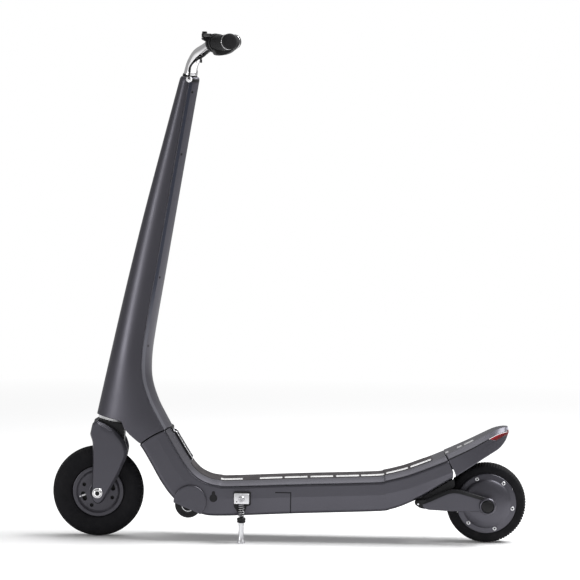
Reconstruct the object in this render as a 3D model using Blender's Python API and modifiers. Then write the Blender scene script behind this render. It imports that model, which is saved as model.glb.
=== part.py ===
"""Folding electric scooter: hollow deck, folding mast, steered fork and hub motor wheel.

Metres, +Z up. The scooter faces -X, its left side is -Y, and it stands on the ground at Z = 0
under the middle of its length.
"""
import math

import bmesh
import bpy
from mathutils import Matrix, Vector

# Wheels
WHEELBASE = 0.855
FRONT_TYRE_R = 0.100
FRONT_TYRE_HALF_W = 0.025
REAR_TYRE_R = 0.088
REAR_TYRE_HALF_W = 0.024
FRONT_AXLE_X = FRONT_TYRE_R - (WHEELBASE + FRONT_TYRE_R + REAR_TYRE_R) / 2
REAR_AXLE_X = FRONT_AXLE_X + WHEELBASE
TYRE_EDGE_X = REAR_AXLE_X - REAR_TYRE_R
TYRE_TOP_Z = 2 * REAR_TYRE_R

# Steering axis: s runs up the axis from the crown plane, q runs rearward square to it
HEAD_ANGLE = math.radians(12.0)
AXLE_TO_CROWN = 0.1664
FORK_OFFSET = 0.0059
STEERER_R = 0.0135
STEERER_SUNK = 0.034
STEERER_TOP = 0.769
BEARING_R = 0.024
BEARING_SEAT = 0.010
FORK_GAP = 0.005
CAP_RING_R = 0.0150

# General clearances and walls
GAP = 0.0003
WALL = 0.003
CORE_INSET = 0.0042
RUN_GAP = 0.001

# Mast, by height s: front reach, rear reach and half width of its section
MAST_TOP = 0.752
MAST_RIM = 0.006
MAST_FRONT = ((-0.062, 0.035), (0.25, 0.0347), (0.44, 0.032), (0.62, 0.026), (0.752, 0.021))
MAST_REAR = (
    (-0.062, 0.202), (-0.025, 0.167), (0.003, 0.140), (0.03, 0.116), (0.06, 0.0915),
    (0.10, 0.0685), (0.14, 0.0575), (0.19, 0.0515), (0.36, 0.0425), (0.54, 0.0333), (0.752, 0.0225),
)
MAST_HALF_W = ((-0.062, 0.068), (0.0, 0.065), (0.06, 0.0585), (0.12, 0.053), (0.21, 0.046),
               (0.32, 0.0395), (0.46, 0.033), (0.60, 0.0285), (0.752, 0.025))
MAST_BAND_BACK = 0.023
MAST_BAND_DEPTH = 0.009
NOSE_POWER = 2.3
NOSE_POINTS = 6
CROWN_POINTS = 3

# Underside of the mast in front of the fold, as (s, q)
MAST_UNDERSIDE = ((0.0, 0.025), (-0.0112, 0.0283), (-0.0232, 0.0449))

# Deck stations: bottom x and z, top x and z, half width, seam drop and crown of the top.
# The neck is measured from the front axle and the ground, the deck's rear from the rear tyre's
# front edge and the ground, and its rise from that edge and the tyre's top
NECK_STATIONS = (
    (0.0630, 0.2380, 0.1530, 0.2620, 0.0675, 0.0165, 0.0090),
    (0.0930, 0.2070, 0.1670, 0.2370, 0.0680, 0.0160, 0.0090),
    (0.1160, 0.1700, 0.1860, 0.2050, 0.0690, 0.0160, 0.0085),
    (0.1390, 0.1300, 0.2050, 0.1750, 0.0700, 0.0155, 0.0070),
    (0.1610, 0.1000, 0.2250, 0.1520, 0.0710, 0.0150, 0.0045),
    (0.1900, 0.0740, 0.2470, 0.1385, 0.0715, 0.0135, 0.0020),
    (0.2270, 0.0600, 0.2690, 0.1330, 0.0720, 0.0120, 0.0000),
    (0.2740, 0.0560, 0.2950, 0.1320, 0.0720, 0.0115, 0.0000),
    (0.4380, 0.0635, 0.4380, 0.1390, 0.0720, 0.0115, 0.0000),
)
DECK_REAR_STATIONS = (
    (-0.1560, 0.0710, -0.1620, 0.1460, 0.0720, 0.0115, 0.0000),
    (-0.1230, 0.0760, -0.1350, 0.1505, 0.0715, 0.0115, 0.0000),
    (-0.0900, 0.0880, -0.1100, 0.1565, 0.0710, 0.0115, 0.0000),
)
DECK_RISE_STATIONS = (
    (-0.0550, -0.0700, -0.0820, -0.0110, 0.0700, 0.0115, 0.0000),
    (0.0070, -0.0320, -0.0180, 0.0140, 0.0680, 0.0115, 0.0000),
    (0.0380, -0.0150, 0.0130, 0.0290, 0.0670, 0.0115, 0.0000),
)
DECK_TOP_HALF_W = 0.050
DECK_CREASE = 0.038
DECK_TAPER = 0.006
DECK_CORNER_R = 0.010
SEAM_GAP = 0.0008
SEAM_LIP = 0.002

# Fold: the parting face is an arc round the trolley axle, the hinge pin sits under the rear skin
TROLLEY_X = FRONT_AXLE_X + 0.2040
TROLLEY_Z = 0.088
PARTING_R = 0.165
PARTING_GAP = 0.002
FOLD_X = FRONT_AXLE_X + 0.1580
FOLD_Z = 0.2402
FOLD_PIN_R = 0.0025
FOLD_KNUCKLE_R = 0.0060
MAST_WEB = ((0.0050, 113.0), (0.0140, 116.0), (0.0260, 128.0), (0.0260, 150.0), (0.0100, 138.0),
            (0.0052, 138.0))
DECK_WEB = ((0.0045, 205.0), (0.0045, 275.0), (0.0160, 275.0), (0.0165, 240.0), (0.0160, 205.0))
FOLD_HALF_W = 0.034
FOLD_CENTRE_HALF_W = 0.013
NECK_BLOCK_R = 0.134

# Latch lever on the back of the neck
LATCH_START_T = 1.42
LATCH_END_T = 3.42
LATCH_HALF_W = 0.018
LATCH_PROUD = 0.0045
LATCH_SUNK = 0.0030
LATCH_KNUCKLE_R = 0.0042
LATCH_PIN_R = 0.0018

# Grip mat
MAT_START_T = 6.5
MAT_END_T = 12.0
MAT_HALF_W = 0.044
MAT_THICK = 0.0012

# Battery and controller inside the deck
BATTERY_X0 = FRONT_AXLE_X + 0.2935
BATTERY_TO_CONTROLLER = 0.010
BATTERY_HALF_W = 0.055
BATTERY_HEIGHT = 0.050
CONTROLLER_X0 = TYRE_EDGE_X - 0.2355
CONTROLLER_HALF_W = 0.035
CONTROLLER_HEIGHT = 0.026

# Charge port on the left wall
PORT_X = FRONT_AXLE_X + 0.2550
PORT_Z = 0.096
PORT_R = 0.0085
PORT_NECK_HALF_W = 0.0035
PORT_TOP_Z = 0.1115
PORT_PROUD = 0.0015

# Panel joint cut into the left and right walls
PANEL_X = FRONT_AXLE_X + 0.4240
PANEL_SLOT_LENGTH = 0.034
PANEL_Z = 0.1105
PANEL_CUT = 0.0015

# Trolley wheels and their covers
TROLLEY_COVER_R = 0.036
TROLLEY_COVER_THICK = 0.006
TROLLEY_WHEEL_R = 0.029
TROLLEY_WHEEL_HALF_W = 0.009
TROLLEY_WHEEL_Y = 0.060
TROLLEY_WHEEL_BACK = -0.004
TROLLEY_WHEEL_DOWN = 0.008
TROLLEY_WELL_R = 0.033
TROLLEY_AXLE_R = 0.004

# Kickstand on the left side
STAND_X = FRONT_AXLE_X + 0.3170
STAND_Z = 0.098
STAND_PLATE = (0.040, 0.052)
STAND_PLATE_THICK = 0.004
STAND_HEAD = (0.033, 0.022)
STAND_HEAD_THICK = 0.0180
STAND_PLATE_LOW = 0.068
STAND_BOLT_R = 0.004
STAND_BOLT_HEAD_R = 0.007
STAND_ROD_R = 0.0045
STAND_COLLAR_R = 0.0095
STAND_COLLAR_TOP = 0.056
STAND_COLLAR_LOW = 0.045
STAND_FOOT_R = 0.0095
STAND_FOOT_HEIGHT = 0.009
SPRING_WIRE_R = 0.0009
SPRING_MEAN_R = 0.0064
SPRING_TURNS = 6.0
SPRING_POINTS_PER_TURN = 9

# Swing arm: side view (x, z) of its outline behind the pivot, z from the axle, x from the rear tyre's
# front edge below and above, and from the axle round the eye
ARM_PIVOT_X = TYRE_EDGE_X - 0.0640
ARM_PIVOT_Z = REAR_TYRE_R + 0.0025
ARM_BOSS_R = 0.0085
ARM_OUTER_Y = 0.0715
ARM_THICK = 0.014
ARM_LOW = ((-0.0570, -0.0045), (-0.0420, -0.0105), (0.0045, -0.0125))
ARM_EYE = ((-0.0005, -0.0135), (0.0135, -0.0090), (0.0205, 0.0020), (0.0125, 0.0130))
ARM_HIGH = ((0.0245, 0.0350), (0.0035, 0.0345), (-0.0555, 0.0075))
ARM_LIFT = math.radians(4.0)
ARM_BEVEL = 0.0018
ARM_BRIDGE_AHEAD = (0.0515, 0.0115)
ARM_BRIDGE_Z = (-0.0060, 0.0180)
ARM_PIN_R = 0.004
RUBBER_X0 = TYRE_EDGE_X - 0.0495
RUBBER_X1 = TYRE_EDGE_X - 0.0055
RUBBER_HALF_W = 0.0565
LUG_HALF_W = 0.0535

# Rear axle and hub motor
REAR_AXLE_R = 0.006
REAR_CAP_R = 0.014
REAR_CAP_THICK = 0.011
HUB_R = 0.066
HUB_HALF_W = 0.026
HUB_COVER_R = 0.0645
HUB_COVER_BULGE = 0.013
HUB_SCREW_CIRCLE_R = 0.058
HUB_SCREW_R = 0.0032
HUB_SCREWS = 6
STATOR_R = 0.050
STATOR_HALF_W = 0.014

# Tail: foot brake over the rear wheel, (top x, top z, edge x, edge z, half width), measured from the
# tyre's front edge and top, as are the outlines of the deck's end, the tail's start and the lens
TAIL_STATIONS = (
    (-0.0255, 0.0120, 0.0025, -0.0360, 0.0680),
    (0.0010, 0.0240, 0.0225, -0.0230, 0.0672),
    (0.0280, 0.0360, 0.0465, -0.0120, 0.0645),
    (0.0540, 0.0485, 0.0695, 0.0040, 0.0590),
    (0.0800, 0.0610, 0.0915, 0.0215, 0.0510),
    (0.1045, 0.0720, 0.1125, 0.0360, 0.0410),
    (0.1225, 0.0770, 0.1265, 0.0520, 0.0290),
    (0.1325, 0.0785, 0.1345, 0.0700, 0.0130),
)
TAIL_TOP_SHARE = 0.70
TAIL_SEAM_DROP = 0.0115
DECK_END = (
    (-0.0185, 0.0640), (-0.0175, 0.0200), (-0.0055, 0.0195), (0.0040, 0.0025), (0.0120, -0.0150),
    (0.0105, -0.0560),
)
TAIL_START = (
    (-0.0170, 0.0640), (-0.0160, 0.0215), (-0.0040, 0.0210), (0.0057, 0.0030), (0.0150, -0.0150),
    (0.0285, -0.0560),
)
BULKHEAD_X = TYRE_EDGE_X - 0.0235
TAIL_PIVOT_X = TYRE_EDGE_X - 0.0080
TAIL_PIVOT_Z = TYRE_TOP_Z - 0.0020
BRACKET_LENGTH = 0.0325
LUG_LENGTH = 0.0265
TAIL_PIN_R = 0.003
TAIL_LUG_R = 0.0075
TAIL_LUG_Y = 0.054
TAIL_LUG_THICK = 0.006
TAIL_CORE_INSET = 0.0034
LENS_OUTLINE = (
    (0.0880, 0.0570), (0.1060, 0.0535), (0.1195, 0.0610), (0.1495, 0.0705), (0.1495, 0.0800),
    (0.1245, 0.0800),
)
PAD_X = TYRE_EDGE_X + 0.0515
PAD_LENGTH = 0.030
PAD_HALF_W = 0.016
PAD_TYRE_GAP = 0.0150
TYRE_CLEARANCE = 0.0025
PAD_THICK = 0.008

# Fork: outline of a blade as (s, q)
FORK_OUTLINE = (
    (-0.0050, -0.0290), (-0.0170, -0.0372), (-0.0450, -0.0372), (-0.0590, -0.0290), (-0.1010, -0.0197),
    (-0.1740, -0.0055),
    (-0.1855, 0.0060), (-0.1780, 0.0190), (-0.1540, 0.0300), (-0.1180, 0.0425), (-0.0790, 0.0505),
    (-0.0560, 0.0500),
    (-0.0300, 0.0385), (-0.0080, 0.0230), (-0.0050, 0.0140),
)
FORK_HALF_W = 0.050
FORK_SLOT_HALF_W = 0.034
FORK_SLOT_R = 0.108
FORK_BEVEL = 0.004
FORK_SWEEP = ((-0.1000, 0.0745), (-0.0580, 0.0735), (-0.0340, 0.0665), (-0.0200, 0.0630), (-0.0030, 0.0610))

# Guard behind the crown: outline points of the fork (s, q) with the outward direction there
FORK_GUARD = (
    (-0.0240, 0.0343, 0.67, 0.74), (-0.0300, 0.0385, 0.60, 0.80), (-0.0560, 0.0500, 0.22, 0.97),
    (-0.0640, 0.0502, 0.0, 1.0),
)

# Front wheel
RIM_BED_R = 0.0500
FRONT_SLEEVE_HALF_W = 0.0335
RIM_R = 0.056
RIM_STEP_R = 0.046
HUB_SLEEVE_R = 0.017
RIM_HALF_W = 0.019
RIM_WEB_Y = 0.013
BOLT_CIRCLE_R = 0.034
BOLT_HOLE_R = 0.0036
BOLT_ANGLES = (155.0, 246.0, 336.0, 65.0)
SLOT_ANGLES = (200.0, 20.0)
SLOT_SIZE = (0.021, 0.010)
SLOT_CENTRE_R = 0.033
FRONT_AXLE_R = 0.005
FRONT_NUT_R = 0.0110
FRONT_NUT_THICK = 0.006

# Handlebar: middle line of the left arm from the stem to the straight end, as (s, q, side)
BAR_R = 0.011
BAR_END_Y = 0.2560
BAR_END_BACK = 0.2805
BAR_END_RISE = 0.0763
BAR_SWEEP = math.radians(16.5)
BAR_STRAIGHT = 0.150
BAR_ARM = ((0.7715, 0.000, 0.0090), (0.780, 0.0010, 0.0110), (0.797, 0.0035, 0.0170),
           (0.819, 0.0100, 0.0330), (0.834, 0.0220, 0.0620))
GRIP_LENGTH = 0.104
GRIP_R = 0.0160
GRIP_END_R = 0.0170
GRIP_CAP = 0.0030
GRIP_RING_R = 0.0195
GRIP_RING_AT = 0.009
GRIP_RING_WIDTH = 0.005
PADDLE_AT = 0.1050
PADDLE_WIDTH = 0.013
PADDLE_HUB_R = 0.0185
PADDLE_OUTLINE = ((-0.0130, -0.0130), (-0.0050, -0.0265), (0.0080, -0.0275), (0.0215, -0.0225),
                  (0.0345, -0.0125), (0.0335, -0.0085), (0.0185, -0.0095), (0.0120, -0.0060))
HOUSING_AT = 0.1190
HOUSING_R = 0.0195
HOUSING_LENGTH = 0.024
FLANGE_R = 0.0240
FLANGE_THICK = 0.003
LEVER_PIVOT = (0.1310, -0.0215, 0.0165)
LEVER_BOSS_R = 0.0065
LEVER_HALF_H = 0.0040
LEVER_PATH = ((0.1310, -0.0215, 0.0165), (0.1080, -0.0255, 0.0160), (0.0750, -0.0310, 0.0150),
              (0.0420, -0.0345, 0.0140), (0.0220, -0.0370, 0.0135))
LEVER_PIN_R = 0.0025
LEVER_KNOB_R = 0.0055

BAR_RISE = 0.005
BAR_STEM_R = 0.0160
COLLAR_R = 0.0185

# Cable from the mast to the left control, x measured from the front axle
CABLE_R = 0.0022
CABLE_ROUTE = (
    (0.1875, -0.0262, 1.0165), (0.1890, -0.0280, 1.0260), (0.1930, -0.0300, 1.0350),
    (0.2030, -0.0345, 1.0445), (0.2145, -0.0420, 1.0530), (0.2255, -0.0560, 1.0600),
    (0.2335, -0.0750, 1.0650), (0.2375, -0.0950, 1.0680), (0.2410, -0.1120, 1.0700),
)
GROMMET_R = 0.0068

COLOURS = {
    "body": ((0.085, 0.080, 0.100), 0.42, 0.85),
    "black": ((0.012, 0.012, 0.013), 0.55, 0.0),
    "rubber": ((0.010, 0.010, 0.011), 0.85, 0.0),
    "mat": ((0.030, 0.028, 0.030), 0.80, 0.0),
    "chrome": ((0.80, 0.80, 0.82), 0.12, 1.0),
    "steel": ((0.62, 0.62, 0.64), 0.30, 1.0),
    "silver": ((0.70, 0.70, 0.72), 0.35, 0.9),
    "red": ((0.55, 0.010, 0.012), 0.15, 0.0),
    "white": ((0.85, 0.85, 0.87), 0.40, 0.0),
    "copper": ((0.50, 0.22, 0.10), 0.40, 0.8),
    "blue": ((0.03, 0.07, 0.22), 0.50, 0.0),
}


def clear_scene():
    """Remove every object of the open scene."""
    for obj in list(bpy.data.objects):
        bpy.data.objects.remove(obj, do_unlink=True)


def make_collection(name):
    """Return a new collection linked to the scene."""
    collection = bpy.data.collections.new(name)
    bpy.context.scene.collection.children.link(collection)
    return collection


def make_materials():
    """Return one Principled material for each colour."""
    materials = {}
    for name, (colour, roughness, metallic) in COLOURS.items():
        material = bpy.data.materials.new(name)
        material.use_nodes = True
        shader = material.node_tree.nodes["Principled BSDF"]
        shader.inputs["Base Color"].default_value = (*colour, 1.0)
        shader.inputs["Roughness"].default_value = roughness
        shader.inputs["Metallic"].default_value = metallic
        materials[name] = material
    return materials


clear_scene()
PARTS = make_collection("electric_scooter")
CUTTERS = make_collection("cutters")
MATERIALS = make_materials()


def tie(obj, parent):
    """Parent an object that is already in place to an empty on its joint's axis."""
    if parent is not None:
        obj.parent = parent
        obj.matrix_parent_inverse = parent.matrix_basis.inverted()
    return obj


def add_empty(name, location):
    """Return an empty that stands on a joint's axis."""
    empty = bpy.data.objects.new(name, None)
    empty.empty_display_size = 0.03
    empty.location = location
    PARTS.objects.link(empty)
    return empty


def add_mesh(name, mesh, material, parent=None):
    """Link a mesh as a named part with one material and smooth round faces."""
    obj = bpy.data.objects.new(name, mesh)
    mesh.materials.append(MATERIALS[material])
    mesh.shade_smooth()
    mesh.set_sharp_from_angle(angle=math.radians(35.0))
    PARTS.objects.link(obj)
    return tie(obj, parent)


def add_cutter(name, mesh):
    """Link a mesh as a hidden cutter."""
    obj = bpy.data.objects.new(name, mesh)
    obj.hide_render = True
    obj.display_type = "WIRE"
    CUTTERS.objects.link(obj)
    return obj


def combine(obj, other, operation):
    """Add a Boolean modifier that takes the other object's evaluated shape."""
    modifier = obj.modifiers.new(operation.lower(), "BOOLEAN")
    modifier.operation = operation
    modifier.object = other
    modifier.solver = "EXACT"
    return modifier


def cut(obj, *cutters):
    """Cut each cutter out of an object."""
    for cutter in cutters:
        combine(obj, cutter, "DIFFERENCE")
    return obj


def join(obj, *others):
    """Add each hidden shape to an object."""
    for other in others:
        combine(obj, other, "UNION")
    return obj


def bevel(obj, width, segments=1, angle=35.0):
    """Round or chamfer the sharp edges of an object."""
    modifier = obj.modifiers.new("bevel", "BEVEL")
    modifier.width = width
    modifier.segments = segments
    modifier.limit_method = "ANGLE"
    modifier.angle_limit = math.radians(angle)
    return modifier


def smooth_value(points, at):
    """Read a smooth curve through (position, value) points at one position."""
    last = len(points) - 2
    i = 0
    while i < last and at > points[i + 1][0]:
        i += 1
    (x0, y0), (x1, y1) = points[i], points[i + 1]
    before = points[i - 1] if i > 0 else (2 * x0 - x1, 2 * y0 - y1)
    after = points[i + 2] if i < last else (2 * x1 - x0, 2 * y1 - y0)
    span = x1 - x0
    slope0 = (y1 - before[1]) / (x1 - before[0]) * span
    slope1 = (after[1] - y0) / (after[0] - x0) * span
    t = (at - x0) / span
    a = 2 * t ** 3 - 3 * t ** 2 + 1
    b = t ** 3 - 2 * t ** 2 + t
    c = 3 * t ** 2 - 2 * t ** 3
    d = t ** 3 - t ** 2
    return a * y0 + b * slope0 + c * y1 + d * slope1


def smooth_rows(rows, per_span):
    """Return rows of numbers read from smooth curves through the given rows."""
    columns = []
    for k in range(len(rows[0])):
        columns.append([(float(i), row[k]) for i, row in enumerate(rows)])
    count = (len(rows) - 1) * per_span
    result = []
    for i in range(count + 1):
        at = i / per_span
        result.append([smooth_value(column, at) for column in columns])
    return result


def steer_point(s, q, y=0.0):
    """Return the point s up the steering axis and q behind it."""
    up = Vector((math.sin(HEAD_ANGLE), 0.0, math.cos(HEAD_ANGLE)))
    back = Vector((math.cos(HEAD_ANGLE), 0.0, -math.sin(HEAD_ANGLE)))
    axle = Vector((FRONT_AXLE_X, 0.0, FRONT_TYRE_R))
    point = axle + up * (AXLE_TO_CROWN + s) + back * (q - FORK_OFFSET)
    point.y = y
    return point


def loft(name, rows, closed, caps, flip=False):
    """Return a mesh of faces between rows of points, each row an open or closed section."""
    bm = bmesh.new()
    grid = [[bm.verts.new(point) for point in row] for row in rows]
    width = len(rows[0])
    for lower, upper in zip(grid, grid[1:]):
        for i in range(width if closed else width - 1):
            j = (i + 1) % width
            corners = (lower[i], lower[j], upper[j], upper[i])
            bm.faces.new(reversed(corners) if flip else corners)
    if caps:
        bm.faces.new(list(reversed(grid[0])))
        bm.faces.new(grid[-1])
    if closed:
        bmesh.ops.recalc_face_normals(bm, faces=bm.faces)
    mesh = bpy.data.meshes.new(name)
    bm.to_mesh(mesh)
    bm.free()
    return mesh


def prism(name, outline, y0, y1):
    """Return a mesh of a side view outline (x, z) carried from y0 to y1."""
    bm = bmesh.new()
    face = bm.faces.new([bm.verts.new((x, y0, z)) for x, z in outline])
    swept = bmesh.ops.extrude_face_region(bm, geom=[face])
    moved = [item for item in swept["geom"] if isinstance(item, bmesh.types.BMVert)]
    bmesh.ops.translate(bm, verts=moved, vec=(0.0, y1 - y0, 0.0))
    bmesh.ops.recalc_face_normals(bm, faces=bm.faces)
    mesh = bpy.data.meshes.new(name)
    bm.to_mesh(mesh)
    bm.free()
    return mesh


def box(name, x0, x1, y0, y1, z0, z1):
    """Return a mesh of a box between two corners."""
    bm = bmesh.new()
    centre = Vector(((x0 + x1) / 2, (y0 + y1) / 2, (z0 + z1) / 2))
    size = Vector((x1 - x0, y1 - y0, z1 - z0))
    bmesh.ops.create_cube(bm, size=1.0, matrix=Matrix.Translation(centre) @ Matrix.Diagonal(size).to_4x4())
    mesh = bpy.data.meshes.new(name)
    bm.to_mesh(mesh)
    bm.free()
    return mesh


def rod(name, radius, y0, y1, x, z, sides=24, radius_end=None):
    """Return a mesh of a cylinder or cone along Y."""
    bm = bmesh.new()
    turn = Matrix.Rotation(math.radians(-90.0), 4, "X")
    place = Matrix.Translation((x, (y0 + y1) / 2, z)) @ turn
    end = radius if radius_end is None else radius_end
    bmesh.ops.create_cone(bm, cap_ends=True, segments=sides, radius1=radius, radius2=end,
                          depth=y1 - y0, matrix=place)
    mesh = bpy.data.meshes.new(name)
    bm.to_mesh(mesh)
    bm.free()
    return mesh


def along(name, radius, start, end, sides=20, radius_end=None):
    """Return a mesh of a cylinder or cone between two points."""
    bm = bmesh.new()
    direction = end - start
    place = Matrix.Translation((start + end) / 2) @ direction.to_track_quat("Z", "Y").to_matrix().to_4x4()
    last = radius if radius_end is None else radius_end
    bmesh.ops.create_cone(bm, cap_ends=True, segments=sides, radius1=radius, radius2=last,
                          depth=direction.length, matrix=place)
    mesh = bpy.data.meshes.new(name)
    bm.to_mesh(mesh)
    bm.free()
    return mesh


def turned(name, profile, steps, place, material, parent=None, ring=False):
    """Return a part turned round its own Z axis from a profile of (radius, height)."""
    points = list(profile)
    area = 0.0
    for (r0, h0), (r1, h1) in zip(points, points[1:] + points[:1]):
        area += r0 * h1 - r1 * h0
    if area > 0:
        points.reverse()
    edges = [(i, i + 1) for i in range(len(points) - 1)]
    if ring:
        edges.append((len(points) - 1, 0))
    mesh = bpy.data.meshes.new(name)
    mesh.from_pydata([(r, 0.0, h) for r, h in points], edges, [])
    obj = bpy.data.objects.new(name, mesh)
    mesh.materials.append(MATERIALS[material])
    obj.matrix_world = place
    screw = obj.modifiers.new("turn", "SCREW")
    screw.steps = steps
    screw.render_steps = steps
    screw.use_merge_vertices = True
    screw.merge_threshold = 0.00001
    screw.use_smooth_shade = True
    PARTS.objects.link(obj)
    return tie(obj, parent)


def cross_axle(x, z):
    """Return the placement that lays a turned part's axis along +Y."""
    return Matrix.Translation((x, 0.0, z)) @ Matrix.Rotation(math.radians(-90.0), 4, "X")


def tube(name, points, radius, resolution, closed_caps=True):
    """Return a mesh of a round tube along a smooth run of points, with welded caps."""
    curve = bpy.data.curves.new(name, "CURVE")
    curve.dimensions = "3D"
    curve.bevel_depth = radius
    curve.bevel_resolution = resolution
    curve.use_fill_caps = closed_caps
    spline = curve.splines.new("POLY")
    spline.points.add(len(points) - 1)
    for slot, point in zip(spline.points, points):
        slot.co = (*point, 1.0)
    helper = bpy.data.objects.new(name, curve)
    CUTTERS.objects.link(helper)
    bpy.context.view_layer.update()
    depsgraph = bpy.context.evaluated_depsgraph_get()
    mesh = bpy.data.meshes.new_from_object(helper.evaluated_get(depsgraph))
    bpy.data.objects.remove(helper, do_unlink=True)
    bm = bmesh.new()
    bm.from_mesh(mesh)
    bmesh.ops.remove_doubles(bm, verts=bm.verts, dist=0.000005)
    bmesh.ops.recalc_face_normals(bm, faces=bm.faces)
    bm.to_mesh(mesh)
    bm.free()
    return mesh


def smooth_route(points, per_span):
    """Return points of a smooth curve through the points of a route."""
    return [Vector(row) for row in smooth_rows([tuple(p) for p in points], per_span)]


def moved(points, dx, dz):
    """Return side view points moved by dx and dz."""
    return [(x + dx, z + dz) for x, z in points]


def moved_stations(rows, dx, dz):
    """Return stations (x, z, x, z, others) with both their points moved by dx and dz."""
    return [(x0 + dx, z0 + dz, x1 + dx, z1 + dz, *rest) for x0, z0, x1, z1, *rest in rows]


def arc_points(cx, cz, radius, start, end, count):
    """Return points (x, z) along an arc, angles in degrees from +X towards +Z."""
    points = []
    for i in range(count + 1):
        angle = math.radians(start + (end - start) * i / count)
        points.append((cx + radius * math.cos(angle), cz + radius * math.sin(angle)))
    return points


def plan(point):
    """Return the side view (x, z) of a point."""
    return (point.x, point.z)


# Whole station tables of the deck and the tail
DECK_ROWS = moved_stations(NECK_STATIONS, FRONT_AXLE_X, 0.0)
DECK_ROWS += moved_stations(DECK_REAR_STATIONS, TYRE_EDGE_X, 0.0)
DECK_ROWS += moved_stations(DECK_RISE_STATIONS, TYRE_EDGE_X, TYRE_TOP_Z)
TAIL_ROWS = moved_stations(TAIL_STATIONS, TYRE_EDGE_X, TYRE_TOP_Z)

# Joint axes
AXIS_FOLD = add_empty("axis_fold", (FOLD_X, 0.0, FOLD_Z))
AXIS_STEER = add_empty("axis_steer", steer_point(0.0, 0.0))
AXIS_FRONT = add_empty("axis_front_wheel", (FRONT_AXLE_X, 0.0, FRONT_TYRE_R))
AXIS_ARM = add_empty("axis_swing_arm", (ARM_PIVOT_X, 0.0, ARM_PIVOT_Z))
AXIS_REAR = add_empty("axis_rear_wheel", (REAR_AXLE_X, 0.0, REAR_TYRE_R))
AXIS_TAIL = add_empty("axis_tail", (TAIL_PIVOT_X, 0.0, TAIL_PIVOT_Z))
AXIS_STAND = add_empty("axis_stand", (STAND_X, 0.0, STAND_Z))


# Mast
def mast_half(s, inset=0.0):
    """Return the half section of the mast at height s as (q, y): front run and rear run."""
    front = -smooth_value(MAST_FRONT, s) + inset
    lean = (smooth_value(MAST_REAR, s + 0.004) - smooth_value(MAST_REAR, s - 0.004)) / 0.008
    deeper = inset * math.sqrt(1.0 + lean ** 2)
    rear = smooth_value(MAST_REAR, s) - deeper
    half = smooth_value(MAST_HALF_W, s)
    edge = rear + deeper - MAST_BAND_BACK
    band_half = half - MAST_BAND_DEPTH * (0.9 + max(0.0, half - 0.04) / 0.03) - inset * 0.8
    half -= inset
    nose = []
    for i in range(NOSE_POINTS + 1):
        angle = math.pi / 2 * i / NOSE_POINTS
        q = edge - SEAM_LIP - (edge - SEAM_LIP - front) * math.cos(angle) ** (2 / NOSE_POWER)
        nose.append((q, half * math.sin(angle) ** (2 / NOSE_POWER)))
    nose.append((edge, half))
    shoulder = edge + MAST_BAND_DEPTH - deeper * 0.9
    back = [(edge + SEAM_GAP, half), (edge + SEAM_GAP + SEAM_LIP, half), (shoulder, band_half)]
    sag = rear - shoulder
    for i in range(1, CROWN_POINTS + 1):
        across = 1.0 - i / CROWN_POINTS
        back.append((rear - sag * across ** 2, band_half * across))
    return nose, back


def mast_rows(stations, part, inset=0.0):
    """Return lofted rows of the mast's front run, rear run or whole section."""
    rows = []
    for s in stations:
        nose, back = mast_half(s, inset)
        shrink = 1.0
        if s > MAST_TOP:
            shrink = 1.0 - 0.07 * (s - MAST_TOP) / MAST_RIM
        if part == "front":
            half = list(reversed(nose))
            full = [(q, -y) for q, y in half] + [(q, y) for q, y in half[-2::-1]]
        elif part == "rear":
            full = [(q, y) for q, y in back] + [(q, -y) for q, y in back[-2::-1]]
        else:
            half = nose[:-2] + back[2:]
            full = [(q, y) for q, y in half] + [(q, -y) for q, y in half[-2:0:-1]]
        rows.append([steer_point(s, q * shrink, y * shrink) for q, y in full])
    return rows


MAST_STATIONS = (-0.062, -0.034, -0.008, 0.018, 0.043, 0.068, 0.10, 0.14, 0.20, 0.30, 0.44, 0.60,
                 MAST_TOP, MAST_TOP + MAST_RIM)


def mast_cutter():
    """Return the region below the mast: its flat front foot, its underside and the parting arc."""
    outline = [plan(steer_point(0.0, -0.12))]
    outline += [plan(steer_point(s, q)) for s, q in MAST_UNDERSIDE]
    outline += arc_points(TROLLEY_X, TROLLEY_Z, PARTING_R + PARTING_GAP / 2, 132.0, 96.0, 7)
    outline += [(FOLD_X + 0.25, FOLD_Z + 0.01), (FOLD_X + 0.25, -0.05), (FRONT_AXLE_X - 0.1, -0.05)]
    return add_cutter("mast_cutter", prism("mast_cutter", outline, -0.09, 0.09))


def deck_cutter():
    """Return the region in front of the parting arc."""
    outline = arc_points(TROLLEY_X, TROLLEY_Z, PARTING_R - PARTING_GAP / 2, 145.0, 96.0, 9)
    outline += [(FOLD_X + 0.05, FOLD_Z + 0.1), (FRONT_AXLE_X, FOLD_Z + 0.1), (FRONT_AXLE_X, 0.15)]
    return add_cutter("deck_cutter", prism("deck_cutter", outline, -0.09, 0.09))


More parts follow.
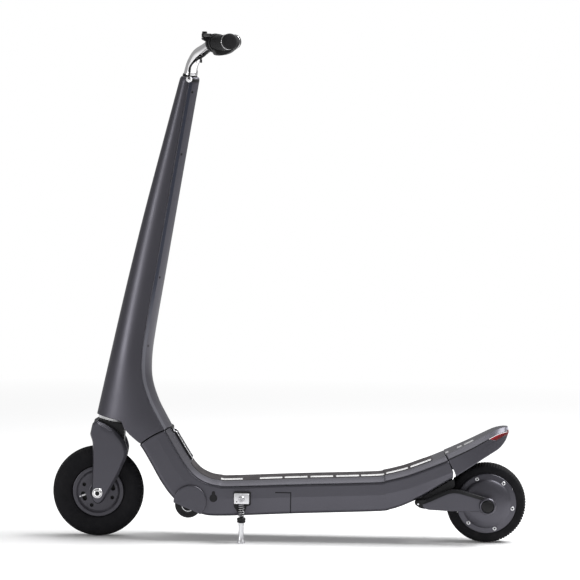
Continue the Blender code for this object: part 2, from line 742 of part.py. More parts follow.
def build_mast():
    """Build the mast: front shell, rear cover, base casting, cap, bearings and grommet."""
    cutter = mast_cutter()
    shell = add_mesh("mast_shell", loft("mast_shell", mast_rows(MAST_STATIONS, "front"), False, False,
                                        True), "body", AXIS_FOLD)
    thicken(shell)
    cut(shell, cutter)
    cover = add_mesh("mast_rear_cover", loft("mast_rear_cover", mast_rows(MAST_STATIONS, "rear"), False,
                                             False, True), "body", AXIS_FOLD)
    thicken(cover)
    cut(cover, cutter)

    base_stations = [s for s in MAST_STATIONS if s <= 0.044]
    base = add_mesh("mast_base", loft("mast_base", mast_rows(base_stations, "whole", CORE_INSET + 0.0018),
                                      True, True), "body", AXIS_FOLD)
    knuckle = add_cutter("mast_knuckle", rod("mast_knuckle", FOLD_KNUCKLE_R, -FOLD_CENTRE_HALF_W,
                                             FOLD_CENTRE_HALF_W,
                                             FOLD_X, FOLD_Z, 20))
    web = add_cutter("mast_web", prism("mast_web", round_fold(MAST_WEB), -FOLD_CENTRE_HALF_W,
                                       FOLD_CENTRE_HALF_W))
    bore = add_cutter("fold_bore", rod("fold_bore", FOLD_PIN_R + GAP, -0.08, 0.08, FOLD_X, FOLD_Z, 20))
    steerer_bore = add_cutter("steerer_bore", along("steerer_bore", STEERER_R + RUN_GAP,
                                                    steer_point(-0.1, 0), steer_point(0.2, 0), 20))
    turn = [2 * math.pi * i / 40 for i in range(40)]
    rings = [[steer_point(s, r * math.cos(a), r * math.sin(a)) for a in turn] for s, r in FORK_SWEEP]
    well = add_cutter("fork_sweep", loft("fork_sweep", rings, True, True))
    seat = add_cutter("bearing_seat", along("bearing_seat", BEARING_R + GAP, steer_point(-0.02, 0),
                                            steer_point(BEARING_SEAT, 0), 20))
    cut(base, cutter)
    join(base, knuckle, web)
    cut(base, bore, steerer_bore, seat, well)
    ring = [(STEERER_R + GAP, 0.0), (BEARING_R, 0.0), (BEARING_R, BEARING_SEAT + FORK_GAP - 2 * GAP),
            (STEERER_R + GAP, BEARING_SEAT + FORK_GAP - 2 * GAP)]
    turned("lower_bearing", ring, 16, axis_place(-FORK_GAP + GAP), "steel", AXIS_FOLD, ring=True)

    ring = [(STEERER_R + GAP, MAST_TOP - 0.018), (CAP_RING_R, MAST_TOP - 0.018), (CAP_RING_R, MAST_TOP),
            (CAP_RING_R - 0.001, MAST_TOP + 0.003),
            (STEERER_R + GAP, MAST_TOP + 0.003)]
    turned("mast_cap", ring, 16, axis_place(0.0), "black", AXIS_FOLD, ring=True)
    build_grommet(shell)


def axis_place(s):
    """Return the placement of a turned part on the steering axis at height s."""
    return Matrix.Translation(steer_point(s, 0.0)) @ Matrix.Rotation(HEAD_ANGLE, 4, "Y")


def round_fold(corners):
    """Return side view points from (distance, direction in degrees) round the fold's hinge pin."""
    return [(FOLD_X + r * math.cos(math.radians(a)), FOLD_Z + r * math.sin(math.radians(a)))
            for r, a in corners]


def thicken(obj):
    """Give an open skin its wall, inwards."""
    modifier = obj.modifiers.new("wall", "SOLIDIFY")
    modifier.thickness = WALL
    modifier.offset = -1.0
    modifier.use_even_offset = True
    return modifier


def build_grommet(shell):
    """Build the round cable grommet on the left shoulder of the mast's top."""
    centre = steer_point(MAST_TOP - 0.0015, 0.0, -0.0255)
    outward = Vector((0.15, -0.92, 0.35)).normalized()
    back = centre - outward * 0.004
    front = centre + outward * 0.0035
    hole = add_cutter("grommet_hole", along("grommet_hole", GROMMET_R - 0.0022, back - outward * 0.004,
                                            front + outward * 0.01, 20))
    cut(shell, hole)
    add_mesh("cable_grommet", along("cable_grommet", GROMMET_R, centre + outward * 0.0008, front, 24,
                                    GROMMET_R * 0.72), "white", AXIS_FOLD)


# Deck
def deck_row(t):
    """Return the smoothed deck station at station number t."""
    return [smooth_value([(float(i), row[k]) for i, row in enumerate(DECK_ROWS)], t) for k in range(7)]


def deck_point(t, u, y):
    """Return the point u up from the belly and y across, in the deck section at t."""
    bx, bz, tx, tz = deck_row(t)[:4]
    height = math.hypot(tx - bx, tz - bz)
    return Vector((bx + (tx - bx) * u / height, y, bz + (tz - bz) * u / height))


def deck_height(t):
    """Return the height of the deck section at t."""
    bx, bz, tx, tz = deck_row(t)[:4]
    return math.hypot(tx - bx, tz - bz)


def deck_top(t, y, lift):
    """Return the point lift above the top of the deck at t, y off the middle."""
    sag = deck_row(t)[6]
    return deck_point(t, deck_height(t) - sag * (y / DECK_TOP_HALF_W) ** 2 + lift, y)


def tub_half(t, inset=0.0):
    """Return the half section of the tub from the middle of the belly to the seam as (u, y)."""
    half, drop = deck_row(t)[4:6]
    height = deck_height(t)
    taper = DECK_TAPER * min(1.0, max(0.25, (t - 6.5) / 1.5)) * (1.0 - 0.75 * min(1.0,
        max(0.0, (t - 10.0) / 2.0)))
    low_half = half - taper
    points = [(inset, 0.0)]
    for i in range(4):
        angle = math.pi / 2 * i / 3
        points.append((DECK_CORNER_R - (DECK_CORNER_R - inset) * math.cos(angle),
                       low_half - DECK_CORNER_R + (DECK_CORNER_R - inset) * math.sin(angle)))
    points.append((height - DECK_CREASE, half - inset))
    points.append((height - drop, half - inset))
    return points


def cover_half(t, inset=0.0):
    """Return the half section of the top cover from the seam to the middle as (u, y)."""
    half, drop, sag = deck_row(t)[4:7]
    height = deck_height(t)
    seam = height - drop + SEAM_GAP
    return [(seam, half - inset), (seam + SEAM_LIP - inset * 0.9, half - inset),
            (height - sag - inset, DECK_TOP_HALF_W - inset * 0.4),
            (height - sag * 0.25 - inset, DECK_TOP_HALF_W / 2),
            (height - inset, 0.0)]


def deck_rows(stations, part, inset=0.0):
    """Return lofted rows of the tub, of the cover or of the whole deck section."""
    rows = []
    for t in stations:
        if part == "tub":
            half = tub_half(t, inset)
        elif part == "cover":
            half = list(reversed(cover_half(t, inset)))
        else:
            half = tub_half(t, inset)[:-1] + cover_half(t, inset)[1:-1]
            full = [(u, -y) for u, y in reversed(half)] + half[1:] + [(cover_half(t, inset)[-1][0], 0.0)]
            rows.append([deck_point(t, u, y) for u, y in full])
            continue
        full = [(u, -y) for u, y in reversed(half)] + half[1:]
        rows.append([deck_point(t, u, y) for u, y in full])
    return rows


DECK_T = [0.0, 1.0, 2.0, 3.0, 3.5, 4.0, 4.5, 5.0, 5.5, 6.0, 6.5, 7.0, 8.0, 9.0, 9.5, 10.0, 10.5, 11.0,
          12.0, 14.0]


def deck_end_cutter():
    """Return the region behind the end of the deck."""
    outline = moved(DECK_END, TYRE_EDGE_X, TYRE_TOP_Z)
    outline += [(REAR_AXLE_X + 0.07, outline[-1][1]), (REAR_AXLE_X + 0.07, outline[0][1])]
    return add_cutter("deck_end_cutter", prism("deck_end_cutter", outline, -0.09, 0.09))


def build_deck():
    """Build the deck's tub, cover, front casting, rear bulkhead and what is fastened to them."""
    front = deck_cutter()
    back = deck_end_cutter()
    wide = FOLD_HALF_W + RUN_GAP
    window = [(FOLD_X - 0.0085, FOLD_Z - 0.0030), (FOLD_X + 0.0035, FOLD_Z - 0.0095),
              (FOLD_X + 0.0200, FOLD_Z + 0.0010), (FOLD_X + 0.0060, FOLD_Z + 0.0260)]
    relief = add_cutter("fold_window", prism("fold_window", window, -wide, wide))
    narrow = FOLD_CENTRE_HALF_W + RUN_GAP
    seat = add_cutter("fold_seat", rod("fold_seat", FOLD_KNUCKLE_R + RUN_GAP, -narrow, narrow, FOLD_X,
                                       FOLD_Z, 20))
    bore = bpy.data.objects["fold_bore"]
    tub = add_mesh("deck_tub", loft("deck_tub", deck_rows(DECK_T, "tub"), False, False), "body")
    thicken(tub)
    wheel_x = TROLLEY_X + TROLLEY_WHEEL_BACK
    wheel_z = TROLLEY_Z - TROLLEY_WHEEL_DOWN
    wells = []
    for side, tag in ((-1, "left"), (1, "right")):
        inner = side * (TROLLEY_WHEEL_Y - TROLLEY_WHEEL_HALF_W - RUN_GAP)
        outer = side * (TROLLEY_WHEEL_Y + TROLLEY_WHEEL_HALF_W + RUN_GAP)
        wells.append(add_cutter("well_" + tag, rod("well_" + tag, TROLLEY_WELL_R, min(inner, outer),
                                                   max(inner, outer), wheel_x, wheel_z, 24)))
    socket = add_cutter("port_hole", rod("port_hole", PORT_R - 0.001 + GAP, -0.09, -0.05, PORT_X, PORT_Z, 24))
    cut(tub, front, back, *wells, socket)
    for side, tag in ((-1, "left"), (1, "right")):
        y0 = side * (0.0710)
        y1 = side * 0.09
        flat = add_cutter("panel_flat_" + tag, box("panel_flat", PANEL_X - PANEL_SLOT_LENGTH,
                                                   PANEL_X + PANEL_CUT, min(y0, y1), max(y0, y1),
                                                   PANEL_Z, PANEL_Z + PANEL_CUT))
        upright = add_cutter("panel_upright_" + tag, box("panel_upright", PANEL_X, PANEL_X + PANEL_CUT,
                                                         min(y0 - side * 0.004, y1),
                                                         max(y0 - side * 0.004, y1),
                                                         0.070, PANEL_Z))
        cut(tub, flat, upright)

    cover = add_mesh("deck_cover", loft("deck_cover", deck_rows(DECK_T, "cover"), False, False, True), "body")
    thicken(cover)
    cut(cover, front, back, relief)

    block_t = (0.0, 1.0, 2.0, 3.0, 4.0, 4.5)
    block = add_mesh("neck_block", loft("neck_block", deck_rows(block_t, "whole", CORE_INSET), True,
                                        True), "silver")
    rear_of_block = add_cutter("neck_block_back", rod("neck_block_back", NECK_BLOCK_R, -0.09, 0.09,
                                                      TROLLEY_X, TROLLEY_Z, 40))
    cut(block, front, rear_of_block)
    for side, tag in ((-1, "left"), (1, "right")):
        inner = side * (FOLD_CENTRE_HALF_W + GAP * 2)
        outer = side * FOLD_HALF_W
        knuckle = add_cutter("deck_knuckle_" + tag, rod("deck_knuckle", FOLD_KNUCKLE_R, min(inner, outer),
                                                        max(inner, outer), FOLD_X, FOLD_Z, 20))
        web = add_cutter("deck_web_" + tag, prism("deck_web", round_fold(DECK_WEB), min(inner, outer),
                                                  max(inner, outer)))
        join(block, knuckle, web)
    cut(block, seat, bore)
    add_mesh("fold_pin", rod("fold_pin", FOLD_PIN_R, -FOLD_HALF_W, FOLD_HALF_W, FOLD_X, FOLD_Z, 12), "steel")
    build_latch(cover, block)
    build_bulkhead(back)
    build_mat()
    build_inside(tub)
    build_trolley()


def build_latch(cover, block):
    """Build the latch lever on the back of the neck, with its hinge pin and pocket."""
    start = LATCH_START_T
    pin = deck_top(start, 0.0, -LATCH_SUNK)
    pin_xz = (pin.x, pin.z)
    axis = add_empty("axis_latch", (pin.x, 0.0, pin.z))
    stations = [start + (LATCH_END_T - start) * i / 4 for i in range(5)]
    rows = []
    for t in stations:
        across = [-1.0, -0.85, 0.0, 0.85, 1.0]
        upper = [deck_top(t, LATCH_HALF_W * a, LATCH_PROUD - (0.0018 if abs(a) == 1.0 else 0.0))
                 for a in across]
        lower = [deck_top(t, LATCH_HALF_W * a, 0.0006) for a in reversed(across)]
        rows.append(upper + lower)
    lever = add_mesh("latch_lever", loft("latch_lever", rows, True, True), "silver", axis)
    barrel = add_cutter("latch_barrel", rod("latch_barrel", LATCH_KNUCKLE_R, -LATCH_HALF_W, LATCH_HALF_W,
                                            *pin_xz, 20))
    pocket = add_cutter("latch_pocket", rod("latch_pocket", LATCH_KNUCKLE_R + RUN_GAP,
                                            -LATCH_HALF_W - GAP, LATCH_HALF_W + GAP, *pin_xz, 20))
    trunnion = add_cutter("latch_trunnion", rod("latch_trunnion", LATCH_PIN_R, -LATCH_HALF_W - 0.0045,
                                                LATCH_HALF_W + 0.0045, *pin_xz, 16))
    join(lever, barrel, trunnion)
    pin_hole = add_cutter("latch_pin_hole", rod("latch_pin_hole", LATCH_PIN_R + GAP,
                                                -LATCH_HALF_W - 0.005, LATCH_HALF_W + 0.005, *pin_xz, 16))
    cut(cover, pocket, pin_hole)
    cut(block, pocket, pin_hole)


def build_bulkhead(back):
    """Build the casting in the deck's end that carries the tail's hinge pin."""
    rows = deck_rows((12.0, 14.0), "whole", CORE_INSET)
    bulkhead = add_mesh("rear_bulkhead", loft("rear_bulkhead", rows, True, True), "black")
    ahead = add_cutter("bulkhead_front", box("bulkhead_front", BULKHEAD_X - 0.12, BULKHEAD_X, -0.09, 0.09,
                                             0.03, TYRE_TOP_Z + 0.08))
    cut(bulkhead, back, ahead)
    for side in (-1, 1):
        inner = side * (TAIL_LUG_Y - TAIL_LUG_THICK - RUN_GAP)
        outer = side * (TAIL_LUG_Y + RUN_GAP)
        outline = arc_points(TAIL_PIVOT_X, TAIL_PIVOT_Z, TAIL_LUG_R + RUN_GAP, 120.0, 290.0, 8)
        behind = TAIL_PIVOT_X + LUG_LENGTH + 0.011
        outline += [(behind, TAIL_PIVOT_Z - TAIL_LUG_R - 0.006), (behind, TAIL_PIVOT_Z + TAIL_LUG_R + 0.003)]
        slot = add_cutter("lug_slot_left" if side < 0 else "lug_slot_right",
                          prism("lug_slot", outline, min(inner, outer), max(inner, outer)))
        cut(bulkhead, slot)
    pin_hole = add_cutter("tail_pin_hole", rod("tail_pin_hole", TAIL_PIN_R + GAP, -0.0605, 0.0605,
                                               TAIL_PIVOT_X, TAIL_PIVOT_Z, 16))
    cut(bulkhead, pin_hole)


def build_mat():
    """Build the grip mat on the deck's top."""
    rows = []
    stations = [t for t in DECK_T if MAT_START_T <= t <= MAT_END_T]
    for t in stations:
        near_end = min(1.0, 0.86 + 0.14 * min(abs(t - stations[0]), abs(stations[-1] - t)) / 0.3)
        half = MAT_HALF_W * near_end
        rows.append([deck_top(t, -half, GAP), deck_top(t, half, GAP),
                     deck_top(t, half - 0.0008, GAP + MAT_THICK),
                     deck_top(t, -half + 0.0008, GAP + MAT_THICK)])
    add_mesh("grip_mat", loft("grip_mat", rows, True, True), "mat")


def build_inside(tub):
    """Build the battery, the controller and the charge socket inside the tub."""
    floor = WALL + GAP
    rows = []
    for t in (7.0, 8.0, 9.0):
        rows.append([deck_point(t, floor, -BATTERY_HALF_W), deck_point(t, floor, BATTERY_HALF_W),
                     deck_point(t, floor + BATTERY_HEIGHT, BATTERY_HALF_W),
                     deck_point(t, floor + BATTERY_HEIGHT, -BATTERY_HALF_W)])
    battery = add_mesh("battery_pack", loft("battery_pack", rows, True, True), "blue")
    battery_end = CONTROLLER_X0 - BATTERY_TO_CONTROLLER
    cut(battery, add_cutter("battery_front", box("battery_front", BATTERY_X0 - 0.08, BATTERY_X0, -0.08,
                                                 0.08, 0.0, 0.2)),
        add_cutter("battery_back", box("battery_back", battery_end, battery_end + 0.2, -0.08, 0.08, 0.0,
                                       0.2)))
    bevel(battery, 0.002)
    rows = []
    for t in (8.0, 9.0):
        rows.append([deck_point(t, floor, -CONTROLLER_HALF_W), deck_point(t, floor, CONTROLLER_HALF_W),
                     deck_point(t, floor + CONTROLLER_HEIGHT, CONTROLLER_HALF_W),
                     deck_point(t, floor + CONTROLLER_HEIGHT, -CONTROLLER_HALF_W)])
    controller = add_mesh("controller_box", loft("controller_box", rows, True, True), "silver")
    cut(controller, add_cutter("controller_front", box("controller_front", CONTROLLER_X0 - 0.2,
                                                       CONTROLLER_X0, -0.08, 0.08, 0.0, 0.2)))
    bevel(controller, 0.0015)
    wall_y = 0.072
    outline = arc_points(PORT_X, PORT_Z, PORT_R, 65.0, -245.0, 22)
    outline += [(PORT_X - PORT_NECK_HALF_W, PORT_TOP_Z), (PORT_X + PORT_NECK_HALF_W, PORT_TOP_Z)]
    add_mesh("charge_port_cap", prism("charge_port_cap", outline, -wall_y - GAP - PORT_PROUD,
                                      -wall_y - GAP), "rubber")


def build_trolley():
    """Build the two small pull-along wheels under the neck with their axle and side covers."""
    wheel_x = TROLLEY_X + TROLLEY_WHEEL_BACK
    wheel_z = TROLLEY_Z - TROLLEY_WHEEL_DOWN
    reach = TROLLEY_WHEEL_Y + TROLLEY_WHEEL_HALF_W + RUN_GAP - GAP
    add_mesh("trolley_axle", rod("trolley_axle", TROLLEY_AXLE_R, -reach, reach, wheel_x, wheel_z, 16),
             "steel")
    for side, tag in ((-1, "left"), (1, "right")):
        y = side * TROLLEY_WHEEL_Y
        w = TROLLEY_WHEEL_HALF_W
        axis = add_empty("axis_trolley_" + tag, (wheel_x, y, wheel_z))
        r = TROLLEY_WHEEL_R
        half = [(TROLLEY_AXLE_R + GAP, w), (0.011, w), (r - 0.006, w - 0.002), (r, w - 0.002)]
        profile = half + [(a, -b) for a, b in reversed(half)]
        place = Matrix.Translation((wheel_x, y, wheel_z)) @ Matrix.Rotation(math.radians(-90.0), 4, "X")
        turned("trolley_wheel_" + tag, profile, 16, place, "rubber", axis, ring=True)
        wall = side * (0.072 + GAP)
        face = side * (0.072 + GAP + TROLLEY_COVER_THICK)
        disc = add_mesh("trolley_cover_" + tag, cover_disc(wall, face), "body")
        bevel(disc, 0.0022)


def cover_disc(wall, face):
    """Return the mesh of a round side cover with a chord taken off its lower front."""
    chord = 58.0
    middle = 228.0
    outline = arc_points(TROLLEY_X, TROLLEY_Z, TROLLEY_COVER_R, middle + chord / 2,
                         middle + 360.0 - chord / 2, 24)
    return prism("trolley_cover", outline, min(wall, face), max(wall, face))


def build_stand():
    """Build the kickstand on the left wall: plate, pivot bolt, head, rod, return spring and leg."""
    wall = -0.072 - GAP
    plate_face = wall - STAND_PLATE_THICK
    x, z = STAND_X, STAND_Z
    centre_y = plate_face - RUN_GAP / 2 - STAND_HEAD_THICK / 2
    low = STAND_PLATE_LOW
    plate = add_mesh("stand_plate", box("stand_plate", x - STAND_PLATE[0] / 2, x + STAND_PLATE[0] / 2,
                                        plate_face, wall,
                                        low, low + STAND_PLATE[1]), "black")
    bolt_hole = add_cutter("stand_bolt_hole", rod("stand_bolt_hole", STAND_BOLT_R + GAP, -0.12, -0.06, x,
                                                  z, 14))
    cut(plate, bolt_hole)
    bevel(plate, 0.0015)
    cut(bpy.data.objects["deck_tub"], bolt_hole)
    head = add_mesh("stand_head", box("stand_head", x - STAND_HEAD[0] / 2, x + STAND_HEAD[0] / 2,
                                      centre_y - STAND_HEAD_THICK / 2,
                                      centre_y + STAND_HEAD_THICK / 2, z - STAND_HEAD[1] / 2,
                                      z + STAND_HEAD[1] / 2), "silver", AXIS_STAND)
    cut(head, bolt_hole)
    bevel(head, 0.0015)
    back = centre_y - STAND_HEAD_THICK / 2 - GAP
    bolt = add_mesh("stand_bolt", rod("stand_bolt", STAND_BOLT_R, back, -0.0665, x, z, 14), "steel")
    bolt_head = add_cutter("stand_bolt_head", rod("stand_bolt_head", STAND_BOLT_HEAD_R, back - 0.004,
                                                  back + 0.0001, x, z, 6))
    join(bolt, bolt_head)
    upright = Matrix.Translation((x, centre_y, 0.0))
    top = z - STAND_HEAD[1] / 2 - GAP
    r, collar = STAND_ROD_R, STAND_COLLAR_R
    rod_profile = [(0.0, STAND_COLLAR_LOW), (collar - 0.001, STAND_COLLAR_LOW),
                   (collar, STAND_COLLAR_LOW + 0.001),
                   (collar, STAND_COLLAR_TOP - 0.001), (collar - 0.001, STAND_COLLAR_TOP),
                   (r, STAND_COLLAR_TOP), (r, top), (0.0, top)]
    turned("stand_rod", rod_profile, 12, upright, "black", AXIS_STAND)
    foot = STAND_FOOT_R
    leg_top = STAND_COLLAR_LOW - GAP
    leg_profile = [(0.0, 0.0), (foot - 0.0015, 0.0), (foot, 0.0015), (foot, 0.003),
                   (0.006, STAND_FOOT_HEIGHT), (r, STAND_FOOT_HEIGHT + 0.006),
                   (r, leg_top), (0.0, leg_top)]
    turned("stand_leg", leg_profile, 12, upright, "silver", AXIS_STAND)
    build_spring(x, centre_y, STAND_COLLAR_TOP + GAP + SPRING_WIRE_R, top - GAP - SPRING_WIRE_R)


def build_spring(x, y, low, high):
    """Build the kickstand's coil spring as one round wire, a helix with a straight end at each side."""
    pitch = (high - low) / SPRING_TURNS
    count = int(SPRING_TURNS * SPRING_POINTS_PER_TURN)
    points = []
    for i in range(count + 1):
        angle = 2 * math.pi * i / SPRING_POINTS_PER_TURN
        points.append(Vector((x + SPRING_MEAN_R * math.cos(angle), y + SPRING_MEAN_R * math.sin(angle),
                              low + (high - low) * i / count)))
    first = (points[0] - points[1]).normalized()
    last = (points[-1] - points[-2]).normalized()
    points.insert(0, points[0] + Vector((first.x, first.y, 0.0)).normalized() * 2 * SPRING_WIRE_R)
    points.append(points[-1] + Vector((last.x, last.y, 0.0)).normalized() * 2 * SPRING_WIRE_R)
    least = min((a - b).length for i, a in enumerate(points)
                for b in points[i + SPRING_POINTS_PER_TURN // 2:])
    print("stand_spring: least gap between turns mm", round((least - 2 * SPRING_WIRE_R) * 1000, 2),
          "pitch mm", round(pitch * 1000, 2))
    add_mesh("stand_spring", tube("stand_spring", points, SPRING_WIRE_R, 1), "steel", AXIS_STAND)


# Swing arm and rear wheel
def build_rear():
    """Build the arm bracket, swing arm, rubber spring block, axle and hub motor wheel."""
    belly = [(t, deck_point(t, 0.0, 0.0)) for t in (10.5, 11.0, 12.0)]
    pin_z = ARM_PIVOT_Z
    outline = [(p.x, p.z + WALL / 2) for _, p in belly]
    outline += arc_points(ARM_PIVOT_X, pin_z, ARM_BOSS_R, 0.0, -180.0, 8)
    bracket = add_cutter("arm_bracket", prism("arm_bracket", outline, -LUG_HALF_W, LUG_HALF_W))
    pivot_hole = add_cutter("arm_pivot_hole", rod("arm_pivot_hole", ARM_PIN_R + GAP, -0.10, 0.10,
                                                  ARM_PIVOT_X, pin_z, 16))
    tub = bpy.data.objects["deck_tub"]
    join(tub, bracket)
    cut(tub, pivot_hole)
    outer = ARM_OUTER_Y
    inner = outer - ARM_THICK
    arc = arc_points(ARM_PIVOT_X, pin_z, ARM_BOSS_R, 80.0, 280.0, 8)
    arm_outline = arc + moved(ARM_LOW, TYRE_EDGE_X, REAR_TYRE_R) + moved(ARM_EYE, REAR_AXLE_X, REAR_TYRE_R)
    arm_outline += moved(ARM_HIGH, TYRE_EDGE_X, REAR_TYRE_R)
    arm = add_mesh("swing_arm", prism("swing_arm", arm_outline, -outer, -inner), "body", AXIS_ARM)
    other = add_cutter("arm_right", prism("arm_right", arm_outline, inner, outer))
    x0, x1 = (TYRE_EDGE_X - ahead for ahead in ARM_BRIDGE_AHEAD)
    z0, z1 = (REAR_TYRE_R + up for up in ARM_BRIDGE_Z)
    bridge = add_cutter("arm_bridge", box("arm_bridge", x0, x1, -inner - 0.002, inner + 0.002, z0, z1))
    join(arm, other, bridge)
    bevel(arm, ARM_BEVEL, 1, 50.0)
    axle_hole = add_cutter("rear_axle_hole", rod("rear_axle_hole", REAR_AXLE_R + GAP, -0.10, 0.10,
                                                 REAR_AXLE_X, REAR_TYRE_R, 16))
    cut(arm, pivot_hole, axle_hole)
    add_mesh("arm_pivot_pin", rod("arm_pivot_pin", ARM_PIN_R, -outer - 0.001, outer + 0.001, ARM_PIVOT_X,
                                  pin_z, 16), "steel")
    top = []
    for x in (RUBBER_X1, (RUBBER_X0 + RUBBER_X1) / 2, RUBBER_X0):
        top.append((x, belly_z(x) - 2 * GAP))
    block = add_mesh("suspension_rubber", prism("suspension_rubber",
                                                [(RUBBER_X0, z1 + GAP), (x1, z1 + GAP)] + top,
                                                -RUBBER_HALF_W, RUBBER_HALF_W), "rubber")
    bevel(block, 0.0015)
    add_mesh("rear_axle", rod("rear_axle", REAR_AXLE_R, -outer - REAR_CAP_THICK + 0.003,
                              outer + REAR_CAP_THICK - 0.003, REAR_AXLE_X, REAR_TYRE_R, 16), "steel",
                              AXIS_ARM)
    for side, tag in ((-1, "left"), (1, "right")):
        turn = Matrix.Translation((REAR_AXLE_X, side * (outer + GAP),
                                   REAR_TYRE_R)) @ Matrix.Rotation(math.radians(-90.0 * side), 4, "X")
        t = REAR_CAP_THICK
        bore_r = REAR_AXLE_R + GAP
        profile = [(0.0, t - 0.0025), (bore_r, t - 0.0025), (bore_r, 0.0), (REAR_CAP_R + 0.005, 0.0),
                   (REAR_CAP_R + 0.0045, 0.003),
                   (REAR_CAP_R, 0.0035), (REAR_CAP_R - 0.001, t), (0.0, t)]
        turned("axle_cap_" + tag, profile, 16, turn, "body", AXIS_ARM)
    build_hub()


def belly_z(x):
    """Return the height of the deck's underside at x, between the rows of its skin."""
    points = [deck_point(t, 0.0, 0.0) for t in DECK_T]
    for a, b in zip(points, points[1:]):
        if a.x <= x <= b.x:
            return a.z + (b.z - a.z) * (x - a.x) / (b.x - a.x)
    return points[-1].z


def build_hub():
    """Build the hub motor's shell, covers, stator and the solid tyre round it."""
    place = cross_axle(REAR_AXLE_X, REAR_TYRE_R)
    tyre_half = REAR_TYRE_HALF_W
    r = REAR_TYRE_R
    half = [(HUB_R + GAP, tyre_half), (r - 0.012, tyre_half), (r - 0.003, tyre_half - 0.005),
            (r, tyre_half - 0.012)]
    outside = half + [(a, -b) for a, b in reversed(half)]
    turned("rear_tyre", outside, 28, place, "rubber", AXIS_REAR, ring=True)
    w = HUB_HALF_W
    b = HUB_COVER_BULGE
    bore_r = REAR_AXLE_R + RUN_GAP
    dome = [(HUB_COVER_R, w), (0.052, w + 0.0035), (0.046, w + b * 0.5), (0.034, w + b * 0.85),
            (0.016, w + b), (bore_r, w + b)]
    inside = [(bore_r, w + b - 0.009), (0.042, w - 0.004), (0.055, w - 0.012)]
    shell = turned("hub_shell", [(0.055, -w + 0.0033), (HUB_R, -w + 0.0033), (HUB_R, w - 0.0033),
                                 (HUB_COVER_R, w - 0.003)] + dome + inside,
                   28, place, "body", AXIS_REAR, ring=True)
    turn = Matrix.Translation((REAR_AXLE_X, 0.0, REAR_TYRE_R)) @ Matrix.Rotation(math.radians(90.0), 4, "X")
    cover = turned("hub_cover", [(HUB_COVER_R, w - 0.003)] + dome + [(bore_r, w - 0.003)], 28, turn,
                   "body", AXIS_REAR, ring=True)
    for side, carrier in ((-1, cover), (1, shell)):
        for i in range(HUB_SCREWS):
            angle = math.radians(112.0 - 61.0 * i)
            x = REAR_AXLE_X + HUB_SCREW_CIRCLE_R * math.cos(angle)
            z = REAR_TYRE_R + HUB_SCREW_CIRCLE_R * math.sin(angle)
            y0, y1 = sorted((side * (w - 0.001), side * (w + 0.0042)))
            screw = add_cutter("hub_screw_" + str(side + 1) + str(i),
                               rod("hub_screw", HUB_SCREW_R, y0, y1, x, z, 6))
            join(carrier, screw)
    build_stator()


def build_stator():
    """Build the hub motor's toothed stator on the fixed axle."""
    teeth = 12
    outline = []
    for i in range(teeth):
        middle = 360.0 * i / teeth
        outline += arc_points(REAR_AXLE_X, REAR_TYRE_R, STATOR_R, middle - 8.0, middle + 8.0, 1)
        outline += arc_points(REAR_AXLE_X, REAR_TYRE_R, STATOR_R * 0.78, middle + 10.5, middle + 19.5, 1)
    w = STATOR_HALF_W
    stator = add_mesh("hub_stator", prism("hub_stator", outline, -w, w), "copper", AXIS_ARM)
    cut(stator, bpy.data.objects["rear_axle_hole"])


# Tail
def tail_row(t):
    """Return the smoothed tail station at station number t."""
    return [smooth_value([(float(i), row[k]) for i, row in enumerate(TAIL_ROWS)], t) for k in range(5)]


def tail_rows(stations, whole, inset=0.0):
    """Return lofted rows of the tail's skin or of its whole section."""
    rows = []
    for t in stations:
        top_x, top_z, edge_x, edge_z, half = tail_row(t)
        height = math.hypot(top_x - edge_x, top_z - edge_z)
        drop = min(TAIL_SEAM_DROP, height * 0.6)
        side = half - inset
        top_half = min(DECK_TOP_HALF_W, half * TAIL_TOP_SHARE) - inset * 0.4
        half_section = [(0.0, side), (height - drop - inset, side),
                        (height - drop + SEAM_LIP - inset * 0.9, side), (height - inset, top_half),
                        (height - inset, top_half / 2)]
        full = [(u, -y) for u, y in half_section] + [(height - inset, 0.0)] + [(u, y)
            for u, y in reversed(half_section)]
        rows.append([Vector((edge_x + (top_x - edge_x) * u / height, y,
                             edge_z + (top_z - edge_z) * u / height)) for u, y in full])
    return rows


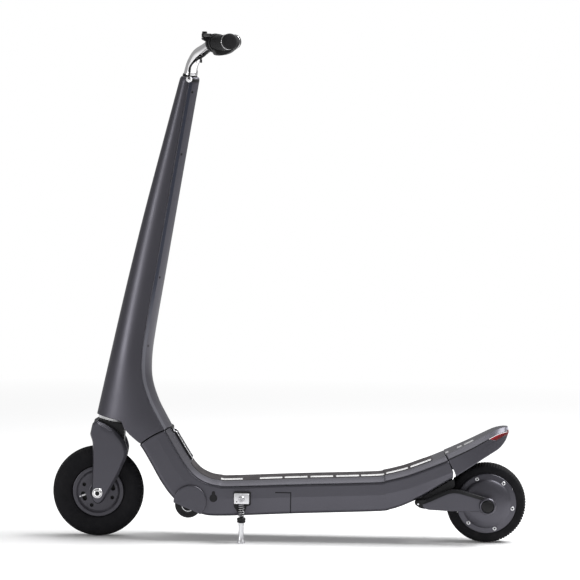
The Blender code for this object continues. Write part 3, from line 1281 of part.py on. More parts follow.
def build_tail():
    """Build the tail over the rear wheel, its hinge bracket, brake pad and lamp."""
    outline = moved(TAIL_START, TYRE_EDGE_X, TYRE_TOP_Z)
    outline += [(TYRE_EDGE_X - 0.07, outline[-1][1]), (TYRE_EDGE_X - 0.07, outline[0][1])]
    front = add_cutter("tail_cutter", prism("tail_cutter", outline, -0.09, 0.09))
    stations = [i / 2 for i in range(15)]
    fender = add_mesh("tail_fender", loft("tail_fender", tail_rows(stations, False), False, False, True),
                      "body", AXIS_TAIL)
    thicken(fender)
    lens = moved(LENS_OUTLINE, TYRE_EDGE_X, TYRE_TOP_Z)
    lens_block = add_cutter("lens_block", prism("lens_block", lens, -0.07, 0.07))
    cut(fender, front, lens_block)
    bracket = add_mesh("tail_bracket", loft("tail_bracket",
                                            tail_rows((0.0, 0.5, 1.0, 1.5), True, TAIL_CORE_INSET), True,
                                            True), "black", AXIS_TAIL)
    end = TAIL_PIVOT_X + BRACKET_LENGTH
    rear = add_cutter("bracket_back", box("bracket_back", end, end + 0.09, -0.09, 0.09, TYRE_TOP_Z - 0.09,
                                          TYRE_TOP_Z + 0.08))
    reach_x, reach_z = REAR_AXLE_X - ARM_PIVOT_X, REAR_TYRE_R - ARM_PIVOT_Z
    raised_x = ARM_PIVOT_X + reach_x * math.cos(ARM_LIFT) - reach_z * math.sin(ARM_LIFT)
    raised_z = ARM_PIVOT_Z + reach_x * math.sin(ARM_LIFT) + reach_z * math.cos(ARM_LIFT)
    sweep = add_cutter("tyre_sweep", rod("tyre_sweep", REAR_TYRE_R + TYRE_CLEARANCE, -0.09, 0.09,
                                         raised_x, raised_z, 48))
    cut(bracket, front, rear, sweep)
    for side in (-1, 1):
        y0, y1 = sorted((side * (TAIL_LUG_Y - TAIL_LUG_THICK), side * TAIL_LUG_Y))
        lug_outline = arc_points(TAIL_PIVOT_X, TAIL_PIVOT_Z, TAIL_LUG_R, 110.0, 265.0, 8)
        behind = TAIL_PIVOT_X + LUG_LENGTH
        lug_outline += [(behind, TAIL_PIVOT_Z - TAIL_LUG_R - 0.001),
                        (behind, TAIL_PIVOT_Z + TAIL_LUG_R - 0.001)]
        lug = add_cutter("tail_lug_left" if side < 0 else "tail_lug_right",
                         prism("tail_lug", lug_outline, y0, y1))
        join(bracket, lug)
        tip0, tip1 = sorted((side * (TAIL_LUG_Y - 0.003), side * (TAIL_LUG_Y + 0.0055)))
        trunnion = add_cutter("tail_trunnion_left" if side < 0 else "tail_trunnion_right",
                              rod("tail_trunnion", TAIL_PIN_R, tip0, tip1, TAIL_PIVOT_X, TAIL_PIVOT_Z, 16))
        join(bracket, trunnion)
    solid_rows = tail_rows(stations[7:], True)
    lamp = add_mesh("tail_lamp", loft("tail_lamp", solid_rows, True, True), "red", AXIS_TAIL)
    middle = [sum(p[k] for p in lens) / len(lens) for k in range(2)]
    inner = [(middle[0] + (x - middle[0]) * 0.985, middle[1] + (z - middle[1]) * 0.97) for x, z in lens]
    shrunk = add_cutter("lens_solid", prism("lens_solid", inner, -0.0697, 0.0697))
    combine(lamp, shrunk, "INTERSECT")
    build_pad()


def build_pad():
    """Build the brake pad and its holder under the tail, over the tyre."""
    x0, x1 = PAD_X - PAD_LENGTH / 2, PAD_X + PAD_LENGTH / 2
    tyre = REAR_TYRE_R + PAD_TYRE_GAP
    low, high = [], []
    for i in range(5):
        x = x0 + (x1 - x0) * i / 4
        z = REAR_TYRE_R + math.sqrt(tyre ** 2 - (x - REAR_AXLE_X) ** 2)
        low.append((x, z))
        high.append((x, z + PAD_THICK))
    pad = add_mesh("brake_pad", prism("brake_pad", low + high[::-1], -PAD_HALF_W, PAD_HALF_W), "rubber",
                   AXIS_TAIL)
    under = [(x, z - 0.001) for x, z in high]
    skin = [(x, top_inside_z(x)) for x, z in reversed(high)]
    join(pad, add_cutter("pad_holder", prism("pad_holder", under + skin, -PAD_HALF_W - 0.006,
                                             PAD_HALF_W + 0.006)))


def top_inside_z(x):
    """Return the height just under the tail's top skin at x."""
    low, high = 0.0, 7.0
    for _ in range(30):
        middle = (low + high) / 2
        if tail_row(middle)[0] < x:
            low = middle
        else:
            high = middle
    row = tail_row((low + high) / 2)
    tilt = math.atan2(row[1] - tail_row((low + high) / 2 - 0.2)[1],
                      row[0] - tail_row((low + high) / 2 - 0.2)[0])
    return row[1] - TAIL_CORE_INSET / math.cos(tilt)


# Fork and front wheel
def build_fork():
    """Build the steering tube, the fork with its guard, and the front axle."""
    outline = [plan(steer_point(s, q)) for s, q in FORK_OUTLINE]
    fork = add_mesh("fork", prism("fork", outline, -FORK_HALF_W, FORK_HALF_W), "body", AXIS_STEER)
    bevel(fork, FORK_BEVEL, 1, 60.0)
    slot = add_cutter("wheel_slot", rod("wheel_slot", FORK_SLOT_R, -FORK_SLOT_HALF_W, FORK_SLOT_HALF_W,
                                        FRONT_AXLE_X, FRONT_TYRE_R, 40))
    below = [plan(steer_point(-0.150, -0.15)), plan(steer_point(-0.150, 0.15)),
             plan(steer_point(-0.250, 0.15)), plan(steer_point(-0.250, -0.15))]
    low_slot = add_cutter("low_slot", prism("low_slot", below, -FORK_SLOT_HALF_W, FORK_SLOT_HALF_W))
    hole = add_cutter("steerer_hole", along("steerer_hole", STEERER_R + GAP,
                                            steer_point(-STEERER_SUNK, 0), steer_point(0.02, 0), 20))
    axle_hole = add_cutter("front_axle_hole", rod("front_axle_hole", FRONT_AXLE_R + GAP, -0.08, 0.08,
                                                  FRONT_AXLE_X, FRONT_TYRE_R, 16))
    cut(fork, slot, low_slot, hole, axle_hole)
    guard_outer, guard_inner = [], []
    for s, q, out_s, out_q in FORK_GUARD:
        guard_inner.append(plan(steer_point(s + out_s * 0.0006, q + out_q * 0.0006)))
        guard_outer.append(plan(steer_point(s + out_s * 0.0050, q + out_q * 0.0050)))
    add_mesh("fork_guard", prism("fork_guard", guard_inner + guard_outer[::-1], -FORK_SLOT_HALF_W + 0.002,
                                 FORK_SLOT_HALF_W - 0.002), "black", AXIS_STEER)
    steerer = [(0.0, 0.0), (STEERER_R, 0.0), (STEERER_R, STEERER_TOP + STEERER_SUNK - GAP),
               (STEERER_R - 0.003, STEERER_TOP + STEERER_SUNK - GAP),
               (STEERER_R - 0.003, 0.004), (0.0, 0.004)]
    turned("steering_tube", steerer, 20, axis_place(-STEERER_SUNK + GAP), "steel", AXIS_STEER)
    r, nut_r, t = FRONT_AXLE_R, FRONT_NUT_R, FRONT_NUT_THICK
    wall, end = FORK_HALF_W + GAP, FORK_HALF_W + GAP + FRONT_NUT_THICK
    half = [(0.0, -end), (nut_r - 0.003, -end), (nut_r - 0.0025, -end + 0.001),
            (nut_r - 0.0025, -wall - 0.0018), (nut_r, -wall - 0.0016), (nut_r, -wall), (r, -wall)]
    turned("front_axle", half + [(a, -b) for a, b in reversed(half)], 12,
           cross_axle(FRONT_AXLE_X, FRONT_TYRE_R), "steel", AXIS_STEER)


def build_front_wheel():
    """Build the front wheel: cast rim with slots, bearings, valve and pneumatic tyre."""
    place = cross_axle(FRONT_AXLE_X, FRONT_TYRE_R)
    w, web, sleeve = RIM_HALF_W, RIM_WEB_Y, FRONT_SLEEVE_HALF_W
    bore = FRONT_AXLE_R + GAP
    half = [(bore, sleeve), (HUB_SLEEVE_R - 0.004, sleeve), (HUB_SLEEVE_R, web),
            (RIM_STEP_R - 0.002, web), (RIM_STEP_R, w),
            (RIM_R - 0.001, w), (RIM_R, w - 0.001), (RIM_BED_R, w - 0.003)]
    profile = half + [(r, -y) for r, y in reversed(half)]
    rim = turned("front_rim", profile, 32, place, "black", AXIS_FRONT, ring=True)
    for i, degrees in enumerate(BOLT_ANGLES):
        angle = math.radians(degrees)
        x = FRONT_AXLE_X + BOLT_CIRCLE_R * math.cos(angle)
        z = FRONT_TYRE_R + BOLT_CIRCLE_R * math.sin(angle)
        for side in (-1, 1):
            y0, y1 = sorted((side * (web - 0.006), side * (web + 0.01)))
            tag = str(i) + ("l" if side < 0 else "r")
            cut(rim, add_cutter("bolt_hole_" + tag, rod("bolt_hole", BOLT_HOLE_R, y0, y1, x, z, 6)))
    for i, degrees in enumerate(SLOT_ANGLES):
        angle = math.radians(degrees)
        slot = box("rim_slot", -SLOT_SIZE[0] / 2, SLOT_SIZE[0] / 2, -0.03, 0.03, -SLOT_SIZE[1] / 2,
                   SLOT_SIZE[1] / 2)
        cutter = add_cutter("rim_slot_" + str(i), slot)
        cutter.location = (FRONT_AXLE_X + SLOT_CENTRE_R * math.cos(angle), 0.0,
                           FRONT_TYRE_R + SLOT_CENTRE_R * math.sin(angle))
        cutter.rotation_euler = (0.0, -(angle - math.pi / 2), 0.0)
        bevel(cutter, 0.0035, 2)
        cut(rim, cutter)
    r, half_w = FRONT_TYRE_R, FRONT_TYRE_HALF_W
    bead = RIM_R + GAP
    side_run = [(RIM_BED_R + GAP, w - 0.0034), (bead - 0.0012, w - 0.0030), (bead + 0.002, w + 0.0005),
                (r - 0.032, half_w - 0.002),
                (r - 0.020, half_w), (r - 0.007, half_w - 0.0055), (r, half_w - 0.0175)]
    profile = side_run + [(r1, -y1) for r1, y1 in reversed(side_run)]
    turned("front_tyre", profile, 32, place, "rubber", AXIS_FRONT, ring=True)


# Handlebar and controls
def bar_point(side, inboard, rear, up):
    """Return a point by its distance in from the bar's end, and rearward and upward of its middle line."""
    end, inward, back, over = bar_frame(side)
    return end + inward * inboard + back * rear + over * up


def bar_frame(side):
    """Return the bar end and its inward, rearward and upward directions on one side."""
    end_z = round(steer_point(STEERER_TOP, 0).z, 4) + BAR_END_RISE
    end = Vector((FRONT_AXLE_X + BAR_END_BACK, side * BAR_END_Y, end_z))
    start = end - Vector((BAR_STRAIGHT * math.tan(BAR_SWEEP), side * BAR_STRAIGHT, BAR_RISE))
    inward = (start - end).normalized()
    back = (inward.cross(Vector((0.0, 0.0, 1.0))) * -side).normalized()
    over = (back.cross(inward) * -side).normalized()
    return end, inward, back, over


def bar_place(side, inboard):
    """Return the placement of a turned part whose axis runs inward along the bar."""
    end, inward, _, _ = bar_frame(side)
    return Matrix.Translation(end + inward * inboard) @ inward.to_track_quat("Z", "Y").to_matrix().to_4x4()


def bar_route(side):
    """Return the middle line of one arm of the handlebar, from the stem out to its end."""
    points = [steer_point(s, q, side * y) for s, q, y in BAR_ARM]
    points.append(bar_point(side, BAR_STRAIGHT, 0.0, 0.0))
    curve = smooth_route(points, 2)
    curve.append(bar_point(side, GRIP_CAP + GAP, 0.0, 0.0))
    return curve


def build_handlebar():
    """Build the chrome handlebar, its collar, grips, control housings and levers."""
    bar = add_mesh("handlebar", tube("handlebar", bar_route(-1), BAR_R, 3), "chrome", AXIS_STEER)
    right = add_cutter("bar_right", tube("bar_right", bar_route(1), BAR_R, 3))
    plug = add_cutter("bar_plug", along("bar_plug", BAR_STEM_R, steer_point(STEERER_TOP + GAP, 0),
                                        steer_point(STEERER_TOP + 0.020, 0), 28, BAR_STEM_R * 0.9))
    join(bar, plug, right)
    collar = [(STEERER_R + GAP, 0.0), (COLLAR_R, 0.0), (COLLAR_R, 0.008), (COLLAR_R - 0.001, 0.009),
              (STEERER_R + GAP, 0.009)]
    collar_at = MAST_TOP + MAST_RIM + 0.0018
    turned("stem_collar", collar, 18, axis_place(collar_at), "black", AXIS_STEER, ring=True)
    for side, tag in ((-1, "left"), (1, "right")):
        build_grip(side, tag)
        build_paddle(side, tag)
        build_housing(side, tag)
    build_brake_lever()
    points = smooth_route([Vector((FRONT_AXLE_X + x, y, z)) for x, y, z in CABLE_ROUTE], 2)
    add_mesh("control_cable", tube("control_cable", points, CABLE_R, 1), "black", AXIS_STEER)


def build_grip(side, tag):
    """Build one rubber grip and its chrome end ring."""
    bore = BAR_R + GAP
    ring0 = GRIP_RING_AT
    ring1 = ring0 + GRIP_RING_WIDTH
    profile = [(0.0, 0.0), (GRIP_END_R - 0.002, 0.0), (GRIP_END_R, 0.002), (GRIP_END_R, ring0 - GAP),
               (GRIP_R - 0.001, ring0 - GAP), (GRIP_R - 0.001, ring1 + GAP),
               (GRIP_R, ring1 + GAP), (GRIP_R, GRIP_LENGTH), (bore, GRIP_LENGTH), (bore, GRIP_CAP),
               (0.0, GRIP_CAP)]
    turned("grip_" + tag, profile, 16, bar_place(side, 0.0), "rubber", AXIS_STEER)
    ring = [(GRIP_R - 0.001 + GAP, ring0), (GRIP_RING_R, ring0), (GRIP_RING_R, ring1),
            (GRIP_R - 0.001 + GAP, ring1)]
    turned("grip_ring_" + tag, ring, 16, bar_place(side, 0.0), "chrome", AXIS_STEER, ring=True)


def build_paddle(side, tag):
    """Build one thumb paddle that turns round the bar beside the grip."""
    a0 = PADDLE_AT
    a1 = a0 + PADDLE_WIDTH - GAP
    axis = add_empty("axis_paddle_" + tag, bar_point(side, a0, 0.0, 0.0))
    ring = [(BAR_R + GAP, a0), (PADDLE_HUB_R, a0), (PADDLE_HUB_R, a1), (BAR_R + GAP, a1)]
    paddle = turned("thumb_paddle_" + tag, ring, 16, bar_place(side, 0.0), "black", axis, ring=True)
    rows = [[bar_point(side, a, rear, up) for rear, up in PADDLE_OUTLINE] for a in (a0 - 0.016, a1 - 0.001)]
    fan = add_cutter("paddle_fan_" + tag, loft("paddle_fan", rows, True, True))
    clear = add_cutter("paddle_clear_" + tag, along("paddle_clear", GRIP_R + 0.0025,
                                                    bar_point(side, a0 - 0.03, 0, 0),
                                                    bar_point(side, a0 - 0.0004, 0, 0), 16))
    hole = add_cutter("paddle_hole_" + tag, along("paddle_hole", BAR_R + 3 * GAP,
                                                  bar_point(side, a0 - 0.03, 0, 0),
                                                  bar_point(side, a1 + 0.03, 0, 0), 16))
    cut(fan, clear, hole)
    join(paddle, fan)


def build_housing(side, tag):
    """Build one control housing clamped on the bar, with its wide inner flange."""
    a0, a1 = HOUSING_AT, HOUSING_AT + HOUSING_LENGTH
    r, f = HOUSING_R, FLANGE_R
    ring = [(BAR_R + GAP, a0), (r - 0.0015, a0), (r, a0 + 0.0015), (r, a1 - FLANGE_THICK),
            (f, a1 - FLANGE_THICK), (f, a1), (BAR_R + GAP, a1)]
    housing = turned("control_housing_" + tag, ring, 16, bar_place(side, 0.0), "black", AXIS_STEER, ring=True)
    if side < 0:
        along_bar, rear, up = LEVER_PIVOT
        low = up - LEVER_HALF_H - GAP
        outline = [(rear - 0.0055, low), (rear - 0.0055, low - 0.0045), (rear + 0.006, low - 0.010),
                   (-0.004, 0.002), (0.004, 0.013), (-0.004, 0.0175), (rear + 0.0085, low)]
        rows = [[bar_point(side, a, b, c) for b, c in outline]
                for a in (along_bar - 0.0065, along_bar + 0.0065)]
        perch = add_cutter("lever_perch", loft("lever_perch", rows, True, True))
        hole = add_cutter("housing_bar_hole", along("housing_bar_hole", BAR_R + 3 * GAP,
                                                    bar_point(side, 0.05, 0, 0),
                                                    bar_point(side, 0.16, 0, 0), 16))
        screw_hole = add_cutter("lever_screw_hole", along("lever_screw_hole", LEVER_PIN_R + GAP,
                                                          bar_point(side, along_bar, rear, up - 0.02),
                                                          bar_point(side, along_bar, rear, up + 0.02), 12))
        cut(perch, hole, screw_hole)
        join(housing, perch)


def build_brake_lever():
    """Build the brake lever over the left grip with its pivot screw."""
    along_bar, rear, up = LEVER_PIVOT
    axis = add_empty("axis_brake_lever", bar_point(-1, along_bar, rear, up))
    h = LEVER_HALF_H
    path = smooth_rows(LEVER_PATH, 2)
    rows = []
    last = len(path) - 1
    for i, (a, b, c) in enumerate(path):
        thick = 0.0030 + 0.0022 * math.sin(math.pi * min(1.0, i / last * 1.15) ** 1.4 / 1.0) * 0.6
        tall = h - 0.0008 * i / last
        if i == last:
            thick, tall = thick * 0.6, tall * 0.7
        section = []
        for k in range(8):
            angle = math.pi * (k + 0.5) / 4
            section.append((b + thick * 1.05 * math.cos(angle), c + tall * 1.05 * math.sin(angle)))
        rows.append([bar_point(-1, a, rear_off, up_off) for rear_off, up_off in section])
    lever = add_mesh("brake_lever", loft("brake_lever", rows, True, True), "black", axis)
    boss = add_cutter("lever_boss", along("lever_boss", LEVER_BOSS_R,
                                          bar_point(-1, along_bar, rear, up - h),
                                          bar_point(-1, along_bar, rear, up + h), 14))
    join(lever, boss)
    cut(lever, bpy.data.objects["lever_screw_hole"])
    screw = add_mesh("lever_screw", along("lever_screw", LEVER_PIN_R,
                                          bar_point(-1, along_bar, rear, up - h - 0.0045),
                                          bar_point(-1, along_bar, rear, up + h + GAP + 0.0005), 12),
                                          "steel", AXIS_STEER)
    knob = add_cutter("lever_knob", along("lever_knob", LEVER_KNOB_R,
                                          bar_point(-1, along_bar, rear, up + h + GAP),
                                          bar_point(-1, along_bar, rear, up + h + 0.0045), 12,
                                          LEVER_KNOB_R * 0.8))
    join(screw, knob)


build_mast()
build_deck()
build_stand()
build_rear()
build_tail()
build_fork()
build_front_wheel()
build_handlebar()
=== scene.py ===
"""Looks of a folding electric scooter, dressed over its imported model.

Metres, +Z up. The scooter faces -X, its left side is -Y, and the floor is Z = 0.
"""
from __future__ import annotations

import logging
import math
from dataclasses import dataclass
from enum import Enum
from typing import Callable, Sequence

import bmesh
import bpy
import numpy as np
from mathutils import Matrix, Vector


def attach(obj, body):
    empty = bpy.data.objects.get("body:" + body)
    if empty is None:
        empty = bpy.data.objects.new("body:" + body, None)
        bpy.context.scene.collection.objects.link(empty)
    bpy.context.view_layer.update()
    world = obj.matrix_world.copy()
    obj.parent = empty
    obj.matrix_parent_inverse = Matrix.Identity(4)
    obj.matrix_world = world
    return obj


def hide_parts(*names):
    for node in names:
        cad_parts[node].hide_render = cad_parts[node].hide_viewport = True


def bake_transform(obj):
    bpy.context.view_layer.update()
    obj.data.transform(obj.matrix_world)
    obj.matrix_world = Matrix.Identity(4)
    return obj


LOG = logging.getLogger("scooter")
BAR_ROW_WIDTH = 0.0065
Pairs = Sequence[tuple[float, float]]
Array = np.ndarray
Piece = bpy.types.Object
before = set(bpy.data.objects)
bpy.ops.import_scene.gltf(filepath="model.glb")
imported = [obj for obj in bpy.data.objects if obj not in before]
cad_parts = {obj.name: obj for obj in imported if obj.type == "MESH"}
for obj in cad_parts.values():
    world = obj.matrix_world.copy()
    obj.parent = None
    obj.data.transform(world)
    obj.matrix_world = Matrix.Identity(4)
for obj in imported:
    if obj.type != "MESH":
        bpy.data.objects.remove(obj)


# Curves and frames


def smooth(knots: Array, values: Array, at: Array) -> Array:
    """Read a smooth curve through knots.

    Between two knots it is the cubic whose end slopes are those of the chords of the knots' neighbours.

    Args:
        knots: Positions of the knots, rising.
        values: One value or one row of values at each knot.
        at: Positions to read.

    Returns:
        The values there, one row for each position.
    """
    x = np.asarray(knots, float)
    y = np.asarray(values, float)
    at = np.asarray(at, float)
    x = np.concatenate([[2 * x[0] - x[1]], x, [2 * x[-1] - x[-2]]])
    y = np.concatenate([[2 * y[0] - y[1]], y, [2 * y[-1] - y[-2]]])
    i = np.searchsorted(x[2:-2], at, side="left") + 1
    span = x[i + 1] - x[i]
    shape = (-1,) + (1,) * (y.ndim - 1)
    start = (y[i + 1] - y[i - 1]) * (span / (x[i + 1] - x[i - 1])).reshape(shape)
    end = (y[i + 2] - y[i]) * (span / (x[i + 2] - x[i])).reshape(shape)
    t = ((at - x[i]) / span).reshape(shape)
    a = 2 * t**3 - 3 * t**2 + 1
    b = t**3 - 2 * t**2 + t
    c = 3 * t**2 - 2 * t**3
    d = t**3 - t**2
    return a * y[i] + b * start + c * y[i + 1] + d * end


def smooth_pairs(pairs: Pairs, at: Array) -> Array:
    """Read a smooth curve through (position, value) pairs."""
    table = np.array(pairs)
    return smooth(table[:, 0], table[:, 1], at.ravel()).reshape(at.shape)


def smooth_rows(stations: Sequence[Sequence[float]], at: Array) -> Array:
    """Read a smooth row of numbers between numbered stations, at positions counted in stations."""
    table = np.array(stations)
    return smooth(np.arange(len(table)), table, at.ravel()).reshape(at.shape + table.shape[1:])


def smooth_path(points: Sequence[Sequence[float]], per_span: int, closed: bool = False) -> Array:
    """Return a smooth path through points.

    Args:
        points: The points, in any number of dimensions.
        per_span: How many steps each span gets.
        closed: Whether the path returns to its first point.

    Returns:
        The path's points, the first one not repeated where it is closed.
    """
    rows = np.array(points, float)
    count = len(rows)
    if closed:
        ring = np.concatenate([rows[-2:], rows, rows[:3]])
        at = np.arange(count * per_span) / per_span + 2
        return smooth(np.arange(len(ring)), ring, at)
    at = np.arange((count - 1) * per_span + 1) / per_span
    return smooth(np.arange(count), rows, at)


def mm(*rows: float | Sequence) -> tuple:
    """Return sizes written in millimetres, or rows of them, as the same rows in metres."""
    return tuple(mm(*row) if isinstance(row, tuple) else round(row / 1000, 7) for row in rows)


def mirrored(half: Array) -> Array:
    """Return rising positions that start at zero with their mirror images before them."""
    return np.concatenate([-half[:0:-1], half])


def even(run: Array, count: int) -> Array:
    """Read a closed run again at even steps of its length.

    Args:
        run: Points (x, z) of the run, its first point not repeated.
        count: How many points to return.

    Returns:
        The points.
    """
    ring = np.concatenate([run, run[:1]])
    length = np.concatenate([[0], np.cumsum(np.linalg.norm(np.diff(ring, axis=0), axis=1))])
    at = np.linspace(0, length[-1], count, endpoint=False)
    return np.stack([np.interp(at, length, ring[:, k]) for k in range(2)], 1)


def side_rings(rings: Sequence[tuple[Array, float]]) -> Array:
    """Return side view runs (x, z), each at its own y, as a grid of points."""
    return np.stack([np.stack([run[:, 0], np.full(len(run), y), run[:, 1]], 1) for run, y in rings])


def arc(cx: float, cz: float, radius: float, start: float, end: float, count: int) -> Array:
    """Return points (x, z) on an arc: the centre plus the radius times cosine and sine, angles in degrees."""
    angle = np.radians(np.linspace(start, end, count))
    return np.stack([cx + radius * np.cos(angle), cz + radius * np.sin(angle)], 1)


def inside(points: Array, outline: Array) -> Array:
    """Tell which points lie inside a side view outline, by the parity of the edges to their right."""
    x, z = points[..., 0], points[..., 2]
    hit = np.zeros(x.shape, bool)
    for (x0, z0), (x1, z1) in zip(outline, np.roll(outline, -1, 0)):
        crosses = (z0 > z) != (z1 > z)
        with np.errstate(divide="ignore", invalid="ignore"):
            at = x0 + (z - z0) * (x1 - x0) / (z1 - z0)
        hit ^= crosses & (x < at)
    return hit


def edge_of(surface: Callable, across: Array, cut_end: float, kept_end: float,
            removed: Callable[[Array], Array]) -> Array:
    """Find where each lengthways line of a surface leaves a cut region, by halving.

    Args:
        surface: Point of the surface by (along, across), as arrays.
        across: The lines to follow.
        cut_end: Position along where every line is in the region.
        kept_end: Position along where no line is.
        removed: Tells which points are in the region.

    Returns:
        The position along at which each line leaves the region.
    """
    low = np.full(across.shape, cut_end)
    high = np.full(across.shape, kept_end)
    for _ in range(34):
        middle = (low + high) / 2
        gone = removed(surface(middle, across))
        low = np.where(gone, middle, low)
        high = np.where(gone, high, middle)
    return high


def placed(points: Array, place: Matrix) -> Array:
    """Return points turned and moved by a placement matrix."""
    turn = np.array(place)
    return points @ turn[:3, :3].T + turn[:3, 3]


def axle_place(x: float, z: float, y: float = 0.0, side: float = 1.0) -> Matrix:
    """Return the placement that lays a turned piece's axis along +Y, or along -Y for side -1."""
    return Matrix.Translation((x, y, z)) @ Matrix.Rotation(math.radians(-90.0 * side), 4, "X")


def along_place(start: Vector, direction: Vector) -> Matrix:
    """Return the placement that starts a turned piece at a point and lays its axis along a direction."""
    return Matrix.Translation(start) @ direction.normalized().to_track_quat("Z", "Y").to_matrix().to_4x4()


# Meshes


def mesh_object(name: str, points: Array, faces: Sequence[Sequence[int]]) -> Piece:
    """Make a mesh object from points and faces and link it to the scene."""
    mesh = bpy.data.meshes.new(name)
    mesh.from_pydata(np.asarray(points, float).tolist(), [], [list(map(int, f)) for f in faces])
    piece = bpy.data.objects.new(name, mesh)
    bpy.context.scene.collection.objects.link(piece)
    return piece


def weld(piece: Piece, distance: float = 1e-6) -> None:
    """Merge a closed piece's doubled points and point its faces outwards."""
    bm = bmesh.new()
    bm.from_mesh(piece.data)
    bmesh.ops.remove_doubles(bm, verts=bm.verts, dist=distance)
    bmesh.ops.recalc_face_normals(bm, faces=bm.faces)
    bm.to_mesh(piece.data)
    bm.free()


def shade(piece: Piece, angle: float = 34.0) -> None:
    """Shade a piece smooth, with sharp edges where its faces meet at more than an angle in degrees."""
    piece.data.shade_smooth()
    piece.data.set_sharp_from_angle(angle=math.radians(angle))


def grid_faces(index: Array) -> Array:
    """Return the four corner numbers of each face of a grid of point numbers."""
    return np.stack([index[:-1, :-1], index[:-1, 1:], index[1:, 1:], index[1:, :-1]], -1).reshape(-1, 4)


def skin(name: str, points: Array, wall: float, angle: float = 34.0) -> Piece:
    """Make an open skin from a grid of points and give it a wall, inwards.

    Args:
        name: The piece's name.
        points: Points by (row, column, axis).
        wall: The wall's thickness.
        angle: Faces that meet at more than this angle stay sharp.

    Returns:
        The piece. Its faces point away from the middle of their rows.
    """
    rows, cols = points.shape[:2]
    index = np.arange(rows * cols).reshape(rows, cols)
    faces = grid_faces(index)
    corner = points.reshape(-1, 3)
    normal = np.cross(corner[faces[:, 1]] - corner[faces[:, 0]], corner[faces[:, 3]] - corner[faces[:, 0]])
    middle = np.repeat(points.mean(1)[:-1], cols - 1, 0)
    if ((corner[faces].mean(1) - middle) * normal).sum() < 0:
        faces = faces[:, ::-1]
    piece = mesh_object(name, corner, faces)
    if wall:
        modifier = piece.modifiers.new("wall", "SOLIDIFY")
        modifier.thickness = wall
        modifier.offset = -1.0
    shade(piece, angle)
    return piece


def mark_columns(piece: Piece, columns: Array) -> None:
    """Give the faces of some columns of a skin its second material."""
    rows = len(piece.data.polygons) // len(columns)
    piece.data.polygons.foreach_set("material_index", np.tile(columns.astype(np.int32), rows))


def closed_grid(name: str, points: Array, wrap_rows: bool, angle: float = 34.0) -> Piece:
    """Make a closed piece from rings of points.

    Args:
        name: The piece's name.
        points: Points by (ring, point of the ring, axis).
        wrap_rows: Whether the last ring joins the first. Otherwise the end rings are filled.
        angle: Faces that meet at more than this angle stay sharp.

    Returns:
        The piece, welded, with its faces outwards.
    """
    rows, cols = points.shape[:2]
    index = np.arange(rows * cols).reshape(rows, cols)
    index = np.concatenate([index, index[:, :1]], 1)
    if wrap_rows:
        index = np.concatenate([index, index[:1]])
    faces = grid_faces(index).tolist()
    if not wrap_rows:
        faces.append(index[0, :-1][::-1].tolist())
        faces.append(index[-1, :-1].tolist())
    piece = mesh_object(name, points.reshape(-1, 3), faces)
    weld(piece)
    shade(piece, angle)
    return piece


def turned(name: str, profile: Pairs, steps: int, place: Matrix, ring: bool = False, angle: float = 34.0,
           ripple: Callable[[Array, Array], Array] | None = None) -> Piece:
    """Turn a profile round its own Z axis.

    A point at (radius, height) of the profile and angle a lies at (radius cos a, radius sin a, height).

    Args:
        name: The piece's name.
        profile: Points (radius, height) from one end to the other.
        steps: How many steps the turn has.
        place: Where the piece's axis goes.
        ring: Whether the profile closes on itself. Otherwise its ends lie on the axis or are filled.
        angle: Faces that meet at more than this angle stay sharp.
        ripple: What to add to the radius by (profile position, angle), as arrays.

    Returns:
        The piece.
    """
    shape = np.array(profile, float)
    turn = np.linspace(0, 2 * math.pi, steps, endpoint=False)
    radius = np.repeat(shape[:, :1], steps, 1)
    if ripple is not None:
        position = np.repeat(np.arange(len(shape))[:, None], steps, 1)
        radius = radius + ripple(position, np.repeat(turn[None], len(shape), 0))
    height = np.repeat(shape[:, 1:], steps, 1)
    points = np.stack([radius * np.cos(turn), radius * np.sin(turn), height], -1)
    return closed_grid(name, placed(points, place), ring, angle)


def rounded(points: Pairs, radii: Sequence[float], steps: int = 4) -> Array:
    """Round the inner corners of a run of points with arcs that touch both legs.

    Args:
        points: The run, in two dimensions.
        radii: How far back along its legs each point's round starts, zero for a sharp corner.
        steps: How many steps each round has.

    Returns:
        The rounded run: at each corner the quadratic curve from one leg to the other.
    """
    run = np.array(points, float)
    result = [run[:1]]
    for before, here, after, cut in zip(run, run[1:], run[2:], radii[1:]):
        if cut <= 0:
            result.append(here[None])
            continue
        first = here + (before - here) * min(0.5, cut / np.linalg.norm(before - here))
        last = here + (after - here) * min(0.5, cut / np.linalg.norm(after - here))
        t = np.linspace(0, 1, steps + 1)[:, None]
        result.append((1 - t) ** 2 * first + 2 * t * (1 - t) * here + t**2 * last)
    result.append(run[-1:])
    return np.concatenate(result)


def rounded_mm(corners: Sequence[Sequence[float]], steps: int = 4) -> Array:
    """Round the inner corners of a run written in millimetres.

    Args:
        corners: The corners, each with how far back its round starts as a third number where it has one.
        steps: How many steps each round has.

    Returns:
        The rounded run in metres.
    """
    cuts = mm(*(corner[2] if len(corner) > 2 else 0 for corner in corners))
    return rounded(mm(*(corner[:2] for corner in corners)), cuts, steps)


def rounded_loop(corners: Pairs, cuts: float | Sequence[float], steps: int) -> Array:
    """Round every corner of a closed outline.

    The run passes its first two corners once more, and its two spare ends are dropped.

    Args:
        corners: The outline's corners.
        cuts: How far back the rounds start, from the second corner on to the first, or one number for all.
        steps: How many steps each round has.

    Returns:
        The rounded outline, its first point not repeated.
    """
    each = [cuts] * len(corners) if isinstance(cuts, float) else cuts
    return rounded([*corners, corners[0], corners[1]], (0, *each, 0), steps)[1:-1]


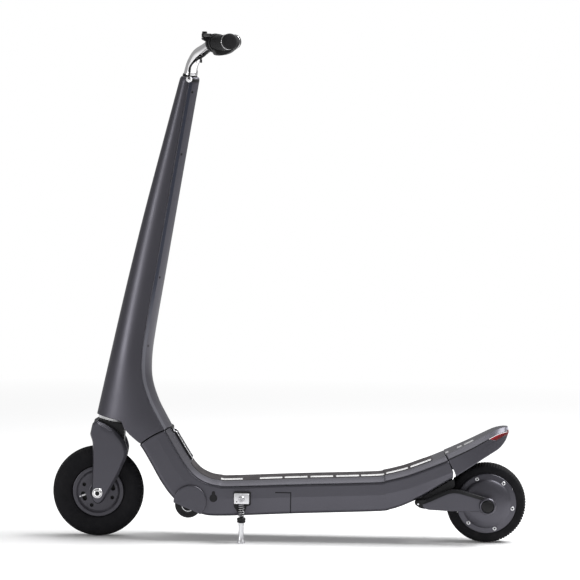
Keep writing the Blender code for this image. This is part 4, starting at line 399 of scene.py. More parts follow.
def swept(name: str, path: Array, section: Array, up: Sequence[float], scale: Array | None = None,
          angle: float = 34.0) -> Piece:
    """Carry a closed section along a path, keeping it upright.

    Args:
        name: The piece's name.
        path: Points of the path.
        section: Points (across, up) of the section.
        up: The direction the section's second axis keeps nearest to.
        scale: The section's size at each point of the path, one or two numbers each.
        angle: Faces that meet at more than this angle stay sharp.

    Returns:
        The piece, with its ends filled.
    """
    ahead = np.gradient(path, axis=0)
    ahead /= np.linalg.norm(ahead, axis=1)[:, None]
    across = np.cross(np.array(up, float), ahead)
    across /= np.linalg.norm(across, axis=1)[:, None]
    over = np.cross(ahead, across)
    size = np.ones((len(path), 2))
    if scale is not None:
        size = size * np.asarray(scale, float).reshape(len(path), -1)
    points = (path[:, None] + across[:, None] * (section[None, :, :1] * size[:, None, :1])
              + over[:, None] * (section[None, :, 1:] * size[:, None, 1:]))
    return closed_grid(name, points, False, angle)


def circle(radius: float, count: int, width: float = 1.0) -> Array:
    """Return a round or oval section: cosine and sine of an even turn, times the radius."""
    angle = np.linspace(0, 2 * math.pi, count, endpoint=False)
    return np.stack([radius * width * np.cos(angle), radius * np.sin(angle)], 1)


def inward_of(rim: Array) -> Array:
    """Return the directions square to a closed outline that point to its inside."""
    ahead = np.roll(rim, -1, 0) - np.roll(rim, 1, 0)
    ahead /= np.linalg.norm(ahead, axis=1)[:, None]
    inward = np.stack([-ahead[:, 1], ahead[:, 0]], 1)
    return -inward if (inward * (rim.mean(0) - rim)).sum() < 0 else inward


def slab(name: str, outline: Array, y_face: float, y_back: float, edge: float, back_edge: float = 0.0004,
         steps: int = 5, dome: float = 0.0) -> Piece:
    """Make a flat piece square to Y with a rounded rim.

    Rings of the outline, drawn inwards by the round's sine and set back by its cosine, run from the middle of
    the outer face over the rim to the middle of the back.

    Args:
        name: The piece's name.
        outline: Side view points (x, z) of the rim, a closed smooth run.
        y_face: Where the outer face is.
        y_back: Where the back is.
        edge: The round's reach at the outer face.
        back_edge: The round's reach at the back.
        steps: Steps of the round.
        dome: How far the outer face rises in its middle.

    Returns:
        The piece.
    """
    inward = inward_of(outline)
    middle = outline.mean(0)
    way = 1.0 if y_back > y_face else -1.0
    rings = []
    for share in (0.02, 0.5, 0.8, 0.94):
        flat = outline + inward * edge
        rings.append((middle + (flat - middle) * share, y_face - way * dome * (1 - share**2)))
    for angle in np.linspace(0, math.pi / 2, steps + 1):
        rings.append((outline + inward * edge * (1 - math.sin(angle)),
                      y_face + way * edge * (1 - math.cos(angle))))
    for angle in np.linspace(0, math.pi / 2, 3):
        y = y_back - way * back_edge * (1 - math.sin(angle))
        rings.append((outline + inward * back_edge * (1 - math.cos(angle)), y))
    rings.append((middle + (outline - middle) * 0.02, y_back))
    return closed_grid(name, side_rings(rings), False, 30.0)


def cast_plate(name: str, rim: Array, y_face: float, y_back: float, least: float, more: float, depth: float,
               lean: tuple[float, float]) -> Piece:
    """Make a cast plate square to Y with a slanted rim round its outer face.

    Rings of the outline step in by the slant's width while they rise by its depth. The width is the least one
    plus a share that grows where the outline faces the lean direction.

    Args:
        name: The piece's name.
        rim: Side view points (x, z), a closed smooth run.
        y_face: Where the outer face is.
        y_back: Where the back is.
        least: The slant's width where the outline faces away from the lean.
        more: What the width gains where it faces the lean.
        depth: The slant's depth.
        lean: The direction (x, z) in which the slant is widest.

    Returns:
        The plate.
    """
    inward = inward_of(rim)
    middle = rim.mean(0)
    way = 1.0 if y_face > y_back else -1.0
    facing = np.clip(-(inward * np.array(lean)).sum(1) + 0.15, 0, 1)
    facing = np.convolve(np.concatenate([facing[-6:], facing, facing[:6]]), np.ones(13) / 13, "valid")
    slant = least + more * facing[:, None]
    rings = [(middle + (rim + inward * slant - middle) * share, y_face) for share in (0.03, 0.5, 0.85)]
    for share, drop in ((1.0, 0.0), (0.95, 0.02), (0.9, 0.07), (0.14, 0.74), (0.06, 0.84), (0.0, 1.0)):
        rings.append((rim + inward * slant * share, y_face - way * depth * drop))
    rings += [(rim, y_back + way * 0.001), (rim + inward * 0.001, y_back),
              (middle + (rim - middle) * 0.03, y_back)]
    return closed_grid(name, side_rings(rings), False, 20.0)


def block(name: str, low: Sequence[float], high: Sequence[float], edge: float, segments: int = 3) -> Piece:
    """Make a box between two corners, with its edges rounded."""
    corners = np.array([(x, y, z) for x in (low[0], high[0]) for y in (low[1], high[1])
                        for z in (low[2], high[2])])
    faces = [(0, 1, 3, 2), (4, 6, 7, 5), (0, 4, 5, 1), (2, 3, 7, 6), (0, 2, 6, 4), (1, 5, 7, 3)]
    piece = mesh_object(name, corners, faces)
    bm = bmesh.new()
    bm.from_mesh(piece.data)
    bmesh.ops.recalc_face_normals(bm, faces=bm.faces)
    bmesh.ops.bevel(bm, geom=bm.edges[:], offset=edge, segments=segments, profile=0.5, affect="EDGES")
    bm.to_mesh(piece.data)
    bm.free()
    shade(piece, 40.0)
    return piece


def merged(name: str, pieces: Sequence[Piece]) -> Piece:
    """Join several pieces into one object of that name."""
    bm = bmesh.new()
    graph = bpy.context.evaluated_depsgraph_get()
    for piece in pieces:
        mesh = bpy.data.meshes.new_from_object(piece.evaluated_get(graph))
        bm.from_mesh(mesh)
        bpy.data.meshes.remove(mesh)
    for piece in pieces:
        bpy.data.objects.remove(piece, do_unlink=True)
    whole = bpy.data.meshes.new(name)
    bm.to_mesh(whole)
    bm.free()
    result = bpy.data.objects.new(name, whole)
    bpy.context.scene.collection.objects.link(result)
    return result


def drilled(piece: Piece, tools: Sequence[Piece], angle: float = 30.0) -> None:
    """Take the tools' shapes out of a piece."""
    tool = merged("tool", tools)
    modifier = piece.modifiers.new("holes", "BOOLEAN")
    modifier.operation = "DIFFERENCE"
    modifier.solver = "EXACT"
    modifier.object = tool
    graph = bpy.context.evaluated_depsgraph_get()
    mesh = bpy.data.meshes.new_from_object(piece.evaluated_get(graph))
    piece.modifiers.clear()
    old = piece.data
    piece.data = mesh
    bpy.data.meshes.remove(old)
    bpy.data.objects.remove(tool, do_unlink=True)
    shade(piece, angle)


# Finishes


class Term:
    """One number of a material's node tree, with the operators that add its Math nodes."""

    def __init__(self, paint: "Paint", socket: bpy.types.NodeSocket) -> None:
        """Wrap a socket of a paint's tree."""
        self.paint = paint
        self.socket = socket

    def _join(self, operation: str, first: "Term | float", second: "Term | float") -> "Term":
        """Add one Math node."""
        node = self.paint.node("ShaderNodeMath", {"operation": operation}, {0: first, 1: second})
        return Term(self.paint, node.outputs[0])

    def __add__(self, other: "Term | float") -> "Term":
        """Add."""
        return self._join("ADD", self, other)

    __radd__ = __add__

    def __mul__(self, other: "Term | float") -> "Term":
        """Multiply."""
        return self._join("MULTIPLY", self, other)

    __rmul__ = __mul__

    def __sub__(self, other: "Term | float") -> "Term":
        """Subtract."""
        return self._join("SUBTRACT", self, other)

    def __rsub__(self, other: "Term | float") -> "Term":
        """Subtract from a number."""
        return self._join("SUBTRACT", other, self)

    def __abs__(self) -> "Term":
        """Take the size without its sign."""
        return self._join("ABSOLUTE", self, 0.0)

    def wave(self, pitch: float) -> "Term":
        """Give the sine of this over a pitch, from -1 to 1."""
        return self._join("SINE", self * (2 * math.pi / pitch), 0.0)

    def band(self, low: float, high: float, soft: float) -> "Term":
        """Give 1 between two limits and 0 outside, with soft edges."""
        rise = self.paint.range(self, low - soft, low + soft)
        fall = self.paint.range(self, high - soft, high + soft)
        return rise * (1 - fall)


class Paint:
    """Builds one material's node tree round its Principled shader."""

    def __init__(self, name: str) -> None:
        """Start the material."""
        self.material = bpy.data.materials.new(name)
        self.material.use_nodes = True
        self.tree = self.material.node_tree
        self.shader = self.tree.nodes["Principled BSDF"]
        self._coordinates: bpy.types.Node | None = None

    def node(self, kind: str, settings: dict, inputs: dict) -> bpy.types.Node:
        """Add a node.

        Args:
            kind: The node's type.
            settings: Attributes that are set first.
            inputs: Values, sockets or terms by the sockets' names or numbers.

        Returns:
            The node.
        """
        node = self.tree.nodes.new(kind)
        for key, value in settings.items():
            setattr(node, key, value)
        for key, value in inputs.items():
            self.feed(node.inputs[key], value)
        return node

    def feed(self, socket: bpy.types.NodeSocket, value: object) -> None:
        """Link a socket to a term or another socket, or set its value."""
        if isinstance(value, Term):
            value = value.socket
        if isinstance(value, bpy.types.NodeSocket):
            self.tree.links.new(value, socket)
        else:
            socket.default_value = value

    def place(self) -> bpy.types.NodeSocket:
        """Return the Object coordinates."""
        if self._coordinates is None:
            self._coordinates = self.node("ShaderNodeTexCoord", {}, {})
        return self._coordinates.outputs["Object"]

    def axes(self) -> tuple[Term, Term, Term]:
        """Return the x, y and z of the Object coordinates."""
        split = self.node("ShaderNodeSeparateXYZ", {}, {0: self.place()})
        return tuple(Term(self, s) for s in split.outputs)

    def noise(self, scale: float, detail: float = 3.0, stretch: Sequence[float] = (1.0, 1.0, 1.0)) -> Term:
        """Return even noise from 0 to 1 on the Object coordinates, stretched along the axes."""
        mapping = self.node("ShaderNodeMapping", {}, {"Vector": self.place(), "Scale": tuple(stretch)})
        inputs = {"Vector": mapping.outputs[0], "Scale": scale, "Detail": detail}
        texture = self.node("ShaderNodeTexNoise", {}, inputs)
        return Term(self, texture.outputs[0])

    def range(self, value: Term, low: float, high: float, out_low: float = 0.0,
              out_high: float = 1.0) -> Term:
        """Map a number from one range to another, held at its ends."""
        ends = {"Value": value, "From Min": low, "From Max": high, "To Min": out_low, "To Max": out_high}
        return Term(self, self.node("ShaderNodeMapRange", {"clamp": True}, ends).outputs[0])

    def blend(self, factor: Term | float, first: object, second: object) -> bpy.types.NodeSocket:
        """Mix two colours by a number and return the colour."""
        node = self.tree.nodes.new("ShaderNodeMix")
        node.data_type = "RGBA"
        self.feed(node.inputs[0], factor)
        self.feed(node.inputs[6], (*first, 1.0) if isinstance(first, tuple) else first)
        self.feed(node.inputs[7], (*second, 1.0) if isinstance(second, tuple) else second)
        return node.outputs[2]

    def bump(self, height: Term, depth: float, strength: float = 1.0) -> bpy.types.NodeSocket:
        """Return the normal of a height field of a depth in metres."""
        node = self.node("ShaderNodeBump", {}, {"Height": height, "Distance": depth, "Strength": strength})
        return node.outputs[0]

    def set(self, **values: object) -> "Paint":
        """Set or link the shader's sockets, with underscores for spaces."""
        for key, value in values.items():
            self.feed(self.shader.inputs[key.replace("_", " ")], value)
        return self


def printed(paint: Paint, bars: Sequence[tuple[float, float]], over: float = 0.0) -> Term:
    """Return 1 on plain printed bars along the top and 0 elsewhere.

    Each bar is a band along x crossed with three narrow bands along y, worn by a noise.

    Args:
        paint: The material's tree.
        bars: The start and end of each bar along x.
        over: How far the bars are moved to the right of the top's left half.

    Returns:
        The mask.
    """
    x, y, _ = paint.axes()
    rows: Term | float = 0.0
    for left in mm(-39, -30.5, -22):
        rows = rows + y.band(over + left, over + left + BAR_ROW_WIDTH, 0.0004)
    runs: Term | float = 0.0
    for start, end in bars:
        runs = runs + x.band(start, end, 0.0006)
    return rows * runs * paint.range(paint.noise(160.0, 6.0), 0.28, 0.4)


@dataclass(frozen=True)
class Finish:
    """A finish of the scooter: one material that several pieces share."""

    name: str = "finish"
    slot: str = "body"

    def build(self) -> bpy.types.Material:
        """Return the material, made once."""
        made = bpy.data.materials.get("finish_" + self.name)
        if made is None:
            paint = Paint("finish_" + self.name)
            self.mix(paint)
            made = paint.material
        return made

    def mix(self, paint: Paint) -> None:
        """Build the material's nodes."""
        raise NotImplementedError


@dataclass(frozen=True)
class SatinPaint(Finish):
    """Dark warm grey metallic paint under a satin coat, with fine flakes and faint handling marks."""

    name: str = "satin_paint"
    slot: str = "body"
    colour: tuple[float, float, float] = (0.088, 0.086, 0.102)
    dark: tuple[float, float, float] = (0.072, 0.07, 0.084)
    panel_lines: bool = False
    bars: tuple[tuple[float, float], ...] = ()

    def mix(self, paint: Paint) -> None:
        """Flakes vary the colour, a broad noise varies the gloss, and the panel joint is a sunk dark line."""
        flakes = paint.noise(2600.0, 2.0)
        cloud = paint.noise(9.0, 4.0)
        tone = paint.range(flakes, 0.3, 0.7)
        colour = paint.blend(tone, self.dark, self.colour)
        rough = paint.range(cloud, 0.3, 0.7, 0.36, 0.44)
        height = flakes
        if self.bars:
            colour = paint.blend(printed(paint, self.bars, 0.012), colour, (0.74, 0.74, 0.75))
        if self.panel_lines:
            x, y, z = paint.axes()
            side = paint.range(abs(y), 0.058, 0.06)
            flat = x.band(-0.0315, 0.003, 0.0002) * z.band(0.1096, 0.112, 0.0002)
            upright = x.band(0.0014, 0.0038, 0.0002) * z.band(0.06, 0.112, 0.0002)
            line = side * paint.range(flat + upright, 0.0, 1.0)
            colour = paint.blend(line, colour, (0.01, 0.01, 0.012))
            height = flakes * 0.05 + (1 - line)
        paint.set(Base_Color=colour, Metallic=0.8, Roughness=rough, Coat_Weight=0.12, Coat_Roughness=0.22,
                  Normal=paint.bump(height, *((0.0008, 0.5) if self.panel_lines else (0.00002, 0.25))))


@dataclass(frozen=True)
class BandPaintedReflection(Finish):
    """The mast's slanted strip by its seam: dark painted reflection up the mast, turning to a paler painted
    highlight at the foot.
    """

    name: str = "band_painted_light"
    slot: str = "body"

    def mix(self, paint: Paint) -> None:
        """The height fades the painted dark reflection in over the paler painted highlight, and flakes vary
        both colours.
        """
        flakes = paint.noise(2600.0, 2.0)
        _, _, z = paint.axes()
        # Painted highlight: a grey paler than the body paint at the strip's foot. Painted dark reflection:
        # the dark blue up the mast.
        grey = paint.blend(flakes, (0.11, 0.11, 0.13), (0.135, 0.135, 0.158))
        painted_dark_reflection = paint.blend(flakes, (0.016, 0.019, 0.032), (0.026, 0.03, 0.048))
        paint.set(Base_Color=paint.blend(paint.range(z, 0.36, 0.56), grey, painted_dark_reflection), Metallic=0.7,
                  Roughness=paint.range(flakes, 0.2, 0.8, 0.34, 0.42),
                  Normal=paint.bump(flakes, 0.00002, 0.25))


@dataclass(frozen=True)
class BlackPlastic(Finish):
    """Moulded black plastic with a fine spark-eroded grain and paler worn spots."""

    name: str = "black_plastic"
    slot: str = "black"

    def mix(self, paint: Paint) -> None:
        """A fine noise gives the grain and a broad one the wear."""
        grain = paint.noise(1500.0, 3.0)
        wear = paint.range(paint.noise(24.0, 5.0), 0.52, 0.72)
        paint.set(Base_Color=paint.blend(wear, (0.007, 0.007, 0.008), (0.014, 0.014, 0.0155)),
                  Specular_IOR_Level=0.25,
                  Roughness=paint.range(grain, 0.3, 0.7, 0.4, 0.56), Normal=paint.bump(grain, 0.00012, 0.35))


@dataclass(frozen=True)
class TyreRubber(Finish):
    """Matt black tyre rubber, dusty on its flanks and scuffed grey on its tread."""

    name: str = "tyre_rubber"
    slot: str = "tyre"
    axle: tuple[float, float] = (0.0, 0.0)
    tread_from: float = 0.09

    def mix(self, paint: Paint) -> None:
        """The distance from the axle tells the tread from the flank, which has rings of mould lines."""
        x, _, z = paint.axes()
        square = (x - self.axle[0]) * (x - self.axle[0]) + (z - self.axle[1]) * (z - self.axle[1])
        reach = square._join("SQRT", square, 0.0)
        tread = paint.range(reach, self.tread_from, self.tread_from + 0.004)
        dust = paint.noise(60.0, 6.0)
        fine = paint.noise(900.0, 3.0)
        flank = paint.blend(paint.range(dust, 0.4, 0.75), (0.006, 0.006, 0.0075), (0.013, 0.0125, 0.014))
        top = paint.blend(paint.range(dust, 0.45, 0.7), (0.009, 0.009, 0.01), (0.02, 0.0195, 0.02))
        rings = reach.wave(0.0014) * 0.25 * (1 - tread)
        paint.set(Base_Color=paint.blend(tread, flank, top),
                  Roughness=paint.range(dust, 0.3, 0.7, 0.68, 0.86),
                  Specular_IOR_Level=0.14,
                  Normal=paint.bump(fine + rings, 0.0002, 0.4))


@dataclass(frozen=True)
class SoftRubber(Finish):
    """Soft black rubber with a faint bloom."""

    name: str = "soft_rubber"
    slot: str = "rubber"

    def mix(self, paint: Paint) -> None:
        """A broad noise gives the bloom and a fine one the grain."""
        bloom = paint.range(paint.noise(40.0, 5.0), 0.4, 0.75)
        grain = paint.noise(1100.0, 2.0)
        paint.set(Base_Color=paint.blend(bloom, (0.009, 0.009, 0.01), (0.018, 0.0175, 0.019)),
                  Specular_IOR_Level=0.25,
                  Roughness=paint.range(bloom, 0.0, 1.0, 0.62, 0.8), Normal=paint.bump(grain, 0.00015, 0.4))


@dataclass(frozen=True)
class Chrome(Finish):
    """Polished chrome plate with the faint waviness of a bent tube."""

    name: str = "chrome"
    slot: str = "chrome"

    def mix(self, paint: Paint) -> None:
        """A broad noise varies gloss and colour a little, and a slow wave bends the reflections."""
        haze = paint.noise(30.0, 4.0)
        slow = paint.noise(55.0, 1.0)
        paint.set(Base_Color=paint.blend(haze, (0.8, 0.79, 0.8), (0.9, 0.9, 0.91)), Metallic=1.0,
                  Roughness=paint.range(haze, 0.3, 0.7, 0.07, 0.15), Normal=paint.bump(slow, 0.0006, 0.08))


@dataclass(frozen=True)
class BrushedSteel(Finish):
    """Zinc plated or brushed steel, with short grain marks."""

    name: str = "brushed_steel"
    slot: str = "steel"
    colour: tuple[float, float, float] = (0.58, 0.58, 0.6)

    def mix(self, paint: Paint) -> None:
        """A stretched noise gives the grain."""
        grain = paint.noise(420.0, 4.0, (1.0, 6.0, 1.0))
        dull = tuple(0.72 * c for c in self.colour)
        paint.set(Base_Color=paint.blend(grain, dull, self.colour), Metallic=1.0,
                  Roughness=paint.range(grain, 0.3, 0.7, 0.24, 0.38), Normal=paint.bump(grain, 0.00006, 0.3))


@dataclass(frozen=True)
class SatinSilver(Finish):
    """Satin aluminium, blasted and clear coated."""

    name: str = "satin_silver"
    slot: str = "silver"

    def mix(self, paint: Paint) -> None:
        """A fine noise gives the blasted grain and a broad one the handling marks."""
        grain = paint.noise(1800.0, 2.0)
        marks = paint.range(paint.noise(60.0, 5.0), 0.5, 0.75)
        paint.set(Base_Color=paint.blend(marks, (0.74, 0.74, 0.76), (0.62, 0.62, 0.64)), Metallic=0.9,
                  Roughness=paint.range(grain, 0.3, 0.7, 0.3, 0.42), Normal=paint.bump(grain, 0.00008, 0.3))


@dataclass(frozen=True)
class MatRubber(Finish):
    """Dark ribbed standing mat with plain silver bars printed on its near side."""

    name: str = "mat_rubber"
    slot: str = "mat"
    bars: tuple[tuple[float, float], ...] = ()

    def mix(self, paint: Paint) -> None:
        """The bars lie over a dark ground with a broad bloom."""
        grain = paint.noise(1400.0, 3.0)
        print_mask = printed(paint, self.bars)
        dark = paint.blend(paint.range(paint.noise(30.0, 5.0), 0.35, 0.7), (0.03, 0.027, 0.029),
                           (0.056, 0.051, 0.054))
        paint.set(Base_Color=paint.blend(print_mask, dark, (0.78, 0.78, 0.78)), Specular_IOR_Level=0.25,
                  Roughness=paint.range(print_mask, 0.0, 1.0, 0.78, 0.42),
                  Normal=paint.bump(grain, 0.0003, 0.5))


@dataclass(frozen=True)
class RedLens(Finish):
    """Red lamp lens with pressed ribs under a gloss surface."""

    name: str = "red_lens"
    slot: str = "red"

    def mix(self, paint: Paint) -> None:
        """Crossed waves give the pressed ribs, and painted light keeps the red bright along the upper edge,
        darkening below it as painted shade.
        """
        x, y, z = paint.axes()
        ribs = (x + z).wave(0.0042) * 0.5 + y.wave(0.0042) * 0.5
        # Painted light: a painted highlight along the lens's upper edge, fading to painted shade below it.
        depth = paint.range(z - x * 0.46, 0.027, 0.0345)
        tone = depth * 0.8 + paint.range(ribs, -1.0, 1.0) * 0.2
        paint.set(Base_Color=paint.blend(tone, (0.06, 0.004, 0.004), (0.56, 0.008, 0.022)), Roughness=0.2,
                  Coat_Weight=0.5,
                  Coat_Roughness=0.06, Specular_IOR_Level=0.35, Normal=paint.bump(ribs, 0.0003, 0.35))


@dataclass(frozen=True)
class WhiteNylon(Finish):
    """Milky white nylon."""

    name: str = "white_nylon"
    slot: str = "white"

    def mix(self, paint: Paint) -> None:
        """A broad noise varies the white a little."""
        cloud = paint.noise(200.0, 3.0)
        paint.set(Base_Color=paint.blend(cloud, (0.8, 0.8, 0.82), (0.9, 0.9, 0.91)),
                  Roughness=paint.range(cloud, 0.3, 0.7, 0.35, 0.5), Normal=paint.bump(cloud, 0.0002, 0.2))


@dataclass(frozen=True)
class CopperWinding(Finish):
    """Lacquered copper wound on dark laminations."""

    name: str = "copper_winding"
    slot: str = "copper"

    def mix(self, paint: Paint) -> None:
        """Fine waves across the axle give the turns of wire, with painted shade darkening the copper between
        the turns.
        """
        _, y, _ = paint.axes()
        turns = y.wave(0.0009)
        # Painted shade: the copper darkens between the turns of wire.
        wire_with_painted_shade = paint.blend(paint.range(turns, -1.0, 1.0), (0.2, 0.07, 0.03), (0.56, 0.24, 0.1))
        paint.set(Base_Color=wire_with_painted_shade, Metallic=0.85,
                  Roughness=paint.range(paint.noise(90.0), 0.3, 0.7, 0.3, 0.45),
                  Normal=paint.bump(turns, 0.0003, 0.5))


@dataclass(frozen=True)
class BatteryFilm(Finish):
    """Blue shrink film over cells, with the cells' rounds showing through."""

    name: str = "battery_film"
    slot: str = "blue"

    def mix(self, paint: Paint) -> None:
        """Two crossed waves give the cells."""
        x, y, _ = paint.axes()
        cells = x.wave(0.0185) * 0.5 + y.wave(0.0185) * 0.5
        crease = paint.noise(80.0, 6.0, (1.0, 4.0, 1.0))
        paint.set(Base_Color=paint.blend(crease, (0.015, 0.045, 0.17), (0.04, 0.1, 0.3)),
                  Roughness=paint.range(crease, 0.3, 0.7, 0.28, 0.45),
                  Normal=paint.bump(cells + crease * 0.3, 0.0012, 0.5))


@dataclass(frozen=True)
class FloorCard(Finish):
    """Pale studio floor that melts into the white background."""

    name: str = "floor_card"

    def mix(self, paint: Paint) -> None:
        """The card keeps the shadow near the middle and turns to plain white for the camera further out."""
        x, y, _ = paint.axes()
        square = x * x + y * y
        reach = square._join("SQRT", square, 0.0)
        far = paint.range(reach, 1.1, 3.6)
        seen = self.seen(paint)
        grain = paint.noise(40.0)
        paint.set(Base_Color=paint.blend(grain, (0.86, 0.86, 0.865), (0.88, 0.88, 0.885)), Roughness=0.6,
                  Specular_IOR_Level=0.1)
        glow = paint.node("ShaderNodeEmission", {}, {"Color": (1.0, 1.0, 1.0, 1.0), "Strength": 1.0})
        lift = paint.node("ShaderNodeEmission", {}, {"Color": (1.0, 1.0, 1.0, 1.0), "Strength": 0.06})
        card = paint.shader.outputs[0]
        near = paint.node("ShaderNodeAddShader", {}, {0: card, 1: lift.outputs[0]})
        lifted = paint.node("ShaderNodeMixShader", {}, {0: seen, 1: card, 2: near.outputs[0]})
        shown = {0: far * seen, 1: lifted.outputs[0], 2: glow.outputs[0]}
        mixed = paint.node("ShaderNodeMixShader", {}, shown)
        paint.tree.links.new(mixed.outputs[0], paint.tree.nodes["Material Output"].inputs[0])

    def seen(self, paint: Paint) -> Term:
        """Return 1 for rays from the camera, and 0 for others."""
        path = paint.node("ShaderNodeLightPath", {}, {})
        return Term(paint, path.outputs["Is Camera Ray"])


class Body(Enum):
    """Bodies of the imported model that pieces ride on."""

    DECK = "deck"
    MAST = "mast"
    STEERING = "steering"
    FRONT_WHEEL = "front_wheel"
    ARM = "arm"
    REAR_WHEEL = "rear_wheel"
    TAIL = "tail"
    KICKSTAND = "kickstand"
    LATCH = "latch"
    TROLLEY_LEFT = "trolley_left"
    TROLLEY_RIGHT = "trolley_right"
    LEVER = "lever"
    PADDLE_LEFT = "paddle_left"
    PADDLE_RIGHT = "paddle_right"


PAINT = SatinPaint()
BAND_PAINTED_LIGHT = BandPaintedReflection()
BLACK = BlackPlastic()
RUBBER = SoftRubber()
CHROME = Chrome()
STEEL = BrushedSteel()
SILVER = SatinSilver()
LENS = RedLens()
WHITE = WhiteNylon()
COPPER = CopperWinding()
FILM = BatteryFilm()


def dress(piece: Piece, finish: Finish, body: Body, *nodes: str) -> Piece:
    """Give a piece its finish and its body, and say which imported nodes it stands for.

    Args:
        piece: The piece.
        finish: Its finish.
        body: The body it rides on.
        nodes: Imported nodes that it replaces.

    Returns:
        The piece.
    """
    piece.data.materials.clear()
    piece.data.materials.append(finish.build())
    if nodes:
        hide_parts(*nodes)
    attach(piece, body.value)
    LOG.info("%s rides on %s, %d faces", piece.name, body.value, len(piece.data.polygons))
    return piece


# Shared sizes

FRONT_AXLE = (-0.4215, 0.1)
REAR_AXLE = (0.4335, 0.088)
HEAD_ANGLE = math.radians(12.0)
STEER_UP = Vector((math.sin(HEAD_ANGLE), 0.0, math.cos(HEAD_ANGLE)))
STEER_BACK = Vector((math.cos(HEAD_ANGLE), 0.0, -math.sin(HEAD_ANGLE)))
STEER_ORIGIN = Vector((FRONT_AXLE[0], 0.0, FRONT_AXLE[1])) + STEER_UP * 0.1664 - STEER_BACK * 0.0059
TROLLEY = (-0.2175, 0.088)
SIDES = ((-1.0, "left"), (1.0, "right"))
PARTING_R = 0.165
PARTING_HALF_GAP = 0.001


def steer_point(s: float, q: float, y: float = 0.0) -> Vector:
    """Return the point s up the steering axis, q behind it and y to the right."""
    return STEER_ORIGIN + STEER_UP * s + STEER_BACK * q + Vector((0.0, y, 0.0))


def steer_points(s: Array, q: Array, y: Array) -> Array:
    """Return points by height s up the steering axis, q behind it and y to the right, as arrays."""
    up, back = np.array(STEER_UP), np.array(STEER_BACK)
    point = np.array(STEER_ORIGIN) + s[..., None] * up + q[..., None] * back
    point[..., 1] = y
    return point


